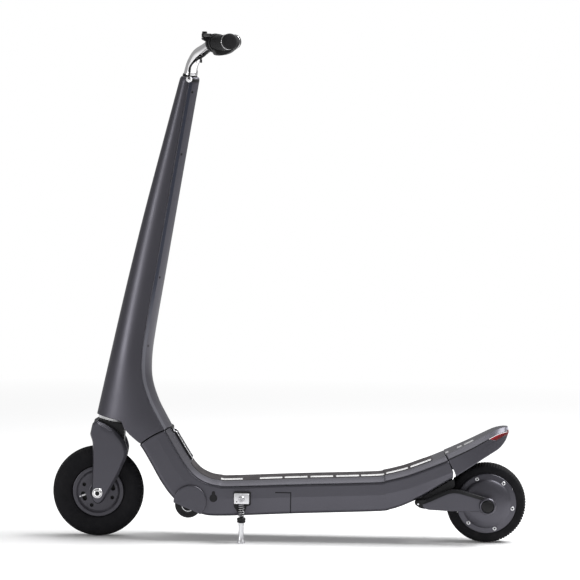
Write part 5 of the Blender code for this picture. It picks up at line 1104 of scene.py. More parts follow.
@dataclass
class Mast:
    """The tapered mast: a nose-shaped front shell and a crowned rear cover with a slanted band beside it."""

    top: float = 0.762
    rim: float = 0.005
    round_from: float = 0.004
    band_back: float = 0.023
    band_depth: float = 0.009
    seam_gap: float = 0.0008
    seam_lip: float = 0.002
    nose_power: float = 2.3
    wall: float = 0.0026
    tilt: float = 0.12
    bore: float = 0.0141
    screw_heights: Sequence[float] = (0.735, 0.598, 0.325, 0.173)
    front: Pairs = mm((-62, 35), (250, 34.7), (440, 32), (620, 26), (762, 20.6))
    rear: Pairs = mm(
        (-62, 202), (-25, 167), (3, 140), (30, 116), (60, 91.5), (100, 68.5), (140, 57.5), (190, 51.5),
        (360, 42.5), (540, 33.3), (762, 22.2))
    half_w: Pairs = mm(
        (-62, 68), (0, 65), (60, 58.5), (120, 53), (210, 46), (320, 39.5), (460, 33), (600, 28.5),
        (762, 24.8))
    underside: Pairs = mm((0, 25), (-11.2, 28.3), (-23.2, 44.9))

    def shrink(self, s: Array) -> Array:
        """Return the section's share of its size: a quarter round draws it in at the rounded top."""
        over = np.clip((s - (self.top - self.round_from)) / (self.rim + self.round_from), 0, 1)
        return 1 - 0.16 * (1 - np.sqrt(1 - 0.98 * over**2))

    def lift(self, s: Array, q: Array) -> Array:
        """Return the height with the rear raised near the top, so that the top is level."""
        return s + self.tilt * q * np.clip((s - self.top + 0.04) / 0.04, 0, 1)

    def shell_point(self, s: Array, v: Array) -> Array:
        """Return the front shell's point at height s and v across, -1 at the left edge to 1 at the right.

        The nose is a superellipse: its reach goes with a power of the cosine and its width with the same
        power of the sine.
        """
        low = np.minimum(s, self.top)
        front, rear, half = (smooth_pairs(size, low) for size in (self.front, self.rear, self.half_w))
        edge = rear - self.band_back
        turn = np.minimum(np.abs(v) / 0.95, 1) * math.pi / 2
        lip = np.clip((np.abs(v) - 0.95) / 0.05, 0, 1) * self.seam_lip
        power = 2 / self.nose_power
        q = edge - self.seam_lip - (edge - self.seam_lip + front) * np.cos(turn) ** power + lip
        y = half * np.sin(turn) ** power * np.sign(v)
        return steer_points(self.lift(s, q), q * self.shrink(s), y * self.shrink(s))

    def cover_point(self, s: Array, v: Array) -> Array:
        """Return the rear cover's point at height s and v across.

        From the seam a short lip runs back, a slanted band runs in to the shoulder, and a parabola crowns
        the rear.
        """
        low = np.minimum(s, self.top)
        rear, half = smooth_pairs(self.rear, low), smooth_pairs(self.half_w, low)
        edge = rear - self.band_back
        band_half = half - self.band_depth * (0.9 + np.maximum(0, half - 0.04) / 0.03)
        shoulder = edge + self.band_depth
        a = np.abs(v)
        lip = np.clip((1 - a) / 0.06, 0, 1)
        slant = np.clip((0.94 - a) / 0.22, 0, 1)
        across = np.clip(a / 0.72, 0, 1)
        q = edge + self.seam_gap + self.seam_lip * lip
        q = q + (shoulder - edge - self.seam_gap - self.seam_lip) * slant
        y = half + (band_half - half) * slant
        crown = a < 0.72
        q = np.where(crown, rear - (rear - shoulder) * across**2, q)
        y = np.where(crown, band_half * across, y) * np.sign(v)
        return steer_points(self.lift(s, q), q * self.shrink(s), y * self.shrink(s))

    def gone(self, points: Array) -> Array:
        """Tell which points lie below the mast's foot: its flat front, its underside and the parting arc."""
        outline = [np.array([steer_point(0.0, -0.12)[i] for i in (0, 2)])]
        outline += [np.array([steer_point(s, q)[i] for i in (0, 2)]) for s, q in self.underside]
        outline += list(arc(*TROLLEY, PARTING_R + PARTING_HALF_GAP, 132.0, 90.0, 40))
        outline += [np.array(p) for p in ((0.0, 0.25), (0.0, -0.05), (-0.55, -0.05))]
        return inside(points, np.array(outline))

    def grid(self, surface: Callable, across: Array, low: float, rows: int) -> Array:
        """Return a skin's grid from its trimmed foot to the rounded top."""
        foot = edge_of(surface, across, low, 0.13, self.gone)
        u = np.linspace(0, 1, rows)[:, None] ** 1.35
        s = foot + (self.top - 0.006 - foot) * u
        cap = np.linspace(self.top - 0.005, self.top + self.rim, 8)[:, None] * np.ones(len(across))
        s = np.concatenate([s, cap])
        return surface(s, np.repeat(across[None], len(s), 0))

    def build(self) -> None:
        """Build the skins, the cap, the screws and the cable grommet."""
        nose = mirrored(np.concatenate([np.linspace(0, 0.95, 44), [0.975, 1.0]]))
        shell = self.grid(self.shell_point, nose, -0.05, 110)
        dress(skin("mast_front_shell", shell, self.wall), PAINT, Body.MAST, "mast_shell")
        rear = mirrored(np.concatenate([np.linspace(0, 0.715, 20),
                                        [0.72, 0.725, 0.83, 0.935, 0.94, 0.945, 0.97, 1.0]]))
        cover = self.grid(self.cover_point, rear, -0.06, 110)
        piece = dress(skin("mast_back_cover", cover, self.wall, 24.0), PAINT, Body.MAST, "mast_rear_cover")
        # The slanted band takes the band's paint, which carries a painted dark reflection and a painted
        # highlight.
        piece.data.materials.append(BAND_PAINTED_LIGHT.build())
        middle = np.abs(rear[:-1] + rear[1:]) / 2
        mark_columns(piece, (middle > 0.72) & (middle < 0.94))
        self.build_cap()
        self.build_screws()
        self.build_grommet()

    def build_cap(self) -> None:
        """Build the black cap inside the rim: rings from the section's outline in to the steering tube."""
        turn = np.linspace(0, 2 * math.pi, 72, endpoint=False)
        s_top = self.top - 0.0015
        sizes = (self.front, self.rear, self.half_w)
        front, rear, half = (float(smooth_pairs(size, np.array([self.top]))[0]) for size in sizes)
        middle, reach = (rear - front) / 2, (rear + front) / 2
        rings = []
        for share, lift in ((0.93, -0.004), (0.93, 0.0), (0.91, 0.0018), (0.8, 0.0026), (0.0, 0.0034),
                            (0.0, -0.004)):
            q = (middle + reach * np.cos(turn)) * share + self.bore * np.cos(turn) * (1 - share)
            y = half * np.sin(turn) * share + self.bore * np.sin(turn) * (1 - share)
            rings.append(steer_points(s_top + lift + self.tilt * q, q, y))
        cap = closed_grid("mast_top_cap", np.stack(rings), True, 30.0)
        dress(cap, BLACK, Body.MAST, "mast_cap")

    def build_screws(self) -> None:
        """Build the four small sunk screws down each side of the rear cover."""
        heads = []
        for side in (-1.0, 1.0):
            for s in self.screw_heights:
                point, ahead, across = self.cover_frame(s, side * 0.62)
                normal = ahead.cross(across).normalized() * side
                profile = rounded_mm(((0, 0.1), (1.4, 0.1), (1.4, 0.5), (2.4, 0.5, 0.3), (2.8, 0.2),
                                      (2.8, -2), (0, -2)))
                heads.append(turned("screw", profile, 14, along_place(point - normal * 0.0001, normal)))
        dress(merged("mast_cover_screws", heads), BLACK, Body.MAST)

    def cover_frame(self, s: float, v: float) -> tuple[Vector, Vector, Vector]:
        """Return a point of the rear cover and its directions up and across."""
        a, b, c = (Vector(p) for p in self.cover_point(np.array([s, s + 0.001, s]),
                                                       np.array([v, v, v + 0.01])))
        return a, b - a, c - a

    def build_grommet(self) -> None:
        """Build the white cable grommet on the left shoulder: a domed disc with a sunk throat."""
        centre = steer_point(self.top - 0.0005, 0.0, -0.0252)
        outward = Vector((0.15, -0.92, 0.35))
        profile = rounded_mm(((0, 1.2), (2.6, 1.2, 0.4), (3.2, 3.4, 0.6), (5, 3.4, 0.8), (6.8, 1.2, 0.8),
                              (6.6, -1.2), (0, -1.2)))
        dress(turned("cable_throat", profile, 40, along_place(centre, outward)), WHITE, Body.MAST,
              "cable_grommet")


@dataclass
class Deck:
    """The deck and neck: a tub with creased sides and a crowned cover, cut at the fold and at the tail."""

    wall: float = 0.0026
    top_half: float = 0.05
    crease: float = 0.038
    taper: float = 0.006
    corner: float = 0.01
    seam_gap: float = 0.0014
    seam_lip: float = 0.0016
    bars: tuple[tuple[float, float], ...] = mm(
        (-151, -103.5), (-65.5, -16.5), (-11, 38.5), (45.5, 95), (102, 152), (157, 207), (212, 259),
        (265, 309.5))
    hinge: tuple[float, float] = (-0.2635, 0.2402)
    hinge_half: float = 0.035
    mat_ends: tuple[float, float] = (3.12, 12.75)
    mat_half: float = 0.0438
    mat_rib_pitch: float = 0.006
    lever_ends: tuple[float, float] = (1.3, 3.0)
    lever_half: float = 0.0208
    cheek_ends: tuple[float, float] = (0.96, 3.08)
    cheek_y: float = 0.0226
    stations: Sequence[Sequence[float]] = mm(
        (-358.5, 238, -268.5, 262, 67.5, 16.5, 9), (-328.5, 207, -254.5, 237, 68, 16, 9),
        (-305.5, 170, -235.5, 205, 69, 16, 8.5), (-282.5, 130, -216.5, 175, 70, 15.5, 7),
        (-260.5, 100, -196.5, 152, 71, 15, 4.5), (-231.5, 74, -174.5, 138.5, 71.5, 13.5, 2),
        (-194.5, 60, -152.5, 133, 72, 12, 0), (-147.5, 56, -126.5, 132, 72, 11.5, 0),
        (16.5, 63.5, 16.5, 139, 72, 11.5, 0), (189.5, 71, 183.5, 146, 72, 11.5, 0),
        (222.5, 76, 210.5, 150.5, 71.5, 11.5, 0), (255.5, 88, 235.5, 156.5, 71, 11.5, 0),
        (290.5, 106, 263.5, 165, 70, 11.5, 0), (352.5, 144, 327.5, 190, 68, 11.5, 0),
        (383.5, 161, 358.5, 205, 67, 11.5, 0))
    gap_shade: Pairs = mm(
        (275, 96.8), (290.5, 104.3), (320, 121.8), (352.5, 142), (360, 146.2), (362, 130), (349, 118),
        (300, 95), (279, 88.5), (273.5, 92.5))
    end: Pairs = mm((327, 240), (328, 196), (340, 195.5), (349.5, 178.5), (357.5, 161), (356, 120))

    def row(self, t: Array) -> Array:
        """Return the smoothed station numbers at t."""
        return smooth_rows(self.stations, t)

    def point(self, t: Array, u: Array, y: Array) -> Array:
        """Return the point u up from the belly towards the top, at y."""
        r = self.row(t)
        rise = np.stack([r[..., 2] - r[..., 0], r[..., 3] - r[..., 1]], -1)
        share = u / np.linalg.norm(rise, axis=-1)
        return np.stack([r[..., 0] + rise[..., 0] * share, y, r[..., 1] + rise[..., 1] * share], -1)

    def height(self, t: Array) -> Array:
        """Return the section's height at t."""
        r = self.row(t)
        return np.hypot(r[..., 2] - r[..., 0], r[..., 3] - r[..., 1])

    def top_at(self, t: Array, y: Array) -> Array:
        """Return the crowned top's height at t and y: the section's height less a parabola across."""
        return self.height(t) - self.row(t)[..., 6] * (y / self.top_half) ** 2

    def tub_point(self, t: Array, v: Array) -> Array:
        """Return the tub's point at t and v across.

        A flat belly, a quarter round, a side that leans out to the crease, and a plumb side up to the seam.
        """
        r, height, a = self.row(t), self.height(t), np.abs(v)
        half, drop = r[..., 4], r[..., 5]
        grown = np.minimum(1, np.maximum(0.25, (t - 6.5) / 1.5))
        taper = self.taper * grown * (1 - 0.75 * np.clip((t - 10) / 2, 0, 1))
        low = half - taper
        turn = np.clip((a - 0.3) / 0.16, 0, 1) * math.pi / 2
        u = self.corner * (1 - np.cos(turn))
        y = np.where(a < 0.3, (low - self.corner) * a / 0.3, low - self.corner * (1 - np.sin(turn)))
        lean = np.clip((a - 0.46) / 0.3, 0, 1)
        u = u + (height - self.crease - self.corner) * lean
        y = y + taper * lean
        u = u + (self.crease - drop) * np.clip((a - 0.76) / 0.24, 0, 1)
        return self.point(t, u, y * np.sign(v))

    def cover_point(self, t: Array, v: Array) -> Array:
        """Return the cover's point at t and v across: lip, slanted shoulder and a parabola over the top."""
        r, height, a = self.row(t), self.height(t), np.abs(v)
        half, drop, sag = r[..., 4], r[..., 5], r[..., 6]
        seam = height - drop + self.seam_gap
        lip = np.clip((1 - a) / 0.08, 0, 1)
        slant = np.clip((0.92 - a) / 0.27, 0, 1)
        soft = slant + 0.04 * np.sin(math.pi * slant)
        u = seam + self.seam_lip * lip + (height - sag - seam - self.seam_lip) * soft
        y = half + (self.top_half - half) * slant
        across = np.clip(a / 0.65, 0, 1)
        crown = a < 0.65
        u = np.where(crown, height - sag * across**2, u)
        y = np.where(crown, self.top_half * across, y)
        return self.point(t, u, y * np.sign(v))

    def front_gone(self, points: Array) -> Array:
        """Tell which points lie ahead of the parting arc."""
        parting = arc(*TROLLEY, PARTING_R - PARTING_HALF_GAP, 150.0, 80.0, 60)
        outline = np.concatenate([parting, [[-0.1, 0.4], [-0.5, 0.4], [-0.5, 0.1]]])
        return inside(points, outline)

    def cover_gone(self, points: Array) -> Array:
        """Tell which points of the cover lie ahead of the arc or in the hinge's window."""
        x, z = self.hinge
        window = np.array([(x, z)]) + np.array(mm((-8.5, -3), (3.5, -9.5), (20, 1), (6, 26), (-30, 20)))
        in_window = inside(points, window) & (np.abs(points[..., 1]) < self.hinge_half)
        return self.front_gone(points) | in_window

    def rear_gone(self, points: Array) -> Array:
        """Tell which points lie behind the deck's stepped end."""
        outline = np.concatenate([np.array(self.end), [[0.6, 0.12], [0.6, 0.24]]])
        return inside(points, outline)

    def grid(self, surface: Callable, across: Array, front_gone: Callable, rows: int) -> Array:
        """Return a skin's grid between its trimmed front and rear ends, closer where the neck bends."""
        start = edge_of(surface, across, 0.0, 4.0, front_gone)
        stop = edge_of(surface, across, 14.0, 12.0, self.rear_gone)
        base = np.interp(np.linspace(0, 1, rows), [0, 0.45, 0.55, 0.65, 0.72, 1.0],
                         [0.0, 0.42, 0.56, 0.66, 0.8, 1.0])
        t = start + (stop - start) * base[:, None]
        return surface(t, np.repeat(across[None], rows, 0))

    def build(self) -> None:
        """Build the skins, the mat, the port's plug, the fold lever and the painted shade sheets over the
        arm.
        """
        side = np.concatenate([np.linspace(0, 0.29, 6), [0.3], np.linspace(0.32, 0.46, 8),
                               np.linspace(0.5, 0.74, 6),
                               [0.755, 0.76, 0.765], np.linspace(0.8, 1.0, 6)])
        panels = SatinPaint(name="satin_paint_deck", panel_lines=True)
        tub = self.grid(self.tub_point, mirrored(side), self.front_gone, 190)
        dress(skin("deck_lower_shell", tub, self.wall, 30.0), panels, Body.DECK, "deck_tub")
        notch = self.hinge_half / self.top_half * 0.65
        top = np.concatenate([np.linspace(0, 0.44, 14), [notch - 0.0004, notch + 0.0004],
                              np.linspace(0.47, 0.64, 7), [0.65, 0.66],
                              np.linspace(0.7, 0.9, 7), [0.915, 0.92, 0.925, 0.96, 1.0]])
        cover = self.grid(self.cover_point, mirrored(top), self.cover_gone, 190)
        dress(skin("deck_top_cover", cover, self.wall, 24.0), PAINT, Body.DECK, "deck_cover")
        self.build_mat()
        self.build_port()
        self.build_lever()
        self.build_shade_sheets()

    def build_lever(self) -> None:
        """Build the fold lever, a dark crowned strip down the neck, between two cheeks with bright edges."""
        share = np.linspace(0, 1, 50)
        t = np.linspace(*self.lever_ends, 50)[:, None]
        y = np.linspace(-self.lever_half, self.lever_half, 25)[None]
        hump = np.clip(np.sin(share * math.pi) * 5, 0, 1)[:, None]
        rise = 0.0034 * hump * (1 - 0.1 * (y / self.lever_half) ** 4)
        top = self.top_at(t, y) + rise
        strip = skin("strip", self.point(t * np.ones(y.shape), top, y * np.ones(t.shape)), 0.0022, 40.0)
        dress(merged("fold_lever_strip", [strip]), BLACK, Body.LATCH, "latch_lever")
        run = np.linspace(*self.cheek_ends, 50)
        hump = np.clip(np.sin(share * math.pi) * 5, 0.1, 1)
        cheeks, rails = [], []
        for side in (-1.0, 1.0):
            y_cheek = np.full(50, side * self.cheek_y)
            base = self.top_at(run, y_cheek)
            rows = [self.point(run, base + lift * hump, y_cheek) for lift in (-0.001, 0.0042)]
            cheeks.append(skin("cheek", np.stack(rows, 1), 0.0014, 40.0))
            for lift in (0.0002, 0.0042):
                path = self.point(run, base + lift * hump, y_cheek)
                rails.append(swept("rail", path, circle(0.001, 12), (0.0, 1.0, 0.0)))
        dress(merged("fold_lever_cheeks", cheeks), BLACK, Body.DECK)
        dress(merged("fold_lever_rails", rails), SILVER, Body.DECK)

    def build_shade_sheets(self) -> None:
        """Build thin black sheets of painted shade between the belly and the swing arm, inside the arm's
        plates.
        """
        rim = even(rounded_loop(self.gap_shade, 0.002, 3), 90)
        # Painted shade: thin black sheets fill the gap between the belly and the arm.
        parts = [slab("gap_shade", rim, side * 0.0573, side * 0.0567, 0.0002, 0.0001) for side in (-1.0, 1.0)]
        dress(merged("arm_gap_painted_shade", parts), RUBBER, Body.DECK)

    def build_mat(self) -> None:
        """Build the standing mat, with lengthways ribs worked into its top.

        The ribs follow the sine of the distance across, cut off above and below.
        """
        first, last = self.mat_ends
        t = np.linspace(first, last, 300)
        across = np.linspace(-self.mat_half, self.mat_half, 150) / self.mat_half
        half = self.mat_half * (0.86 + 0.14 * np.sqrt(np.clip(np.minimum(t - first, last - t) / 0.25, 0, 1)))
        grid_t, grid_y = t[:, None] * np.ones(150), half[:, None] * across[None]
        ribs = 0.00045 * np.clip(np.sin(grid_y * 2 * math.pi / self.mat_rib_pitch) * 2.2, -1, 1)
        fall = np.clip((1 - np.abs(across)) / 0.02, 0, 1)[None]
        u = self.top_at(grid_t, grid_y) + 0.0003 + (0.0008 + ribs * 0.6) * fall
        piece = skin("deck_grip_mat", self.point(grid_t, u, grid_y), 0.0006, 60.0)
        dress(piece, MatRubber(bars=self.bars), Body.DECK, "grip_mat")

    def build_port(self) -> None:
        """Build the rubber plug of the charge port: a round button with a finger tab above it."""
        x, z, r = -0.1665, 0.096, 0.0085
        outline = np.concatenate([arc(x, z, r, 114.0, 426.0, 60),
                                  arc(x, 0.1115 - 0.0035, 0.0035, 20.0, 160.0, 16)])
        plug = slab("charge_port_plug", outline, -0.0738, -0.0716, 0.001)
        dress(plug, RUBBER, Body.DECK, "charge_port_cap")


@dataclass
class Tail:
    """The raised tail over the rear wheel, which works as a foot brake, with its lamp."""

    wall: float = 0.0026
    top_share: float = 0.7
    seam_drop: float = 0.0115
    stations: Sequence[Sequence[float]] = mm(
        (320, 188, 348, 141.5, 68), (346.5, 200, 368, 154.8, 67.2), (373.5, 212.5, 392, 170.5, 64.5),
        (399, 225, 415, 185.3, 59), (424.5, 238.5, 437, 199, 51), (448, 250.5, 458, 212, 41),
        (466.5, 256, 472, 228, 29), (478, 257, 480, 246, 15))
    start: Pairs = mm((328.5, 240), (329.5, 197.5), (341.5, 197), (351.2, 179), (360.5, 161), (374, 120))
    lens: Pairs = mm((433.5, 233), (451.5, 229.5), (465, 237), (495, 246.5), (495, 256), (470, 256))

    def point(self, t: Array, v: Array) -> Array:
        """Return the tail's point at t and v across: side, lip, slanted shoulder and flat top."""
        r = smooth_rows(self.stations, t)
        rise = np.stack([r[..., 0] - r[..., 2], r[..., 1] - r[..., 3]], -1)
        height = np.linalg.norm(rise, axis=-1)
        half, a = r[..., 4], np.abs(v)
        drop = np.minimum(self.seam_drop, height * 0.6)
        top_half = np.minimum(0.05, half * self.top_share)
        up = np.clip((1 - a) / 0.3, 0, 1)
        lip = np.clip((0.7 - a) / 0.06, 0, 1)
        slant = np.clip((0.64 - a) / 0.2, 0, 1)
        u = (height - drop) * up + 0.002 * lip + (drop - 0.002) * slant
        y = half + (top_half - half) * slant
        y = np.where(a < 0.44, top_half * a / 0.44, y) * np.sign(v)
        share = u / height
        return np.stack([r[..., 2] + rise[..., 0] * share, y, r[..., 3] + rise[..., 1] * share], -1)

    def gone(self, points: Array) -> Array:
        """Tell which points lie ahead of the tail's start."""
        outline = np.concatenate([np.array(self.start), [[0.2, 0.12], [0.2, 0.24]]])
        return inside(points, outline)

    def in_lamp(self, points: Array, share: float) -> Array:
        """Tell which points lie within the lamp's side view outline, drawn to a share of its size."""
        outline = np.array(self.lens)
        middle = outline.mean(0)
        return inside(points, middle + (outline - middle) * share)

    def part(self, name: str, across: Array, first: Array, last: Array, wall: float) -> Piece:
        """Return a skin over some lines of the surface, from one position along to another on each line."""
        t = first + (last - first) * np.linspace(0, 1, 90)[:, None]
        return skin(name, self.point(t, np.repeat(across[None], 90, 0)), wall, 26.0)

    def build(self) -> None:
        """Build the top, the sides up to the lamp, the dark seam, the lamp and a white painted highlight over
        it.
        """
        top = mirrored(np.concatenate([np.linspace(0, 0.43, 12), [0.44, 0.45], np.linspace(0.48, 0.62, 6),
                                       [0.64]]))
        paint = SatinPaint(name="satin_paint_tail", bars=((0.341, 0.348), (0.367, 0.377), (0.382, 0.402)))
        shells, seams, edge_highlights, rings = [], [], [], []
        first = edge_of(self.point, top, 0.0, 2.0, self.gone)
        shells.append(self.part("top", top, first, np.full(len(top), 7.0), self.wall))
        for side in (-1.0, 1.0):
            across = side * np.concatenate([[0.7, 0.705], np.linspace(0.74, 1.0, 12)])
            strip = side * np.array([0.645, 0.67, 0.695])
            white = side * np.array([0.646, 0.657, 0.668])
            for lines, pieces, wall in ((across, shells, self.wall), (strip, seams, 0.0016)):
                first = edge_of(self.point, lines, 0.0, 2.0, self.gone)
                last = edge_of(self.point, lines, 7.0, 3.0, lambda points: self.in_lamp(points, 1.0))
                pieces.append(self.part("side", lines, first, last, wall))
            # Painted highlight: a thin white strip along the lens's upper edge.
            first = edge_of(self.point, white, 7.0, 3.0, lambda points: self.in_lamp(points, 0.985))
            edge_highlights.append(self.part("edge_highlight", white, first, np.full(3, 6.55), 0.0016))
            rings.append(across)
        dress(merged("tail_shell", shells), paint, Body.TAIL, "tail_fender")
        dress(merged("tail_seam_strips", seams), BLACK, Body.TAIL)
        dress(merged("lamp_edge_painted_highlights", edge_highlights), WHITE, Body.TAIL)
        across = np.concatenate([rings[0][::-1], [-0.673, 0.673], rings[1]])
        first = edge_of(self.point, across, 7.0, 3.0, lambda points: self.in_lamp(points, 0.97))
        t = first + (7.0 - first) * np.linspace(0, 1, 40)[:, None]
        lamp = closed_grid("tail_lamp_lens", self.point(t, np.repeat(across[None], 40, 0)), False, 26.0)
        dress(lamp, LENS, Body.TAIL, "tail_lamp")


@dataclass
class FrontWheel:
    """The pneumatic front wheel with its cast black rim."""

    radius: float = 0.1
    half_w: float = 0.025
    cuts: int = 64
    cut_depth: float = 0.0013
    rim_half: float = 0.019
    web_y: float = 0.016
    bolt_angles: Sequence[float] = (155.0, 246.0, 336.0, 65.0)
    bolt_circle: float = 0.034
    slot_angles: Sequence[float] = (200.0, 20.0)
    slot_circle: float = 0.033

    def build(self) -> None:
        """Build the tyre, the rim, its bolts and the valve."""
        self.build_tyre()
        self.build_rim()

    def build_tyre(self) -> None:
        """Build the tyre: a rounded section, two grooves round the tread and slanted shoulder cuts."""
        r, w = self.radius, self.half_w
        bead = mm((50.3, 15.6), (55.8, 16), (57.5, 19.2), (60, 21.2))
        flank = smooth_path([*bead, (0.068, w - 0.0015), (0.08, w), (0.09, w - 0.003),
                             (0.0955, w - 0.0062)], 5)
        crown_y = np.linspace(w - 0.0066, -(w - 0.0066), 61)
        crown_r = r - 0.0042 * (np.abs(crown_y) / (w - 0.0066)) ** 2.2
        groove = sum(np.exp(-((crown_y - c) / 0.0011) ** 2) for c in (-0.007, 0.007))
        crown = np.stack([crown_r - 0.0016 * groove, crown_y], 1)
        back = flank[::-1] * np.array([1, -1])
        profile = np.concatenate([flank[:-1], crown, back[1:]])
        radius, height = profile.T

        def cuts(position: Array, angle: Array) -> Array:
            """Sink slanted cuts into the shoulders: the sine of the turn plus a slant, cut off low."""
            y = height[position]
            shoulder = np.clip((np.abs(y) - 0.009) / 0.0015, 0, 1)
            shoulder = shoulder * np.clip((radius[position] - 0.09) / 0.002, 0, 1)
            wave = np.sin(angle * self.cuts + np.abs(y) * 420)
            return -self.cut_depth * shoulder * np.clip((wave - 0.45) * 4, 0, 1)

        piece = turned("front_tyre_rubber", profile, 512, axle_place(*FRONT_AXLE), True, 60.0, cuts)
        finish = TyreRubber(name="front_tyre_rubber", axle=FRONT_AXLE, tread_from=0.093)
        dress(piece, finish, Body.FRONT_WHEEL, "front_tyre")

    def build_rim(self) -> None:
        """Build the rim: a dished disc with four holes and two slots a side, a step and a rolled flange."""
        w, web = self.rim_half, self.web_y
        half = rounded(((0.0054, 0.033), (0.0125, 0.033), (0.0145, 0.031), (0.0175, web + 0.0015),
                        (0.02, web), (0.0425, web), (0.0445, web + 0.0008),
                        (0.0465, w - 0.0012), (0.048, w), (0.0545, w), (0.056, w - 0.001),
                        (0.0558, w - 0.003), (0.05, w - 0.0036)),
                       (0, 0.0005, 0.001, 0.002, 0.001, 0.001, 0.001, 0.001, 0.001, 0.001, 0.0005, 0.001,
                        0), 3)
        profile = np.concatenate([half, half[::-1] * np.array([1, -1])])
        rim = turned("front_rim_disc", profile, 128, axle_place(*FRONT_AXLE), True, 28.0)
        bore = mm((0, 6), (4.2, 6), (4.2, 30), (0, 30))
        tools = [turned("hole", bore, 28, place) for place in self.bolt_places()]
        slot_shade_sheets = []
        for degrees in self.slot_angles:
            for side in (-1.0, 1.0):
                tools.append(self.slot_form(degrees, side * 0.0062, side * 0.03, 1.0))
                # Painted shade: a thin black sheet at the floor of each slot pocket stands for the dark seen
                # through the slot.
                slot_shade_sheets.append(self.slot_form(degrees, side * 0.0058, side * 0.007, 0.98))
        drilled(rim, tools)
        paint = SatinPaint(name="rim_paint", slot="black", colour=(0.07, 0.068, 0.08),
                           dark=(0.058, 0.056, 0.066))
        dress(rim, paint, Body.FRONT_WHEEL, "front_rim")
        dress(merged("rim_slot_painted_shade", slot_shade_sheets), BLACK, Body.FRONT_WHEEL)
        self.build_bolts()

    def bolt_places(self) -> list[Matrix]:
        """Return the placements of the bolts and their holes, on both sides at each angle."""
        spots = [arc(*FRONT_AXLE, self.bolt_circle, degrees, degrees, 1)[0] for degrees in self.bolt_angles]
        return [axle_place(x, z, 0.0, side) for x, z in spots for side in (-1.0, 1.0)]

    def slot_form(self, degrees: float, y_first: float, y_last: float, share: float) -> Piece:
        """Return a rounded bar between two depths, square to a spoke, at a share of the slot's size."""
        angle = math.radians(degrees)
        spoke = np.array([math.cos(angle), math.sin(angle)])
        across = np.array([-math.sin(angle), math.cos(angle)])
        centre = np.array(FRONT_AXLE) + self.slot_circle * spoke
        ends = arc(0, 0, 0.0048, -90, 90, 9) + np.array([0.0057, 0])
        outline = np.concatenate([ends, -ends])
        flat = centre + (outline[:, :1] * across + outline[:, 1:] * spoke) * share
        return closed_grid("slot", side_rings([(flat, y_first), (flat, y_last)]), False)

    def build_bolts(self) -> None:
        """Build the socket screws sunk in the holes and the bright valve in the front slot."""
        profile = mm((0, 8.5), (1.6, 8.5), (1.6, 10), (3.4, 10), (3.8, 9.6), (4, 6.2), (0, 6.2))
        heads = [turned("bolt", profile, 20, place) for place in self.bolt_places()]
        dress(merged("rim_bolts", heads), BLACK, Body.FRONT_WHEEL)
        angle = math.radians(self.slot_angles[0])
        spoke = Vector((math.cos(angle), 0.0, math.sin(angle)))
        across = Vector((-math.sin(angle), 0.0, math.cos(angle)))
        start = Vector((FRONT_AXLE[0], -0.013, FRONT_AXLE[1])) + spoke * 0.0232 - across * 0.0022
        profile = rounded_mm(((0, 0), (2, 0, 0.5), (2, 6, 0.3), (2.6, 6.5, 0.3), (2.6, 16, 0.3),
                              (3.4, 16.5, 0.3), (3.4, 20, 0.5), (0, 20)))
        dress(turned("valve_stem", profile, 24, along_place(start, spoke)), SILVER, Body.FRONT_WHEEL)


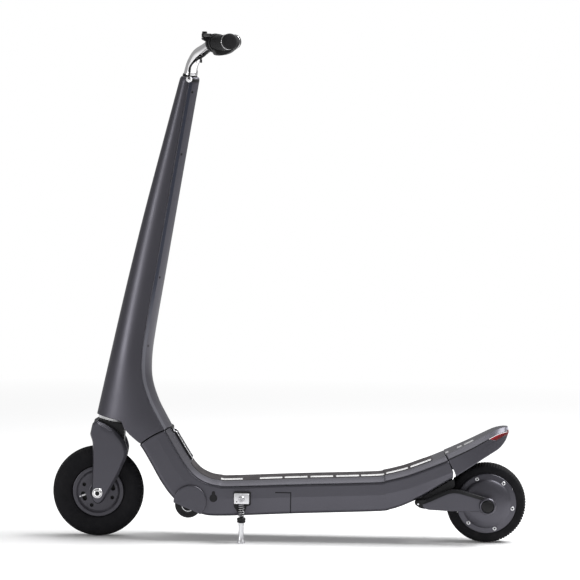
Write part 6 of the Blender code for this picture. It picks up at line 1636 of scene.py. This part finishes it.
@dataclass
class Fork:
    """The one-piece fork, with a broad slanted rim round each blade, its guard and the axle's nuts."""

    half_w: float = 0.05
    slot_half: float = 0.034
    slot_r: float = 0.108
    outline: Pairs = mm(
        (-10.5, -29), (-19, -38.5), (-44, -38.5), (-59.5, -29.2), (-101, -19.7), (-179, -4.5),
        (-189.5, 4), (-190.5, 14.5), (-182, 22.5), (-156, 31.5), (-118, 42.5), (-79, 50.5), (-60, 49.5),
        (-43.5, 40.5), (-32.2, 28.5), (-21.3, 12), (-14.5, -11))
    crown_outline: Pairs = mm(
        (-64, -26), (-44, -35.5), (-19, -35.5), (-8.5, -27), (-7.5, 24), (-11, 30), (-30, 34.5),
        (-60, 40.5))

    def rim(self) -> Array:
        """Return the blade's outline in side view as a smooth closed run."""
        corners = rounded_loop(self.outline, (0.0025, 0.0025, *([0.006] * (len(self.outline) - 3)), 0.003), 5)
        points = steer_points(corners[:, 0], corners[:, 1], np.zeros(len(corners)))
        return even(points[:, [0, 2]], 160)

    def blade(self, side: float) -> Piece:
        """Return one blade, whose slanted rim is widest behind and on top."""
        faces = (side * self.half_w, side * self.slot_half)
        return cast_plate("blade", self.rim(), *faces, 0.0024, 0.0058, 0.0066, (0.82, 0.57))

    def crown(self) -> Piece:
        """Return the bridge between the blades over the tyre: its own outline above the slot's arc."""
        s, q = np.array(self.crown_outline).T
        above = steer_points(s, q, np.zeros(len(s)))[:, [0, 2]]
        angle = np.degrees(np.arctan2(above[:, 1] - FRONT_AXLE[1], above[:, 0] - FRONT_AXLE[0]))
        under = arc(*FRONT_AXLE, self.slot_r, angle[-1], angle[0], 40)
        outer = even(np.concatenate([above, under]), 160)
        reach = self.slot_half + 0.002
        return closed_grid("crown", side_rings([(outer, -reach), (outer, reach)]), False, 30.0)

    def nut_sides(self, position: Array, angle: Array) -> Array:
        """Return the six faint sides of a nut's dome: a cosine of six turns at the dome's first corner."""
        return np.where(position == 1, 0.0005 * np.cos(6 * angle), 0.0)

    def build(self) -> None:
        """Build the fork, its crown in black as painted shade, its guard, the bearing's pale seal and the
        axle's nuts.
        """
        dress(merged("fork_casting", [self.blade(-1.0), self.blade(1.0)]), PAINT, Body.STEERING, "fork")
        # Painted shade: the crown belongs to the painted casting, but it is black to stand for its shadowed
        # inside between the blades.
        dress(self.crown(), BLACK, Body.STEERING)
        guard = block("fork_mudguard", (-0.3725, -0.032, 0.192), (-0.367, 0.032, 0.23), 0.0015)
        dress(guard, BLACK, Body.STEERING, "fork_guard")
        seal = rounded_mm(((23.5, -7), (30, -7, 0.5), (30.5, -6.4, 0.5), (30.5, -1.6, 0.5), (30, -1, 0.5),
                           (23.5, -1)), 3)
        dress(turned("bearing_seal", seal, 72, along_place(steer_point(0.0, 0.0), STEER_UP), True), WHITE,
              Body.STEERING)
        nuts, socket_shades = [], []
        for side in (-1.0, 1.0):
            y = side * self.half_w
            place = axle_place(*FRONT_AXLE, y, side)
            washer = mm((0, 0), (11.2, 0), (11.2, 0.8), (10.6, 1.4), (0, 1.4))
            nuts.append(turned("washer", washer, 48, place))
            # Painted shade: a black hexagon at the floor of each nut's socket.
            socket_shades.append(turned("socket", mm((0, 3.6), (4.2, 3.6), (4.2, 2.4), (0, 2.4)), 6, place))
            dome = rounded_mm(((0, 3), (4, 3, 0.4), (4.8, 5.8, 0.5), (7.2, 5.8, 2), (9.2, 4, 1.5),
                               (9.6, 1.4), (0, 1.2)))
            nuts.append(turned("nut", dome, 48, place, ripple=self.nut_sides))
        place = axle_place(*FRONT_AXLE)
        nuts.append(turned("axle", mm((0, -49.5), (4.9, -49.5), (4.9, 49.5), (0, 49.5)), 24, place))
        dress(merged("front_axle_nuts", nuts), CHROME, Body.STEERING, "front_axle")
        dress(merged("front_nut_socket_shades", socket_shades), BLACK, Body.STEERING)


@dataclass
class RearWheel:
    """The solid rear tyre round the domed hub motor, with its swing arm."""

    radius: float = 0.088
    half_w: float = 0.024
    hub_half: float = 0.026
    bulge: float = 0.013
    arm_outline: Pairs = mm(
        (288.5, 83.5), (303.5, 77.5), (350, 75.5), (433, 74.5), (447, 79), (454, 90), (446, 101),
        (370, 123), (349, 122.5), (290, 95.5))
    neck_outline: Pairs = mm((275, 96.2), (273.5, 90), (285, 81.5), (299, 79), (301, 97.5), (290, 100))
    pivot: tuple[float, float] = (0.2815, 0.0905)
    arm_outer: float = 0.0715
    cross_cuts: int = 84
    screws: int = 6
    screw_circle: float = 0.058

    def build(self) -> None:
        """Build the tyre, the hub, its screws, the arm and the axle's collars."""
        self.build_tyre()
        self.build_hub()
        self.build_arm()
        self.build_caps()

    def build_tyre(self) -> None:
        """Build the tyre with fine cross ribs: the radius drops where the sine of the turn is high."""
        r, w = self.radius, self.half_w
        run = [(0.0663, w - 0.0006), (0.07, w), (0.076, w), (0.0815, w - 0.0012), (0.085, w - 0.004),
               (0.087, w - 0.008)]
        flank = smooth_path(run, 5)
        crown_y = np.linspace(w - 0.0084, -(w - 0.0084), 41)
        crown = np.stack([r - 0.0009 * (crown_y / (w - 0.0084)) ** 2, crown_y], 1)
        profile = np.concatenate([flank, crown, flank[::-1] * np.array([1, -1])])
        radius, height = profile.T

        def ribs(position: Array, angle: Array) -> Array:
            """Sink slanted cross cuts into the tread that meet in the middle."""
            y = height[position]
            tread = np.clip((radius[position] - 0.0815) / 0.003, 0, 1)
            wave = np.sin(angle * self.cross_cuts + np.abs(y) * 140)
            return -0.0015 * tread * np.clip((wave - 0.1) * 3, 0, 1)

        piece = turned("rear_tyre_rubber", profile, 588, axle_place(*REAR_AXLE), True, 60.0, ribs)
        finish = TyreRubber(name="rear_tyre_rubber", axle=REAR_AXLE, tread_from=0.083)
        dress(piece, finish, Body.REAR_WHEEL, "rear_tyre")

    def dome(self) -> list[tuple[float, float]]:
        """Return the hub's side profile: a flat ring, a step up and a broad dome."""
        w, b = self.hub_half, self.bulge
        return [(0.066, w - 0.0036), (0.066, w - 0.0016), (0.0652, w - 0.0006), (0.064, w),
                (0.056, w + 0.0012), (0.0535, w + 0.0022),
                (0.0505, w + 0.0046), (0.0455, w + b * 0.56), (0.038, w + b * 0.78),
                (0.028, w + b * 0.92), (0.018, w + b), (0.008, w + b), (0.0072, w + b - 0.003)]

    def build_hub(self) -> None:
        """Build both sides of the hub with their rings of screws, a black disc of painted shade in each
        screw's socket.
        """
        for name, side, node in (("hub_side_left", -1.0, "hub_cover"), ("hub_side_right", 1.0, "hub_shell")):
            profile = smooth_path(self.dome(), 5)
            profile = np.concatenate([[(0.064, 0.0)], [(0.066, 0.0)], profile, [(0.0072, 0.02)]])
            piece = turned(name, profile, 144, axle_place(*REAR_AXLE, 0.0, side), True, 40.0)
            dress(piece, PAINT, Body.REAR_WHEEL, node)
            heads, socket_shades = [], []
            head = rounded_mm(((0, 0.6), (1.9, 0.6, 0.2), (2.1, 2.1, 0.2), (3.6, 2.1, 0.6), (4.5, 1, 0.4),
                               (4.6, -1), (0, -1)), 3)
            for k in range(self.screws):
                x, z = arc(*REAR_AXLE, self.screw_circle, 112.0 - 61.0 * k, 112.0 - 61.0 * k, 1)[0]
                place = axle_place(x, z, side * (self.hub_half + 0.0006), side)
                heads.append(turned("screw", head, 24, place))
                # Painted shade: a black disc at the floor of each screw's socket.
                socket = mm((0, 0.9), (1.8, 0.9), (1.8, 0.3), (0, 0.3))
                socket_shades.append(turned("socket", socket, 12, place))
            dress(merged(name + "_screws", heads), SILVER, Body.REAR_WHEEL)
            dress(merged(name + "_socket_shades", socket_shades), BLACK, Body.REAR_WHEEL)

    def build_arm(self) -> None:
        """Build the swing arm: two plates with a slanted rim, black pivot ends and a black bridge."""
        rim = even(rounded_loop(self.arm_outline, mm(6, 10, 20, 6, 6, 6, 10, 12, 6, 6), 6), 180)
        neck = even(rounded_loop(self.neck_outline, 0.0035, 4), 60)
        plates, ends, pins = [], [], []
        for side in (-1.0, 1.0):
            faces = (side * self.arm_outer, side * 0.0575)
            plates.append(cast_plate("plate", rim, *faces, 0.0012, 0.0062, 0.0036, (-0.2, 0.98)))
            ends.append(slab("end", neck, side * 0.07, side * 0.0578, 0.0014))
            pin = mm((0, 0), (2.2, 0), (2, 1), (0, 1.4))
            pins.append(turned("pin", pin, 20, axle_place(*self.pivot, side * 0.0722, side)))
        ends.append(block("bridge", (0.294, -0.058, 0.08), (0.334, 0.058, 0.0985), 0.003))
        casting = dress(merged("swing_arm_casting", plates), PAINT, Body.ARM, "swing_arm")
        casting.data.materials.append(BLACK.build())
        # Painted shade: the slanted rim's faces that point upwards take the black plastic, so the top edge
        # stays dark under light from above.
        faces = np.zeros((len(casting.data.polygons), 3), np.float32)
        casting.data.polygons.foreach_get("normal", faces.ravel())
        black = (faces[:, 2] > 0.22) & (abs(faces[:, 1]) > 0.05)
        casting.data.polygons.foreach_set("material_index", black.astype(np.int32))
        dress(merged("swing_arm_ends", ends), BLACK, Body.ARM)
        dress(merged("pivot_pin_centres", pins), SILVER, Body.ARM)

    def build_caps(self) -> None:
        """Build the axle's raised collars and their black plugs."""
        for side, tag in SIDES:
            name, place = "axle_collar_" + tag, axle_place(*REAR_AXLE, side * self.arm_outer, side)
            profile = rounded_mm(((0, 6), (13.8, 6, 1), (14.4, 8.5, 1), (16, 8.8, 2), (18.4, 6.6, 3),
                                  (19, 3, 2), (19, 0.3), (0, 0.3)), 5)
            dress(turned(name, profile, 80, place), PAINT, Body.ARM, "axle_cap_" + tag)
            plug = rounded_mm(((0, 11.2), (10, 10.4, 6), (13.7, 7.8, 2), (13.7, 5.8), (0, 5.8)), 6)
            dress(turned(name + "_plug", plug, 64, place), BLACK, Body.ARM)


@dataclass
class Handlebar:
    """The chrome bar, its grips, controls, lever and cable."""

    bar_r: float = 0.011
    end: tuple[float, float, float] = (-0.141, 0.256, 1.0925)
    sweep: float = math.radians(16.5)
    straight: float = 0.15
    rise: float = 0.005
    arm: Sequence[tuple[float, float, float]] = mm(
        (774.5, -0.5, 8), (782, -1, 10.5), (797, -0.5, 17.5), (819, 6, 33), (834, 19.5, 62))
    grip_rib_pitch: float = 0.0034
    cable_r: float = 0.0023
    tie_r: float = 0.0034
    pivot: tuple[float, float, float] = (0.131, -0.0215, 0.0165)
    lever: Sequence[tuple[float, float, float]] = mm(
        (131, -21.5, 16.5), (108, -25.5, 16), (75, -31, 15), (42, -34.5, 14), (22, -37, 13.5))
    cable: Sequence[tuple[float, float, float]] = mm(
        (-234.8, -26.2, 1010), (-234.5, -26.6, 1016.5), (-234, -29, 1026), (-232.5, -31.5, 1035),
        (-226.5, -36, 1044.5), (-215.5, -44.5, 1053), (-203, -57.5, 1060), (-196, -75.5, 1066),
        (-191, -95, 1070.5), (-186, -112, 1074))

    def axes(self, side: float) -> tuple[Vector, Vector, Vector, Vector]:
        """Return one end of the bar and its inward, rearward and upward directions."""
        end = Vector((self.end[0], side * self.end[1], self.end[2]))
        start = Vector((end.x - self.straight * math.tan(self.sweep),
                        side * (self.end[1] - self.straight), end.z - self.rise))
        inward = (start - end).normalized()
        back = (inward.cross(Vector((0, 0, 1))) * -side).normalized()
        over = (back.cross(inward) * -side).normalized()
        return end, inward, back, over

    def at(self, side: float, inboard: float, back: float = 0.0, over: float = 0.0) -> Vector:
        """Return a point by its distance in from the bar's end, and behind and above its middle line."""
        end, inward, rear, up = self.axes(side)
        return end + inward * inboard + rear * back + up * over

    def place(self, side: float) -> Matrix:
        """Return the placement of a turned piece whose axis runs inward along the bar."""
        return along_place(self.axes(side)[0], self.axes(side)[1])

    def build(self) -> None:
        """Build the bar, its plug, both hands' controls and the cable."""
        parts = []
        for side in (-1.0, 1.0):
            points = [steer_point(s, q, side * y) for s, q, y in self.arm]
            points.append(self.at(side, self.straight))
            path = smooth_path(points, 14)
            path = np.concatenate([path, [self.at(side, 0.075), self.at(side, 0.0035)]])
            swell = 1 + 0.32 * np.clip(1 - np.linspace(0, 1, len(path)) / 0.85, 0, 1) ** 1.3
            parts.append(swept("arm", path, circle(self.bar_r, 32), (0.3, 0.0, 1.0), swell))
        plug = rounded_mm(((0, 0), (15, 0), (15, 7, 3), (14, 14, 3), (9, 16, 3), (0, 16)), 5)
        parts.append(turned("plug", plug, 56, along_place(steer_point(0.7705, 0), STEER_UP)))
        dress(merged("chrome_bar", parts), CHROME, Body.STEERING, "handlebar")
        collar = rounded_mm(((13.8, 0), (16.6, 0, 0.6), (16.6, 5, 1), (15.6, 6.6, 0.8), (13.8, 6.6)), 4)
        dress(turned("stem_clamp_ring", collar, 64, along_place(steer_point(0.7652, 0), STEER_UP), True),
              BLACK, Body.STEERING, "stem_collar")
        for side, tag, paddle in ((-1.0, "left", Body.PADDLE_LEFT), (1.0, "right", Body.PADDLE_RIGHT)):
            self.build_grip(side, tag)
            self.build_paddle(side, tag, paddle)
            self.build_housing(side, tag)
        self.build_lever()
        self.build_cable()

    def build_grip(self, side: float, tag: str) -> None:
        """Build a grip: a domed end cap, a chrome ring, and a waisted sleeve with fine rings of ribs."""
        a = np.linspace(0.0145, 0.1035, 180)
        waist = 0.0156 + 0.0006 * np.cos((a - 0.0145) / 0.089 * 2 * math.pi)
        ends = np.clip((0.097 - a) / 0.002, 0, 1) * np.clip((a - 0.018) / 0.002, 0, 1)
        ribs = 0.00035 * np.clip(np.sin(a * 2 * math.pi / self.grip_rib_pitch) * 1.8, -1, 1) * ends
        sleeve = np.stack([waist + ribs, a], 1)
        cap = rounded_mm(((0, 0.2), (12.5, 0.2, 3), (16, 1.6, 2), (17, 3.4, 1), (17, 8.7), (15, 8.7),
                          (15, 14.3)), 5)
        profile = np.concatenate([cap, sleeve, [(0.0114, 0.104), (0.0114, 0.0036), (0.0, 0.0036)]])
        dress(turned("grip_sleeve_" + tag, profile, 64, self.place(side), angle=50.0), RUBBER,
              Body.STEERING, "grip_" + tag)
        ring = rounded_mm(((15.3, 11.4), (16.9, 11.4, 0.4), (17.3, 11.8, 0.4), (17.3, 13.4, 0.4),
                           (16.9, 13.8, 0.4), (15.3, 13.8)), 3)
        dress(turned("grip_end_ring_" + tag, ring, 64, self.place(side), True), CHROME, Body.STEERING,
              "grip_ring_" + tag)

    def carried(self, name: str, side: float, run: Array, rings: Pairs) -> Piece:
        """Carry an outline along the bar.

        Args:
            name: The piece's name.
            side: The side of the bar.
            run: The outline, as (rearward, upward) of the bar's middle line.
            rings: Each ring's distance in from the bar's end and its share of the outline's size.

        Returns:
            The closed piece.
        """
        middle = run.mean(0)
        rows = [[self.at(side, a, b, c) for b, c in middle + (run - middle) * share] for a, share in rings]
        return closed_grid(name, np.array(rows), False, 40.0)

    def hub_ribs(self, position: Array, angle: Array) -> Array:
        """Return the paddle hub's ribs: a cosine of 24 turns over the middle of its rim."""
        return np.where((position > 2) & (position < 12), 0.00025 * np.cos(24 * angle), 0.0)

    def build_paddle(self, side: float, tag: str, body: Body) -> None:
        """Build a thumb paddle: a ribbed hub ring and a curved blade below and behind the bar.

        The blade is a bent strip whose outline in (rearward, upward) is carried along the bar and rounded.
        """
        ring = rounded_mm(((11.4, 105), (17.8, 105, 0.4), (18.5, 105.7, 0.5), (18.5, 117, 0.5),
                           (17.8, 117.7, 0.4), (11.4, 117.7)), 3)
        hub = turned("hub", ring, 72, self.place(side), True, 40.0, self.hub_ribs)
        outline = mm(
            (-13, -13), (-5, -26.5), (8, -27.5), (21.5, -22.5), (34.5, -12.5), (33.5, -8.5),
            (22.5, -13.5), (12, -17.5), (4, -18))
        run = even(rounded_loop(outline, 0.004, 4), 90)
        rings = ((0.089, 0.05), (0.089, 0.9), (0.0897, 0.97), (0.0912, 1.0), (0.114, 1.0), (0.1158, 0.97),
                 (0.1167, 0.9), (0.1167, 0.05))
        blade = self.carried("blade", side, run, rings)
        dress(merged("paddle_" + tag, [hub, blade]), BLACK, body, "thumb_paddle_" + tag)

    def build_housing(self, side: float, tag: str) -> None:
        """Build a control housing with its wide inner flange, and the lever's perch on the left."""
        profile = rounded_mm(((11.4, 119), (19.2, 119, 1), (20.6, 120.3, 1), (20.6, 129, 1),
                              (19.2, 130.2, 1), (18.6, 135, 3), (15, 140.5, 3), (13.8, 142.8, 0.8),
                              (11.4, 143)), 4)
        parts = [turned("housing", profile, 72, self.place(side), True)]
        rib = rounded_mm(((19, 124.5), (20.3, 125, 0.3), (20.3, 126.2, 0.3), (19, 126.7)), 3)
        parts.append(turned("rib", rib, 72, self.place(side), True))
        if side < 0:
            a0, rear, up = self.pivot
            outline = ((rear - 0.0055, up - 0.0043), (rear - 0.0055, up - 0.0088),
                       (rear + 0.006, up - 0.0143), (-0.004, 0.002), (0.004, 0.013), (-0.004, 0.0175),
                       (rear + 0.0085, up - 0.0043))
            run = even(rounded_loop(outline, 0.002, 4), 70)
            ends = ((-0.0065, 0.05), (-0.0065, 0.93), (-0.0055, 1.0), (0.0055, 1.0), (0.0065, 0.93),
                    (0.0065, 0.05))
            parts.append(self.carried("perch", side, run, [(a0 + shift, share) for shift, share in ends]))
        dress(merged("control_body_" + tag, parts), BLACK, Body.STEERING, "control_housing_" + tag)

    def build_lever(self) -> None:
        """Build the brake lever: an oval section along its bend, fuller in the middle, with a ball end."""
        path = np.array([self.at(-1.0, *p) for p in smooth_path(self.lever, 14)])
        share = np.linspace(0, 1, len(path))
        thick = 0.003 + 0.0014 * np.sin(math.pi * np.minimum(1, share * 1.15) ** 1.4)
        ball = np.sqrt(np.clip(1 - ((share - 0.975) / 0.025) ** 2, 0, 1))
        size = np.where(share > 0.975, ball * 0.9 + 0.02, 1.0)
        up = self.axes(-1.0)[3]
        section = np.stack([thick * size, 0.004 * (1 - 0.2 * share) * size], 1)
        blade = swept("blade", path, circle(1.0, 24), up, section)
        boss_at = self.at(-1.0, self.pivot[0], self.pivot[1], self.pivot[2] - 0.004)
        barrel = rounded_mm(((0, 0), (6.5, 0, 0.8), (6.5, 8, 0.8), (0, 8)), 3)
        boss = turned("boss", barrel, 40, along_place(boss_at, up))
        dress(merged("brake_lever_blade", [blade, boss]), BLACK, Body.LEVER, "brake_lever")
        knob_at = self.at(-1.0, *self.pivot)
        knob = rounded_mm(((0, 7), (2, 7, 0.3), (2.5, 8.4, 0.3), (4.6, 8.4, 0.6), (5.5, 7.4, 0.6),
                           (5.5, 4.3), (0, 4.3)), 3)
        pin = mm((0, -8.5), (2.4, -8.5), (2.4, 4.3), (0, 4.3))
        place = along_place(knob_at, up)
        screw = merged("perch_screw", [turned("knob", knob, 40, place), turned("pin", pin, 20, place)])
        dress(screw, BLACK, Body.STEERING, "lever_screw")

    def build_cable(self) -> None:
        """Build the control cable from the grommet to the left housing, with its tie."""
        path = smooth_path(self.cable, 10)
        piece = swept("brake_cable", path, circle(self.cable_r, 20), (1.0, 0.2, 0.0), angle=60.0)
        piece.data.materials.append(RUBBER.build())
        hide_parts("control_cable")
        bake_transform(piece)
        LOG.info("brake_cable bends between mast and steering")
        self.build_tie()

    def build_tie(self) -> None:
        """Build the black tie round the cable, with its head below."""
        centre = Vector(self.cable[5]) * 0.55 + Vector(self.cable[6]) * 0.45
        ahead = (Vector(self.cable[6]) - Vector(self.cable[5])).normalized()
        over = Vector((0, 0, 1))
        over = (over - ahead * over.dot(ahead)).normalized()
        across = ahead.cross(over)
        turn = np.linspace(0, 2 * math.pi, 40, endpoint=False)
        loop = np.outer(np.cos(turn) * self.tie_r, across) + np.outer(np.sin(turn) * self.tie_r, over)
        rows = []
        for shift, grow in ((-0.0013, 0.0), (0.0013, 0.0), (0.0013, 0.0009), (-0.0013, 0.0009)):
            rows.append(np.array(centre) + loop * (1 + grow / self.tie_r) + np.array(ahead) * shift)
        band = closed_grid("band", np.stack(rows), True, 40.0)
        low = centre - over * 0.0078
        head = block("head", low - Vector((0.0022, 0.0022, 0.0036)),
                     low + Vector((0.0022, 0.0022, 0.004)), 0.0006)
        dress(merged("cable_tie_band", [band, head]), BLACK, Body.STEERING)


@dataclass
class Kickstand:
    """The kickstand: a silver head on a black plate, a sprung black rod and a silver leg with a foot."""

    x: float = -0.1045
    z: float = 0.098
    y: float = -0.0858
    wall: float = -0.0723
    spring_ends: tuple[float, float] = (0.0572, 0.0858)
    spring_turns: float = 6.0
    spring_r: float = 0.0064
    plate: Pairs = mm(
        (-122.2, 111.2), (-84.6, 111.2), (-84.6, 82.2), (-93.5, 79.5), (-97, 66.5), (-113.5, 66.5),
        (-121.5, 78.5))

    def build(self) -> None:
        """Build the plate, head, bolt, rod, spring and leg."""
        x, z, y = self.x, self.z, self.y
        rim = even(rounded_loop(self.plate, 0.002, 4), 90)
        plate = slab("stand_back_plate", rim, self.wall - 0.004, self.wall, 0.0012)
        dress(plate, BLACK, Body.DECK, "stand_plate")
        low, high = (x - 0.0165, y - 0.009, z - 0.011), (x + 0.0165, y + 0.009, z + 0.011)
        head = block("stand_hinge_block", low, high, 0.0016, 4)
        dress(head, SILVER, Body.KICKSTAND, "stand_head")
        bolt_y = y - 0.009
        button = rounded_mm(((0, 1.6), (2.2, 1.6, 0.3), (2.6, 3.8, 0.3), (5, 3.8, 1.4), (6.6, 2, 0.8),
                             (6.8, 0.3), (0, 0.3)), 4)
        dress(turned("stand_pivot_screw", button, 40, axle_place(x, z, bolt_y, -1.0)), STEEL, Body.DECK,
              "stand_bolt")
        small = rounded_mm(((0, 1), (1.2, 1, 0.2), (1.4, 0.2), (0, 0.2)), 2)
        dress(turned("stand_grub_screw", small, 20, axle_place(x - 0.0105, z - 0.0062, bolt_y, -1.0)),
              BLACK, Body.KICKSTAND)
        upright = Matrix.Translation((x, y, 0.0))
        rod = rounded_mm(((0, 45.2), (8.5, 45.2, 0.6), (9.5, 46.2, 0.6), (9.5, 48, 0.3), (8.8, 48.6, 0.3),
                          (8.8, 49.6, 0.3), (9.5, 50.2, 0.3), (9.5, 54.8, 0.8), (8, 56, 0.8), (4.5, 56),
                          (4.5, 86.2), (0, 86.2)), 3)
        dress(turned("stand_black_rod", rod, 56, upright), BLACK, Body.KICKSTAND, "stand_rod")
        leg = rounded_mm(((0, 0), (8.2, 0, 0.8), (9.5, 1.2, 1), (9.3, 3.4, 2), (6.6, 8.8, 4),
                          (5.6, 15, 4), (5.6, 39, 0.6), (6.2, 40, 0.6), (6.2, 44.7, 0.4), (0, 44.7)), 5)
        dress(turned("stand_silver_leg", leg, 56, upright), SILVER, Body.KICKSTAND, "stand_leg")
        self.build_spring()

    def build_spring(self) -> None:
        """Build the return spring: a circle of cosine and sine that rises evenly with the turn."""
        low, high = self.spring_ends
        at = np.linspace(0, 1, int(self.spring_turns * 28) + 1)
        turn = 2 * math.pi * self.spring_turns * at
        x, y = self.x + self.spring_r * np.cos(turn), self.y + self.spring_r * np.sin(turn)
        path = np.stack([x, y, low + (high - low) * at], 1)
        piece = swept("stand_return_spring", path, circle(0.0009, 12), (0.0, 0.0, 1.0), angle=60.0)
        dress(piece, STEEL, Body.KICKSTAND, "stand_spring")


@dataclass
class Trolley:
    """The two small wheels under the neck with their round side covers."""

    wheel: tuple[float, float] = (-0.2215, 0.08)
    cover_r: float = 0.036
    wheel_r: float = 0.029

    def build(self) -> None:
        """Build the covers and wheels of both sides."""
        for side, tag, body in ((-1.0, "left", Body.TROLLEY_LEFT), (1.0, "right", Body.TROLLEY_RIGHT)):
            run = even(arc(*TROLLEY, self.cover_r, -50.0, 184.0, 120), 150)
            cover = slab("trolley_side_disc_" + tag, run, side * 0.0783, side * 0.0738, 0.0026, steps=6)
            dress(cover, PAINT, Body.DECK, "trolley_cover_" + tag)
            face = rounded_mm(((0, 0.9), (6, 0.9, 0.4), (7, 0.3, 0.4), (20, 0.3, 0.4), (21.5, 1.1, 0.4),
                               (26, 1.1, 0.8), (28, 0), (0, 0)), 3)
            dress(turned("trolley_roller_face_" + tag, face, 64,
                         axle_place(*self.wheel, side * 0.0724, side)), RUBBER, body)
            hoop = rounded_mm(((12.6, 0), (12.6, 0.9, 0.3), (14.2, 0.9, 0.3), (14.2, 0)), 3)
            dress(turned("trolley_hoop_" + tag, hoop, 72, axle_place(*self.wheel, side * 0.0726, side),
                         True), SILVER, body)
            r = self.wheel_r
            half = rounded(((0.0043, 0.0088), (0.0105, 0.0088), (0.011, 0.0062), (0.02, 0.0062),
                            (0.0215, 0.0085), (r - 0.003, 0.0088), (r, 0.006), (r, 0.0)),
                           (0, 0.0006, 0.0005, 0.0005, 0.001, 0.001, 0.002, 0), 4)
            profile = np.concatenate([half, half[-2::-1] * np.array([1, -1])])
            wheel = turned("trolley_roller_" + tag, profile, 80, axle_place(*self.wheel, side * 0.06), True)
            dress(wheel, RUBBER, body, "trolley_wheel_" + tag)
            bush = rounded_mm(((4.3, 9.1), (8.5, 9.1, 0.2), (9, 8.8, 0.2), (4.3, 8.5)), 2)
            dress(turned("trolley_bush_" + tag, bush, 48, axle_place(*self.wheel, side * 0.06, side),
                         True), STEEL, body)


@dataclass
class Carried:
    """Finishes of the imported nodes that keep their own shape."""

    finishes: dict[str, Finish]

    def build(self) -> None:
        """Give each kept node its finish."""
        for name, finish in self.finishes.items():
            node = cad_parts[name]
            node.data.materials.clear()
            node.data.materials.append(finish.build())
            LOG.info("%s keeps its shape, in %s", name, finish.name)


@dataclass
class Studio:
    """The floor, the lights and the camera."""

    target: tuple[float, float, float] = (-0.0065, 0.0, 0.55)
    distance: float = 7.5
    pitch: float = 4.1
    roll: float = 0.96
    width: float = 1.275

    def build(self) -> None:
        """Build the floor, the world, the lamps and the camera."""
        corners = np.array([(-9, -9, 0), (9, -9, 0), (9, 9, 0), (-9, 9, 0)], float)
        floor = mesh_object("studio_floor", corners, [(0, 1, 2, 3)])
        floor.data.materials.append(FloorCard().build())
        self.build_world()
        self.lamp("front_softbox", (-3.2, -2.3, 1.0), (-0.35, 0.0, 0.4), (0.9, 1.5), 36.0)
        self.lamp("side_softbox", (2.0, 0.3, 3.0), (0.0, 0.0, 0.35), (2.2, 2.2), 180.0)
        self.lamp("top_softbox", (0.0, 1.3, 3.0), (0.0, 0.0, 0.2), (2.4, 1.4), 26.0)
        self.build_camera()
        bpy.context.scene.view_settings.view_transform = "Standard"

    def build_world(self) -> None:
        """Light the scene evenly from a grey world, which the camera alone sees as white."""
        world = bpy.data.worlds.new("studio_world")
        bpy.context.scene.world = world
        world.use_nodes = True
        tree = world.node_tree
        background = tree.nodes["Background"]
        path = tree.nodes.new("ShaderNodeLightPath")
        reach = tree.nodes.new("ShaderNodeMapRange")
        reach.inputs["To Min"].default_value = 0.37
        reach.inputs["To Max"].default_value = 1.0
        tree.links.new(path.outputs["Is Camera Ray"], reach.inputs["Value"])
        background.inputs["Color"].default_value = (1.0, 1.0, 1.0, 1.0)
        tree.links.new(reach.outputs[0], background.inputs["Strength"])

    def lamp(self, name: str, at: Sequence[float], aim: Sequence[float], size: tuple[float, float],
             power: float) -> None:
        """Build one rectangular softbox."""
        data = bpy.data.lights.new(name, "AREA")
        data.shape = "RECTANGLE"
        data.size, data.size_y = size
        data.energy = power
        lamp = bpy.data.objects.new(name, data)
        lamp.location = at
        lamp.rotation_euler = (Vector(aim) - Vector(at)).to_track_quat("-Z", "Y").to_euler()
        bpy.context.scene.collection.objects.link(lamp)

    def build_camera(self) -> None:
        """Build the long lens camera on the scooter's left."""
        data = bpy.data.cameras.new("studio_camera")
        data.sensor_width = 36.0
        data.sensor_fit = "HORIZONTAL"
        data.lens = 36.0 * self.distance / self.width
        data.clip_end = 60.0
        camera = bpy.data.objects.new("studio_camera", data)
        tilt = math.radians(self.pitch)
        target = Vector(self.target)
        camera.location = target + Vector((0.0, -math.cos(tilt), math.sin(tilt))) * self.distance
        turn = (target - camera.location).to_track_quat("-Z", "Y").to_matrix().to_4x4()
        camera.rotation_euler = (turn @ Matrix.Rotation(math.radians(self.roll), 4, "Z")).to_euler()
        bpy.context.scene.collection.objects.link(camera)
        bpy.context.scene.camera = camera


def main() -> None:
    """Build the scooter's looks in order."""
    logging.basicConfig(level=logging.INFO, format="%(message)s")
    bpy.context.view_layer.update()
    Studio().build()
    for part in (Mast(), Deck(), Tail(), FrontWheel(), Fork(), RearWheel(), Handlebar(), Kickstand(),
                 Trolley()):
        LOG.info("building %s", type(part).__name__)
        part.build()
    Carried({
        "mast_base": BLACK, "neck_block": BLACK, "lower_bearing": SILVER, "fold_pin": STEEL,
        "rear_bulkhead": BLACK, "battery_pack": FILM, "controller_box": SILVER, "trolley_axle": STEEL,
        "arm_pivot_pin": BLACK,
        "suspension_rubber": RUBBER, "rear_axle": STEEL, "hub_stator": COPPER, "tail_bracket": BLACK,
        "brake_pad": RUBBER,
        "steering_tube": STEEL,
    }).build()
    bpy.context.view_layer.update()


if __name__ == "__main__":
    main()
